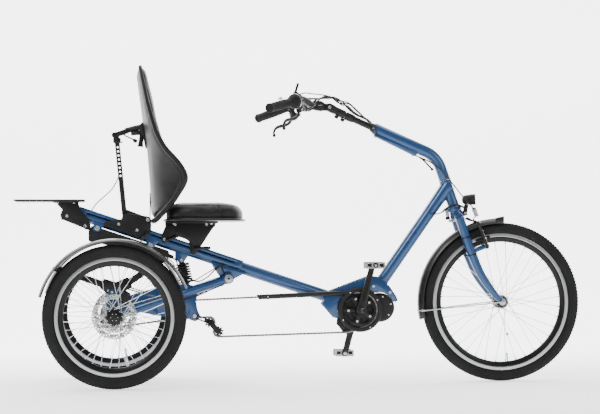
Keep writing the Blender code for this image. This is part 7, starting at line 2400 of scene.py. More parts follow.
def bar_group():
    body = tube(bar_path(), BAR_R, 48, edge=0.001)
    perches, steel = [], []
    for side in (-1, 1):
        start, out, length = bar_end(side)
        pivot, axis, reach, _ = lever_frame(side)
        at = start + out * 0.034
        perches.append(
            tube(
                [at - out * 0.009, at - out * 0.008, at + out * 0.008, at + out * 0.009],
                [0.0172, 0.0182, 0.0182, 0.0172], 48
            )
        )
        neck = carved(
            merged(
                tube([at, at + reach * 0.02], 0.009, 32),
                tube(
                    [at + reach * 0.016, at + reach * 0.028, at + reach * 0.043], [0.0112, 0.0125, 0.0118],
                    40, edge=0.002
                )
            ),
            tube([pivot - axis * 0.005, pivot + axis * 0.005], 0.018, 32, edge=0),
        )
        perches.append(neck)
        back = reach.cross(axis).normalized()
        barrel_dir = (-out * 0.85 + reach * 0.25 + Vector((0.4, 0, -0.1))).normalized()
        barrel_at = at + reach * 0.03
        perches.append(tube([barrel_at, barrel_at + barrel_dir * 0.022], [0.008, 0.0062], 28))
        steel.append(tube([barrel_at + barrel_dir * 0.021, barrel_at + barrel_dir * 0.03], 0.0048, 24))
        perches.append(
            turned(
                [(0, 0), (0.0062, 0), (0.0066, 0.003), (0.0062, 0.007), (0, 0.007)],
                barrel_at + barrel_dir * 0.026, barrel_dir, 18, edge=0.0004
            )
        )
        steel.append(screw(pivot + axis * 0.0108, axis, 0.0048, 0.0022))
        steel.append(screw(pivot - axis * 0.0108, -axis, 0.0048, 0.0022))
        steel.append(screw(at + Vector((0.0162, 0, 0.006)), (0.94, 0, 0.34), 0.004, 0.003))
    piece(
        "handlebar_visual", "bar", [(body, BLACK), (merged(*perches), BLACK), (merged(*steel), STEEL)],
        ["handlebar"]
    )

    for side_name, side in (("right", -1), ("left", 1)):
        start, out, length = bar_end(side)
        first = 0.0825 if side < 0 else 0.05
        end = length + 0.004
        profile = [
            (0.0132, first), (GRIP_R + 0.003, first), (GRIP_R + 0.003, first + 0.0025),
            (GRIP_R + 0.0008, first + 0.0045)
        ]
        count = int((end - 0.012 - first - 0.008) / 0.005)
        for k in range(count):
            a = first + 0.007 + 0.005 * k
            swell = 0.0014 * math.sin(math.pi * (k + 0.5) / count)
            profile += [
                (GRIP_R + swell, a), (GRIP_R + swell, a + 0.0034), (GRIP_R + swell - 0.0008, a + 0.0038),
                (GRIP_R + swell - 0.0008, a + 0.0046)
            ]
        profile += [
            (GRIP_R + 0.0015, end - 0.009), (GRIP_R + 0.0018, end - 0.004), (GRIP_R + 0.0002, end - 0.0008),
            (GRIP_R - 0.004, end), (0, end), (0, end - 0.003), (0.0132, end - 0.0033)
        ]
        sleeve = turned(profile, start, out, 64, edge=0.0003)
        collar = turned(
            [
                (0.0132, first - 0.0002), (GRIP_R + 0.0034, first - 0.0002),
                (GRIP_R + 0.0034, first + 0.0018), (0.0132, first + 0.0018)
            ],
            start, out, 56
        )
        piece(
            f"{side_name}_grip_visual", "bar", [(sleeve, RUBBER), (collar, PLASTIC)], [f"{side_name}_grip"],
        )
        pivot, axis, reach, _ = lever_frame(side)
        hub = tube([pivot - axis * 0.0044, pivot + axis * 0.0044], 0.0084, 36)
        bends = (
            (0, 0), (0.014, 0.017), (0.033, 0.0255), (0.056, 0.0265), (0.086, 0.024), (0.106, 0.028),
            (0.117, 0.038), (0.119, 0.05)
        )
        path = smooth([pivot + out * a + reach * b for a, b in bends], 8)
        radii = list(
            np.interp(
                np.linspace(0, 1, len(path)), [0, 0.2, 0.5, 0.85, 0.95, 1],
                [0.005, 0.0062, 0.0066, 0.0054, 0.0048, 0.0048]
            )
        )
        blade = tube(path, radii, 28, squash=0.72, edge=0.001)
        ball = turned(
            [
                (0, -0.0062), (0.0036, -0.0054), (0.0058, -0.003), (0.0064, 0), (0.0058, 0.003),
                (0.0036, 0.0054), (0, 0.0062)
            ],
            path[-1], out, 28, edge=0
        )
        pin = tube([pivot - axis * 0.0102, pivot + axis * 0.0102], 0.003, 20)
        piece(
            f"{side_name}_brake_lever_visual", f"{side_name}_lever",
            [(merged(hub, blade, ball), BLACK), (pin, STEEL)], [f"{side_name}_brake_lever"]
        )

    start, out, _ = bar_end(-1)
    first = 0.048
    bell_mouth = turned(
        [(0.0132, first), (0.023, first), (
            0.0262, first + 0.0015
        ), (0.0272, first + 0.006), (0.0268, first + 0.013), (0.0235, first + 0.018),
         (0.0205, first + 0.0215), (0.0186, first + 0.026), (0.0178, first + 0.0335),
         (0.0132, first + 0.0335)],
        start, out, 72, edge=0.0006,
    )
    ridges = []
    side_way = out.orthogonal().normalized()
    over = out.cross(side_way)
    for k in range(28):
        a = TURN * k / 28
        lift = side_way * math.cos(a) + over * math.sin(a)
        ridges.append(
            tube(
                [
                    start + out * (first + 0.0215) + lift * 0.0204,
                    start + out * (first + 0.0332) + lift * 0.0177
                ],
                0.0009, 6, edge=0
            )
        )
    silver = turned(
        [
            (0.0268, first + 0.0015), (0.0279, first + 0.0015), (0.0279, first + 0.0034),
            (0.0268, first + 0.0034)
        ],
        start, out, 72, edge=0.0003
    )
    piece(
        "twist_shifter_visual", "shifter", [(merged(bell_mouth, *ridges), RUBBER), (silver, CHROME)],
        ["twist_shifter"]
    )
    clamp = turned(
        [
            (0.013, first - 0.0125), (0.02, first - 0.0125), (0.0245, first - 0.01),
            (0.025, first - 0.0008), (0.013, first - 0.0008)
        ],
        start, out, 56, edge=0.0008
    )
    window = box(
        start + out * (first - 0.011) + Vector((-0.008, -0.006, 0.019)),
        start + out * (first - 0.011) + Vector((0.006, 0.006, 0.026)), 0.0015
    )
    piece("shifter_clamp", "bar", [(merged(clamp, window), PLASTIC)])
    left, left_out, _ = bar_end(1)
    at = left + left_out * 0.0462
    seat = at + Vector((-0.03, 0.004, 0.029))
    dome = turned(
        [
            (0, 0.0118), (0.0036, 0.0113), (0.0066, 0.0096), (0.0088, 0.0068), (0.0096, 0.003),
            (0.0096, 0.0018), (0.0088, 0.0018), (0.008, 0.006), (0.0055, 0.0088), (0, 0.0104)
        ],
        seat, (-0.35, -0.2, 1), 56, edge=0
    )
    strap = turned([(0.0128, -0.003), (0.015, -0.003), (0.015, 0.003), (0.0128, 0.003)], at, left_out, 40)
    post = tube(
        smooth(
            [
                at + Vector((-0.003, 0, 0.0135)), at + Vector((-0.018, 0.002, 0.0215)),
                seat + Vector((0, 0, 0.003))
            ],
            6
        ),
        0.0028, 20
    )
    striker = tube(
        smooth(
            [
                at + Vector((-0.012, 0.006, 0.02)), at + Vector((-0.017, 0.004, 0.03)),
                seat + Vector((0.01, 0, 0.004))
            ],
            5
        ),
        0.0018, 16
    )
    piece("bell", "bar", [(dome, CHROME), (merged(strap, striker), PLASTIC), (post, STEEL)])

    low, high = Vector((0.658, 0, 1.065)), Vector((0.668, 0, 1.097))
    up = (high - low).normalized()
    back = Vector((up.z, 0, -up.x))
    middle = low + up * 0.018
    shell_outline = rounded([(-0.03, -0.0215), (0.03, -0.0215), (0.03, 0.0215), (-0.03, 0.0215)], 0.006)
    corners = []
    for deep in (0.0, 0.0085):
        for y, along in shell_outline:
            corners.append(
                middle + up * along * 0.98 + back * (deep + 0.0006)
                + Vector((0, y * (1 - 0.05 * (deep > 0)), 0))
            )
    count = len(shell_outline)
    faces = [tuple(range(count)), tuple(range(count, 2 * count))] + [
        (k, (k + 1) % count, (k + 1) % count + count, k + count) for k in range(count)
    ]
    shell = bevelled(from_faces(corners, faces), 0.0012)
    glass_outline = rounded([(-0.025, -0.016), (0.025, -0.016), (0.025, 0.0175), (-0.025, 0.0175)], 0.003)
    corners = []
    for deep in (0.0002, 0.0012):
        for y, along in glass_outline:
            corners.append(middle + up * along + back * deep + Vector((0, y, 0)))
    count = len(glass_outline)
    faces = [tuple(range(count)), tuple(range(count, 2 * count))] + [
        (k, (k + 1) % count, (k + 1) % count + count, k + count) for k in range(count)
    ]
    glass = from_faces(corners, faces)
    stalk = plate(
        rounded(
            [
                (0.664, 1.072), (0.672, 1.07), (0.684, 1.06), (0.706, 1.046), (0.712, 1.0376),
                (0.694, 1.0336), (0.684, 1.048), (0.668, 1.06)
            ],
            0.003
        ),
        -0.009, 0.009, edge=0.001
    )
    ring = turned(
        [
            (0.013, -0.007), (0.0175, -0.007), (0.0178, -0.005), (0.0178, 0.005), (0.0175, 0.007),
            (0.013, 0.007)
        ],
        (BAR_CLAMP[0], -0.032, BAR_CLAMP[1]), (0, 1, 0), 48
    )
    keys = [
        turned(
            [(0, 0), (0.0028, 0), (0.0026, 0.0008), (0, 0.001)],
            middle - up * 0.0185 + Vector((0, y, 0)) + back * 0.0006, -back, 20
        )
        for y in (-0.012, 0, 0.012)
    ]
    screws = [screw((0.69, s * 0.0088, 1.05), (0, s, 0), 0.0034, 0.0018) for s in (-1, 1)]
    piece(
        "display_visual", "bar",
        [
            (merged(shell, stalk, ring), PLASTIC), (glass, SCREEN), (merged(*keys), RUBBER),
            (merged(*screws), STEEL)
        ],
        ["display"]
    )


def stem_group():
    low = MOUTH - NECK_UP * 0.13
    knee = MOUTH + NECK_UP * 0.1205
    joint = Vector((TILT_JOINT[0], 0, TILT_JOINT[1]))
    back = (knee - joint).normalized()
    over = Vector((-back.z, 0, back.x))
    body = tube(
        [low, low.lerp(knee, 0.5), knee - NECK_UP * 0.006, knee + back * 0.0, joint + back * 0.017], 0.012,
        48, edge=0.001
    )
    sleeve = tube([knee - NECK_UP * 0.03, knee - NECK_UP * 0.002], [0.015, 0.0158], 48, edge=0.0015)
    shell = tube([knee + back * -0.002, joint + back * 0.03], [0.016, 0.015], 44, edge=0.002)
    heading = math.atan2(back.z, back.x)
    ears, steel = [], []
    for side in (-1, 1):
        far = joint + back * 0.034
        outline = circle(TILT_JOINT, 0.015, 20, heading + math.pi / 2, math.pi) + [
            ((far - over * 0.0125).x, (far - over * 0.0125).z),
            ((far + over * 0.0125).x, (far + over * 0.0125).z)
        ]
        ears.append(plate(outline, side * 0.0125, side * 0.0175, edge=0.0012))
        steel.append(screw((TILT_JOINT[0], side * 0.0175, TILT_JOINT[1]), (0, side, 0), 0.0062, 0.0028))
    bridge_points = [
        joint + back * 0.0152 - over * 0.0115, joint + back * 0.034 - over * 0.0125,
        joint + back * 0.034 + over * 0.0125, joint + back * 0.0152 + over * 0.0115
    ]
    bridge = plate([(p.x, p.z) for p in bridge_points], -0.017, 0.017, edge=0.001)
    pin = across(*TILT_JOINT, -0.0135, 0.0135, 0.0044, 24)
    under = -over if over.z > 0 else over
    knobs = []
    for share in (0.4, 0.02):
        at = knee.lerp(joint, share) + under * 0.013
        knobs.append(tube([at, at + under * 0.009], 0.0048, 20))
        knobs.append(
            turned(
                [
                    (0, 0.003), (0.0074, 0.003), (0.0082, 0.005), (0.0078, 0.0105), (0.005, 0.0125),
                    (0, 0.0128)
                ],
                at, under, 24, edge=0.0006
            )
        )
    clip_at = MOUTH + NECK_UP * 0.088
    band = turned(
        [(0.0118, -0.004), (0.0138, -0.004), (0.0138, 0.004), (0.0118, 0.004)], clip_at, NECK_UP, 40
    )
    piece(
        "stem_post_visual", "post",
        [
            (merged(body, sleeve, shell, bridge, *ears, *knobs), BLACK), (merged(*steel, pin), STEEL),
            (band, RUBBER)
        ],
        ["stem_post"]
    )
    x, z = BAR_CLAMP
    bar_hole = across(x, z, -0.05, 0.05, BAR_R + 0.0005, 48, edge=0)
    split = plate(
        [(x - 0.03, z + 0.0034), (x - 0.01, z + 0.0014), (x - 0.01, z - 0.0002), (x - 0.03, z + 0.0018)],
        -0.026, 0.026, edge=0
    )
    clamp = carved(across(x, z, -0.024, 0.024, 0.0195, 56, edge=0.0015), bar_hole, split)
    knuckle = carved(
        across(*TILT_JOINT, -0.0119, 0.0119, 0.0146, 44, edge=0.001),
        across(*TILT_JOINT, -0.03, 0.03, 0.005, 24, edge=0)
    )
    block = plate(
        rounded(
            [
                (x + 0.0148, z + 0.019), (0.76, z + 0.0185), (0.7725, z + 0.011), (0.7725, z - 0.0165),
                (0.76, z - 0.0195), (x + 0.0148, z - 0.014)
            ],
            0.005
        ),
        -0.0168, 0.0168, edge=0.0026
    )
    tongue = plate(
        rounded(
            [(0.768, z + 0.0095), (0.784, z + 0.0085), (0.784, z - 0.0175), (0.768, z - 0.0175)], 0.002
        ),
        -0.0119, 0.0119, edge=0.001
    )
    cap = plate(
        rounded(
            [
                (x - 0.0245, z + 0.01), (x - 0.01, z + 0.0215), (x - 0.006, z + 0.017),
                (x - 0.0195, z + 0.0055)
            ],
            0.002
        ),
        -0.0215, 0.0215, edge=0.001
    )
    head = merged(clamp, knuckle, block, tongue, cap)
    bolts = [screw((x - 0.0175, y, z + 0.016), (-0.62, 0, 0.78), 0.004, 0.003) for y in (-0.014, 0.014)]
    bolts += [
        screw((0.734, -0.017, 1.022), (0, -1, 0), 0.0058, 0.0026),
        # Thin steel strip on the head's side: a painted highlight, a bright dash where light glints on the
        # black head
        box((0.749, -0.0174, 1.0192), (0.764, -0.0168, 1.0212), 0.0002)
    ]
    piece("stem_head_visual", "bar", [(head, BLACK), (merged(*bolts), STEEL)], ["stem_head"])


def bar_hoses():
    """Brake, shift and display leads: over the tilt joint to a clip on the post, then to the gooseneck."""
    clip = MOUTH + NECK_UP * 0.088
    over = Vector((-NECK_UP.z, 0, NECK_UP.x))
    over = over if over.z > 0 else -over
    routes = [
        (
            [
                (0.6733, -0.1385, 0.9974), (0.6885, -0.1242, 0.9988), (0.714, -0.106, 1.006),
                (0.742, -0.076, 1.032), (0.768, -0.048, 1.05), (0.796, -0.035, 1.047),
                (0.824, -0.033, 1.027)
            ],
            -0.034, 0.0026
        ),
        (
            [
                (0.6733, 0.1385, 0.9974), (0.69, 0.121, 1.001), (0.718, 0.086, 1.022), (0.748, 0.05, 1.045),
                (0.782, 0.02, 1.052), (0.812, 0.004, 1.044), (0.835, -0.006, 1.023)
            ],
            -0.012, 0.0026
        ),
        (
            [
                (0.664, -0.15, 1.048), (0.688, -0.134, 1.056), (0.718, -0.098, 1.056),
                (0.756, -0.056, 1.056), (0.795, -0.032, 1.05), (0.828, -0.022, 1.034)
            ],
            -0.022, 0.0022
        ),
        (
            [
                (0.684, -0.005, 1.056), (0.708, -0.012, 1.047), (0.74, -0.02, 1.045),
                (0.776, -0.024, 1.045), (0.806, -0.028, 1.05), (0.834, -0.03, 1.036)
            ],
            -0.029, 0.0019
        ),
        (
            [
                (0.664, 0.15, 1.046), (0.7, 0.118, 1.05), (0.745, 0.06, 1.048), (0.782, 0.026, 1.048),
                (0.818, 0.008, 1.046), (0.845, -0.006, 1.031)
            ],
            0.004, 0.0022
        ),
    ]
    first, second = [], []
    for k, (start, y, radius) in enumerate(routes):
        lift = 0.0185 + 0.01 * (k % 3 == 0) + 0.004 * (k % 2)
        at_clip = clip + over * lift + Vector((0, y, 0))
        after = MOUTH + NECK_UP * 0.04 + over * (0.015 + 0.002 * (k % 3)) + Vector((0, y * 0.9, 0))
        before = MOUTH + NECK_UP * 0.128 + over * (lift + 0.012) + Vector((0, y * 1.05, 0))
        path = smooth([*start, before, at_clip, after], 8)
        cut = 8 * (len(start) + 1)
        first.append(tube(path[:cut + 1], radius, 16, edge=0.0002))
        dive = Vector((0, -0.0245 if y < -0.01 else 0.0235, 0))
        ending = MOUTH + NECK_UP * 0.004 + dive + over * 0.002
        last = MOUTH - NECK_UP * 0.016 + dive * 0.62 - over * 0.0225
        tail = smooth([path[cut - 8], path[cut], after, ending, last], 8)
        second.append(tube(tail[8:], radius, 16, edge=0.0002))
    over_joint = piece(
        "upper_hoses", None, [(merged(*first), JACKET)], ["handlebar_cables"]
    )
    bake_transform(over_joint)
    down = piece("lower_hoses", None, [(merged(*second), JACKET)])
    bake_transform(down)


bar_group()
stem_group()
bar_hoses()


# Seat group
SEAT_MIDDLE, SEAT_HALF, SEAT_WIDE, SEAT_BASE = 0.329, 0.149, 0.21, 0.5912
BACK_LEVELS = (
    (0.59, 0.1395, 0.1527, 0.6, 0.0),
    (0.605, 0.1385, 0.155, 0.66, 0.016),
    (0.63, 0.137, 0.168, 0.76, 0.032),
    (0.66, 0.1355, 0.181, 0.86, 0.053),
    (0.735, 0.1318, 0.188, 1.0, 0.098),
    (0.765, 0.1295, 0.1835, 1.0, 0.095),
    (0.8, 0.127, 0.178, 0.98, 0.077),
    (0.85, 0.123, 0.17, 0.94, 0.0365),
    (0.9, 0.117, 0.162, 0.9, 0.016),
    (0.96, 0.106, 0.15, 0.85, 0.008),
    (1.03, 0.0975, 0.1385, 0.8, 0.0),
    (1.145, 0.0809, 0.1106, 0.63, 0.0),
    (1.16, 0.0885, 0.0995, 0.5, 0.0),
)


def power(value, exponent):
    return math.copysign(abs(value) ** exponent, value)


def lofted(rings):
    """A closed body over rings of equal count."""
    count = len(rings[0])
    faces = [tuple(range(count)), tuple(range((len(rings) - 1) * count, len(rings) * count))]
    for r in range(len(rings) - 1):
        for k in range(count):
            a, b = r * count + k, r * count + (k + 1) % count
            faces.append((a, b, b + count, a + count))
    return from_faces([p for ring in rings for p in ring], faces)


def points_of(mesh):
    values = np.empty(len(mesh.vertices) * 3)
    mesh.vertices.foreach_get("co", values)
    return values.reshape(-1, 3)


def puffed(shape, voxel, cap, floor=None, pressure=4.0):
    """The shape blown up as cloth; no point moves past the cap or goes below the floor."""
    helper = as_object(shape, "pad")
    step = helper.modifiers.new("remesh", "REMESH")
    step.mode = "VOXEL"
    step.voxel_size = voxel
    mesh = evaluated(helper)
    drop(helper)
    helper = link_object(mesh, "pad")
    rest = points_of(mesh)
    cloth = helper.modifiers.new("cloth", "CLOTH").settings
    cloth.use_pressure = True
    cloth.uniform_pressure_force = pressure
    cloth.effector_weights.gravity = 0
    for number in range(1, 21):
        bpy.context.scene.frame_set(number)
    swollen = evaluated(helper)
    move = points_of(swollen) - rest
    bpy.data.meshes.remove(swollen)
    helper.modifiers.clear()
    bpy.context.scene.frame_set(1)
    length = np.maximum(np.linalg.norm(move, axis=1, keepdims=True), 1e-9)
    now = rest + move / length * cap * np.tanh(length / cap)
    if floor is not None:
        now[:, 2] = np.maximum(now[:, 2], floor)
    mesh.vertices.foreach_set("co", now.ravel())
    step = helper.modifiers.new("even", "SMOOTH")
    step.factor, step.iterations = 0.5, 4
    step = helper.modifiers.new("finer", "SUBSURF")
    step.levels = step.render_levels = 1
    result = bmesh.new()
    made = evaluated(helper)
    result.from_mesh(made)
    bpy.data.meshes.remove(made)
    drop(helper)
    if floor is not None:
        for vert in result.verts:
            vert.co.z = max(vert.co.z, floor)
    result.normal_update()
    return result


def pressed(shape, paths, depth, width):
    """Sews a channel into the shape along each path."""
    spots = [p for path in paths for p in path]
    tree = KDTree(len(spots))
    for i, spot in enumerate(spots):
        tree.insert(spot, i)
    tree.balance()
    for vert in shape.verts:
        _, _, gap = tree.find(vert.co)
        if gap < 3 * width:
            vert.co -= vert.normal * depth * math.exp(-((gap / width) ** 2))
    shape.normal_update()


def laid(shape, points, lift=0.0):
    """The points moved onto the shape's surface."""
    tree = BVHTree.FromBMesh(shape)
    result = []
    for point in points:
        spot, normal, _, _ = tree.find_nearest(point)
        result.append(spot + normal * lift)
    return result


def dense(points, step):
    path = [Vector(points[0])]
    for a, b in zip(points, points[1:]):
        count = max(1, round((Vector(b) - Vector(a)).length / step))
        path += [Vector(a).lerp(Vector(b), (k + 1) / count) for k in range(count)]
    return path


def stitches(path, shape, spacing=0.0045):
    """Short thread stitches laid along a path on the surface."""
    spots = dense(path, spacing)
    tree = BVHTree.FromBMesh(shape)
    places = []
    for a, b in zip(spots, spots[1:]):
        spot, normal, _, _ = tree.find_nearest(a.lerp(b, 0.5))
        along = (b - a).normalized()
        side = normal.cross(along).normalized()
        places.append(
            Matrix.Translation(spot + normal * 0.0002) @ Matrix(
                (along, side, along.cross(side))
            ).transposed().to_4x4()
        )
    unit = tube([(-spacing * 0.36, 0, 0), (0, 0, 0.0003), (spacing * 0.36, 0, 0)], 0.00045, 6, edge=0)
    return repeated(unit, places, THREAD)


def seat_ring(scale, height, steps=88, inset=0.0):
    ring = []
    for k in range(steps):
        angle = TURN * k / steps
        x = SEAT_MIDDLE + (SEAT_HALF - inset) * scale * power(math.cos(angle), 0.55)
        y = (SEAT_WIDE - inset) * scale * power(math.sin(angle), 0.55)
        forward = max(0.0, (x - 0.368) / 0.11)
        ring.append(Vector((x, y, SEAT_BASE + height - 0.2 * forward**2 * height)))
    return ring


def seat_cushion():
    levels = (
        (0.9, 0.0), (0.955, 0.001), (0.97, 0.006), (0.97, 0.015), (0.975, 0.021), (0.975, 0.029),
        (0.962, 0.038),
        (0.936, 0.0455), (0.896, 0.052), (0.84, 0.057), (0.76, 0.06), (0.64, 0.0618), (0.48, 0.0628),
        (0.3, 0.063), (0.12, 0.0626),
    )
    flange_levels = (
        (0.93, 0.0), (0.985, 0.0005), (0.998, 0.002), (1.0, 0.0045), (0.998, 0.007), (0.985, 0.0086),
        (0.95, 0.0098), (0.9, 0.01)
    )
    flange = lofted([seat_ring(scale, height, 160) for scale, height in flange_levels])
    body = puffed(
        lofted([seat_ring(scale, height, inset=0.0025) for scale, height in levels]), 0.0048, 0.005,
        SEAT_BASE
    )
    foot = laid(body, seat_ring(0.978, 0.0112, 200) + [seat_ring(0.978, 0.0112, 200)[0]])
    nose = []
    for side in (-1, 1):
        nose.append(
            [
                Vector((0.386, side * 0.208, 0.602)), Vector((0.38, side * 0.207, 0.622)),
                Vector((0.373, side * 0.196, 0.642)), Vector((0.364, side * 0.165, 0.655))
            ]
        )
    seam = smooth(
        nose[0] + [Vector((0.36, -0.1, 0.657)), Vector((0.357, 0, 0.656)), Vector((0.36, 0.1, 0.657))]
        + list(reversed(nose[1])),
        14
    )
    seam = laid(body, dense(seam, 0.003))
    top_edge = laid(body, dense(seat_ring(0.875, 0.06, 160), 0.004))
    top_edge.append(top_edge[0])
    pressed(body, [foot], 0.0026, 0.0034)
    pressed(body, [seam], 0.0024, 0.0036)
    pressed(body, [top_edge], 0.0012, 0.0032)
    cord = tube(laid(body, top_edge, 0.0004), 0.0013, 8, edge=0)
    threads = merged(
        stitches(seam, body),
        stitches(laid(body, dense([p + Vector((0.006, 0, 0)) for p in seam], 0.004)), body)
    )
    made = piece(
        "seat_cushion_visual", "seat", [(body, VINYL), (merged(cord, flange), PIPING), (threads, THREAD)],
        ["seat_cushion"], 60
    )


def back_section(height):
    heights = [level[0] for level in BACK_LEVELS]
    return [float(np.interp(height, heights, [level[i] for level in BACK_LEVELS])) for i in range(1, 5)]


def back_point(height, angle, inset=0.0):
    """A point of the backrest's skin: angle 0 is its front, a quarter turn its left edge."""
    rear, front, share, wing = [
        sum(back_section(height + d)[i] * w for d, w in ((-0.012, 0.25), (0.0, 0.5), (0.012, 0.25)))
        for i in range(4)
    ]
    c, s = power(math.cos(angle), 0.8), power(math.sin(angle), 0.8)
    edge = abs(s) ** 2.2
    x = (rear + front) / 2 + ((front - rear) / 2 - inset) * (1 - 0.25 * edge) * c + wing * edge
    return Vector((x, (0.22 * share - inset) * s, height))


def backrest():
    heights = [0.59 + 0.57 * k / 60 for k in range(61)]
    rings = []
    for height in heights:
        end = min(height - 0.59, 1.16 - height)
        inset = 0.0015 + 0.006 * max(0.0, 1 - end / 0.01) ** 2
        rings.append([back_point(height, TURN * k / 80, inset) for k in range(80)])
    body = puffed(lofted(rings), 0.0056, 0.005)
    shell_lines = []
    for side in (-1, 1):
        line = [back_point(h, side * math.radians(108)) for h in np.linspace(0.6, 1.15, 100)]
        shell_lines.append(laid(body, line))
    over_top = laid(
        body,
        [Vector((0.093, y, 1.158)) for y in np.linspace(shell_lines[0][-1].y, shell_lines[1][-1].y, 40)]
    )
    under = laid(
        body, [Vector((0.141, y, 0.6)) for y in np.linspace(shell_lines[0][0].y, shell_lines[1][0].y, 40)]
    )
    rim = shell_lines[0] + over_top[1:-1] + list(reversed(shell_lines[1])) + list(reversed(under[1:-1]))
    rim.append(rim[0])
    panels = []
    for side in (-1, 1):
        panels.append(
            laid(body, [back_point(h, side * math.radians(62)) for h in np.linspace(0.625, 1.135, 120)])
        )
    middle = laid(body, [Vector((0.2, y, 0.905)) for y in np.linspace(-0.16, 0.16, 90)])
    lower = laid(body, [Vector((0.22, y, 0.72)) for y in np.linspace(-0.17, 0.17, 90)])
    pressed(body, [rim], 0.0022, 0.0036)
    pressed(body, panels + [middle, lower], 0.0026, 0.0042)
    edges = []
    for side in (-1, 1):
        edges.append(
            [
                back_point(h, side * math.radians(88)) + Vector((-0.004, -side * 0.005, 0))
                for h in np.linspace(0.598, 1.146, 70)
            ]
        )
    arch = [Vector((0.0945, y, 1.1535 - 0.006 * (y / 0.115) ** 4)) for y in np.linspace(-0.108, 0.108, 20)]
    chin = [Vector((0.145, y, 0.5945)) for y in np.linspace(0.118, -0.118, 16)]
    roll_path = edges[0] + arch + list(reversed(edges[1])) + chin
    roll_path = smooth([Vector(roll_path[k]) for k in range(0, len(roll_path), 3)] + [roll_path[0]], 5)
    sizes = [0.0065 + 0.0035 * min(1.0, max(0.0, 1.02 - p.z) / 0.2) for p in roll_path]
    roll = tube(roll_path, sizes, 20, edge=0.002)
    cord = tube(laid(body, dense(rim, 0.004), 0.0006), 0.0022, 10, edge=0)
    threads = merged(*[stitches(laid(body, path), body) for path in panels + [middle, lower]])
    made = piece(
        "backrest_visual", "back", [(merged(body, roll), VINYL), (cord, PIPING), (threads, THREAD)],
        ["backrest"], 60
    )


def strap_plate(outline, side, inner, thick, edge=0.0009):
    return plate(outline, side * inner, side * (inner + thick), edge=edge)


def slot_hardware(spots):
    """Pins in the rail's slot, with a screw head and a nut outside the side plates."""
    steel = []
    for s in spots:
        x, z = on_tube(s, 0.0098)
        steel.append(across(x, z, -0.0352, 0.0352, 0.003, 20))
        for side in (-1, 1):
            steel.append(screw((x, side * 0.0343, z), (0, side, 0), 0.0056, 0.0034, side > 0))
    return steel


def cam_lever(points, radii):
    """A clamp lever: a bar of varying thickness along a smooth path."""
    path = smooth(points, 6)
    spread = np.interp(np.linspace(0, 1, len(path)), np.linspace(0, 1, len(radii)), radii)
    return tube(path, list(spread), 24, edge=0.0012)


def seat_bracket():
    outline = rounded([
        (0.192, 0.586), (0.374, 0.586), (0.35, 0.553), (0.318, 0.504), (0.3, 0.476), (0.289, 0.468),
        (0.277, 0.474), (0.274, 0.518),
        (0.262, 0.527), (0.236, 0.535), (0.205, 0.522), (0.18, 0.513), (0.17, 0.52), (0.174, 0.545),
    ], 0.006)
    dark, steel = [], slot_hardware((-0.514, -0.396))
    for side in (-1, 1):
        dark.append(strap_plate(outline, side, 0.0303, 0.004))
        for x in (0.221, 0.336):
            steel.append(screw((x, side * 0.0343, 0.5805), (0, side, 0), 0.005, 0.0026))
        for x in (0.215, 0.35):
            steel.append(screw((x, side * 0.075, 0.5845), (0, 0, -1), 0.006, 0.0034, True))
    dark.append(box((0.19, -0.095, 0.5845), (0.376, 0.095, 0.5907), 0.0012))
    for x in (0.205, 0.362):
        dark.append(box((x - 0.006, -0.0305, 0.572), (x + 0.006, 0.0305, 0.585), 0.001))
    lip = box((0.186, -0.06, 0.576), (0.1895, 0.06, 0.59), 0.0008)
    lever = cam_lever(
        [
            (0.292, -0.0323, 0.49), (0.292, -0.0403, 0.49), (0.3, -0.0463, 0.4935), (0.325, -0.0463, 0.494),
            (0.35, -0.0463, 0.4945)
        ],
        [0.005, 0.0052, 0.005, 0.0056, 0.005]
    )
    hub = across(0.292, 0.49, -0.0425, -0.0343, 0.0095, 32, edge=0.001)
    release = cam_lever(
        [(0.186, -0.0352, 0.5235), (0.2, -0.038, 0.527), (0.226, -0.0385, 0.5385)], [0.0062, 0.0046, 0.004]
    )
    piece(
        "seat_bracket_visual", "seat",
        [(merged(*dark, lip, lever, hub, release), BLACK), (merged(*steel), STEEL)], ["seat_bracket"],
    )


def back_base():
    outline = rounded([
        (0.026, 0.6), (0.03, 0.6165), (0.046, 0.62), (0.118, 0.611), (0.131, 0.6075), (0.1345, 0.596),
        (0.134, 0.556), (0.118, 0.534),
        (0.1, 0.526), (0.014, 0.56), (-0.034, 0.573), (-0.04, 0.584), (-0.03, 0.592),
    ], 0.005)
    dark, steel = [], slot_hardware((-0.69, -0.62))
    for side in (-1, 1):
        dark.append(strap_plate(outline, side, 0.0303, 0.004))
        steel.append(screw((RECLINE[0], side * 0.0343, RECLINE[1]), (0, side, 0), 0.007, 0.003))
    dark.append(across(*RECLINE, -0.0323, 0.0323, 0.0045, 28))
    dark.append(across(0.04, 0.607, -0.0303, 0.0303, 0.005, 28))
    lever = cam_lever(
        [(0.12, -0.0323, 0.548), (0.1225, -0.0433, 0.546), (0.108, -0.046, 0.534), (0.094, -0.0463, 0.521)],
        [0.0045, 0.005, 0.0048, 0.006]
    )
    hub = across(0.12, 0.548, -0.0425, -0.0343, 0.0088, 32, edge=0.001)
    piece(
        "backrest_plate_visual", "back_base", [(merged(*dark, lever, hub), BLACK), (merged(*steel), STEEL)],
        ["backrest_plate"]
    )


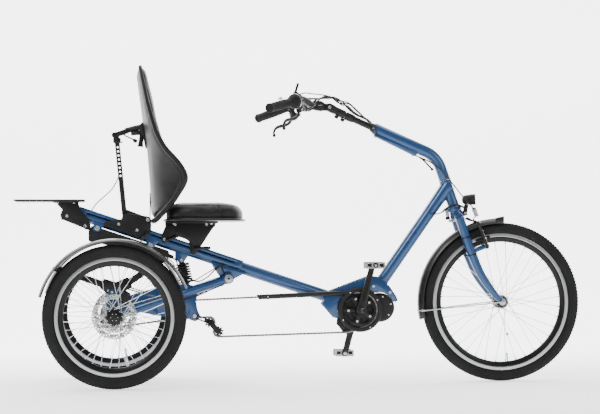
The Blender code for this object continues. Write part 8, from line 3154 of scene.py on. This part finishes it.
def back_post():
    foot, top = Vector((0.037, 0, 0.6165)), Vector((0.008, 0, 0.902))
    up = (top - foot).normalized()
    fore = Vector((up.z, 0, -up.x))
    length = (top - foot).length

    def at(along, forward):
        point = foot + up * along + fore * forward
        return (point.x, point.z)

    holes = [circle(at(length - 0.039 - k * 0.015, 0), 0.0034, 16) for k in range(8)]
    body = plate(
        [at(0, -0.009), at(0, 0.009), at(length, 0.009), at(length, -0.009)], -0.009, 0.009, holes,
        edge=0.0012
    )
    x, z = RECLINE
    arm = plate(
        rounded(
            [
                at(0.0, 0.006), (x - 0.004, z - 0.0085), (x + 0.0075, z - 0.005), (x + 0.0075, z + 0.005),
                (x, z + 0.0085), at(0.02, 0.006)
            ],
            0.003
        ),
        -0.006, 0.006, [circle(RECLINE, 0.0048, 24)], edge=0.0008
    )
    bolt = [
        screw((*at(0.004, 0)[:1], side * 0.009, at(0.004, 0)[1]), (0, side, 0), 0.0062, 0.0034)
        for side in (-1, 1)
    ]
    strap = [box((0.1285, -0.011, 0.612), (0.1325, 0.011, 0.697), 0.0016)]
    piece(
        "backrest_post_visual", "back",
        [(merged(body, arm), BLACK), (merged(*bolt), DARK_STEEL), (merged(*strap), RUBBER)],
        ["backrest_post"]
    )


def back_arm():
    start, middle, end = Vector((0.0, 0, 0.91)), Vector((0.05, 0, 0.927)), Vector((0.1106, 0, 0.9386))
    flat_arm = [
        plate(
            rounded(
                [
                    (-0.004, 0.902), (0.004, 0.899), (0.054, 0.9165), (0.054, 0.933), (0.0, 0.9165),
                    (-0.0055, 0.912)
                ],
                0.004
            ),
            side * 0.0095, side * 0.013, edge=0.0008
        )
        for side in (-1, 1)
    ]
    dark = flat_arm + [tube([start, middle], 0.007, 32)]
    dark.append(
        tube(
            smooth(
                [
                    middle + Vector((-0.01, 0, -0.003)), middle.lerp(end, 0.5) + Vector((0, 0, 0.002)),
                    end + Vector((-0.004, 0, 0.001))
                ],
                6
            ),
            0.0104, 44, squash=1.25, edge=0.003
        )
    )
    dark.append(box((-0.005, -0.013, 0.879), (0.0235, 0.013, 0.8975), 0.0022))
    dark.append(box((0.0225, -0.005, 0.8795), (0.03, 0.005, 0.8845), 0.001))
    dark.append(
        turned(
            [
                (0, -0.0145), (0.0095, -0.0145), (0.01, -0.0135), (0.01, 0.0135), (0.0095, 0.0145),
                (0, 0.0145)
            ],
            start + Vector((0, 0, -0.002)), sides=44
        )
    )
    dark.append(tube([(0.06, 0, 0.915), (0.1, 0, 0.918)], 0.0088, 40, edge=0.0014))
    ears = [
        plate(
            rounded(
                [
                    (0.094, 0.948), (0.113, 0.966), (0.1095, 0.93), (0.118, 0.86), (0.114, 0.858),
                    (0.104, 0.905), (0.092, 0.925)
                ],
                0.003
            ),
            side * 0.012, side * 0.015, edge=0.0008
        )
        for side in (-1, 1)
    ]
    grip = tube(
        [(0.1, 0, 0.927), (0.099, 0, 0.905), (0.0965, 0, 0.88), (0.095, 0, 0.87), (0.0945, 0, 0.8655)],
        [0.0085, 0.008, 0.0086, 0.01, 0.0118], 44, edge=0.0016
    )
    lever = cam_lever(
        [(0.03, -0.006, 0.914), (0.042, -0.015, 0.904), (0.062, -0.018, 0.8945), (0.07, -0.0188, 0.89)],
        [0.0026, 0.0026, 0.0028, 0.003]
    )
    knob = turned(
        [(0, -0.009), (0.004, -0.008), (0.0068, -0.004), (0.0072, 0.001), (0.006, 0.006), (0, 0.009)],
        (0.0755, -0.019, 0.8865), (0.9, -0.1, -0.45), 36, edge=0.001
    )
    steel = [screw((0.0, side * 0.0143, 0.908), (0, side, 0), 0.005, 0.0026) for side in (-1, 1)]
    steel += [screw((0.01, side * 0.013, 0.8885), (0, side, 0), 0.004, 0.0024) for side in (-1, 1)]
    piece(
        "backrest_arm_visual", "back",
        [
            (merged(*dark, *ears), BLACK), (merged(grip, knob), RUBBER), (lever, BLACK),
            (merged(*steel), DARK_STEEL)
        ],
        ["backrest_arm"]
    )
    cable = smooth(
        [
            (0.015, -0.0115, 0.76), (0.013, -0.012, 0.748), (-0.012, -0.012, 0.706),
            (-0.063, -0.013, 0.659), (-0.086, -0.016, 0.626), (-0.105, -0.03, 0.593),
            (-0.108, -0.0355, 0.57), (-0.101, -0.036, 0.562)
        ],
        10
    )
    recline_cable = piece(
        "recline_cable", None, [(tube(cable, 0.0021, 16, edge=0.0004), JACKET)]
    )
    return recline_cable


# Shock absorber
def shock():
    upper, lower = Vector((SHOCK_UPPER[0], 0, SHOCK_UPPER[1])), Vector((SHOCK_LOWER[0], 0, SHOCK_LOWER[1]))
    down = (lower - upper).normalized()
    length = (lower - upper).length
    eye_outer = [
        (0.004, -0.0108), (0.0084, -0.0108), (0.0088, -0.0102), (0.0088, 0.0102), (0.0084, 0.0108),
        (0.004, 0.0108)
    ]
    top_eye = turned(eye_outer, upper, (0, 1, 0), 44)
    body = turned(
        [
            (0, 0.005), (0.0105, 0.007), (0.0118, 0.013), (0.0267, 0.0135), (0.0267, 0.0165),
            (0.016, 0.019), (0.0145, 0.0205), (0.0145, 0.056), (0.0135, 0.058), (0.0085, 0.058),
            (0.0085, 0.04), (0, 0.04)
        ],
        upper, down, 56, edge=0.0008
    )
    threads = [
        turned(
            [(0.0143, 0.0225 + 0.0016 * k), (0.015, 0.023 + 0.0016 * k), (0.0143, 0.0235 + 0.0016 * k)],
            upper, down, 48, edge=0
        )
        for k in range(18)
    ]
    side = down.cross(Vector((0, 1, 0))).normalized()
    piece(
        "shock_body_visual", "shock_top", [(merged(top_eye, body, *threads), ANODISED)], ["shock_body"],
    )
    coil = []
    turns, wire = 6, 0.0032
    steps = turns * 36
    side_y = Vector((0, 1, 0))
    for k in range(steps + 1):
        share = k / steps
        angle = TURN * turns * share
        along = 0.0202 + (0.0748 - 0.0202) * share
        coil.append(upper + down * along + (side * math.cos(angle) + side_y * math.sin(angle)) * 0.0235)
    piece(
        "shock_spring_visual", "shock_top", [(tube(coil, wire, 20, edge=0.0006), BLACK)], ["shock_spring"],
    )
    low_eye = turned(eye_outer, lower, (0, 1, 0), 44)
    rod = turned(
        [
            (0, 0.041), (0.0055, 0.041), (0.0055, 0.077), (0.0267, 0.0785), (0.0267, 0.0815),
            (0.015, 0.085), (0.011, length - 0.007), (0, length - 0.007)
        ],
        upper, down, 56, edge=0.0008
    )
    bumper = turned(
        [
            (0.0055, 0.064), (0.0085, 0.065), (0.0078, 0.069), (0.009, 0.072), (0.0082, 0.0765),
            (0.0055, 0.077)
        ],
        upper, down, 40, edge=0.0005
    )
    piece(
        "shock_rod_visual", "shock_bottom", [(merged(low_eye, rod), ANODISED), (bumper, RUBBER)],
        ["shock_rod"]
    )


def rear_hoses():
    """Brake hoses from the calipers along the swing arm, then up to the frame."""
    for side_name, side in (("right", -1), ("left", 1)):
        end = Vector(hose_ends[side_name])
        inner = side * 0.075
        run = [
            end, end + Vector((0.006, -side * 0.02, 0.012)), Vector((0.11, side * 0.23, 0.33)),
            Vector((0.15, side * 0.15, 0.318)),
            Vector((0.185, side * 0.095, 0.312)), Vector((0.235, inner, 0.306)),
            Vector((0.29, inner, 0.316)), Vector((0.345, inner * 0.98, 0.34)),
            Vector((0.385, inner * 0.95, 0.356)),
        ]
        path = smooth(run, 10)
        ties = []
        for place, step_to in ((50, 51), (68, 69)):
            ties.append(
                turned(
                    [(0.0024, -0.0018), (0.0038, -0.0018), (0.0038, 0.0018), (0.0024, 0.0018)], path[place],
                    path[step_to] - path[place], 20
                )
            )
        piece(
            f"{side_name}_rear_hose", "swing",
            [(tube(path, 0.0025, 16, edge=0.0004), JACKET), (merged(*ties), RUBBER)]
        )
        up = smooth(
            [
                path[-1], path[-1] + Vector((0.012, -side * 0.006, 0.006)),
                Vector((0.402, side * 0.044, 0.392)), Vector((0.392, side * 0.0375, 0.42)),
                Vector((0.398, side * 0.0345, 0.438))
            ],
            10
        )
        bridge = piece(
            f"{side_name}_hose_bridge", None, [(tube(up, 0.0024, 16, edge=0.0003), JACKET)],
        )
        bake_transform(bridge)


def frame_leads():
    """Leads that leave the battery, loop behind the shock and run into the pivot bracket."""
    paths = [
        [
            (0.196, -0.012, 0.463), (0.222, -0.024, 0.452), (0.236, -0.03, 0.42), (0.262, -0.033, 0.392),
            (0.3, -0.034, 0.372), (0.335, -0.034, 0.385), (0.362, -0.0335, 0.41), (0.38, -0.0325, 0.424)
        ],
        [
            (0.196, 0.01, 0.456), (0.214, -0.006, 0.44), (0.225, -0.03, 0.41), (0.25, -0.036, 0.372),
            (0.292, -0.037, 0.376), (0.33, -0.036, 0.398), (0.362, -0.0355, 0.417), (0.384, -0.0335, 0.428)
        ],
    ]
    shapes = [
        tube(smooth(path, 10), radius, 16, edge=0.0004) for path, radius in zip(paths, (0.0026, 0.0021))
    ]
    plug = tube([(0.186, -0.006, 0.47), (0.214, -0.018, 0.46)], [0.009, 0.007], 28, edge=0.002)
    piece("frame_leads", "frame", [(merged(*shapes), JACKET), (plug, RUBBER)])


seat_bracket()
seat_cushion()
back_base()
back_post()
loose_cable = back_arm()
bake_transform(loose_cable)
backrest()
shock()
rear_hoses()
frame_leads()


# Stage: a pale floor that runs up into a wall, soft lights and the photograph's view
def stage_sheet():
    profile = [(-7.0, 0.0), (2.4, 0.0)]
    profile += [
        (2.4 + 1.6 * math.sin(math.radians(a)), 1.6 - 1.6 * math.cos(math.radians(a)))
        for a in range(6, 91, 6)
    ]
    profile.append((4.0, 6.0))
    points = [(x, y, z) for y, z in profile for x in (-9.0, 9.0)]
    faces = [(2 * i, 2 * i + 1, 2 * i + 3, 2 * i + 2) for i in range(len(profile) - 1)]
    mesh = bpy.data.meshes.new("backdrop")
    mesh.from_pydata(points, [], faces)
    mesh.shade_smooth()
    made = link_object(mesh, "backdrop")
    # Matt studio paper that also glows, a painted brightness: emission 0.8 on the floor before the object,
    # rising to 3.2 up the wall behind; the glow also lights the object
    paper = material(
        "glowing studio paper", "FCFCFC", 0.85, shade=0.01, Emission_Color=(1.0, 1.0, 1.0, 1.0),
        Emission_Strength=0.0
    )
    tree = paper.node_tree
    split = tree.nodes.new("ShaderNodeSeparateXYZ")
    glow = tree.nodes.new("ShaderNodeMapRange")
    for name, value in (("From Min", 0.2), ("From Max", 3.2), ("To Min", 0.8), ("To Max", 3.2)):
        glow.inputs[name].default_value = value
    tree.links.new(next(n for n in tree.nodes if n.type == "TEX_COORD").outputs["Object"], split.inputs[0])
    tree.links.new(split.outputs["Y"], glow.inputs["Value"])
    tree.links.new(glow.outputs["Result"], tree.nodes["Principled BSDF"].inputs["Emission Strength"])
    mesh.materials.append(paper)


def light(name, place, aim, size, power, warmth=(1.0, 1.0, 1.0)):
    lamp = bpy.data.lights.new(name, "AREA")
    lamp.shape = "RECTANGLE"
    lamp.size, lamp.size_y = size
    lamp.energy = power
    lamp.color = warmth
    made = bpy.data.objects.new(name, lamp)
    bpy.context.scene.collection.objects.link(made)
    made.location = place
    made.rotation_euler = (Vector(aim) - Vector(place)).to_track_quat("-Z", "Y").to_euler()


def camera():
    lens = bpy.data.cameras.new("camera")
    made = bpy.data.objects.new("camera", lens)
    bpy.context.scene.collection.objects.link(made)
    yaw, pitch, roll = (math.radians(a) for a in (5.0275, 1.2173, -0.0848))
    ahead = Vector((math.sin(yaw) * math.cos(pitch), math.cos(yaw) * math.cos(pitch), math.sin(pitch)))
    right = Vector((math.cos(yaw), -math.sin(yaw), 0))
    up = right.cross(ahead)
    turned_right = right * math.cos(roll) + up * math.sin(roll)
    turned_up = up * math.cos(roll) - right * math.sin(roll)
    grid = Matrix((turned_right, turned_up, -ahead)).transposed().to_4x4()
    made.matrix_world = Matrix.Translation((ORIGIN.x + 0.0012, -7.7411, 0.4798)) @ grid
    lens.sensor_width = 36.0
    lens.lens = 2107.0 / 600 * 36.0
    lens.clip_end = 50
    bpy.context.scene.camera = made


stage_sheet()
light("key", (-2.6, -3.2, 4.2), (0, 0, 0.4), (2.4, 2.4), 190)
light("fill", (3.6, -3.4, 2.6), (0.2, 0, 0.4), (2.4, 2.0), 60)
light("top", (0.2, 0.6, 4.6), (0, 0, 0.3), (4.0, 2.6), 150)
light("rim", (-1.4, 2.0, 2.6), (0, 0, 0.6), (2.4, 1.0), 50)
world = bpy.data.worlds.new("studio")
world.use_nodes = True
world.node_tree.nodes["Background"].inputs["Color"].default_value = (1.0, 1.0, 1.0, 1.0)
world.node_tree.nodes["Background"].inputs["Strength"].default_value = 0.45
bpy.context.scene.world = world
camera()
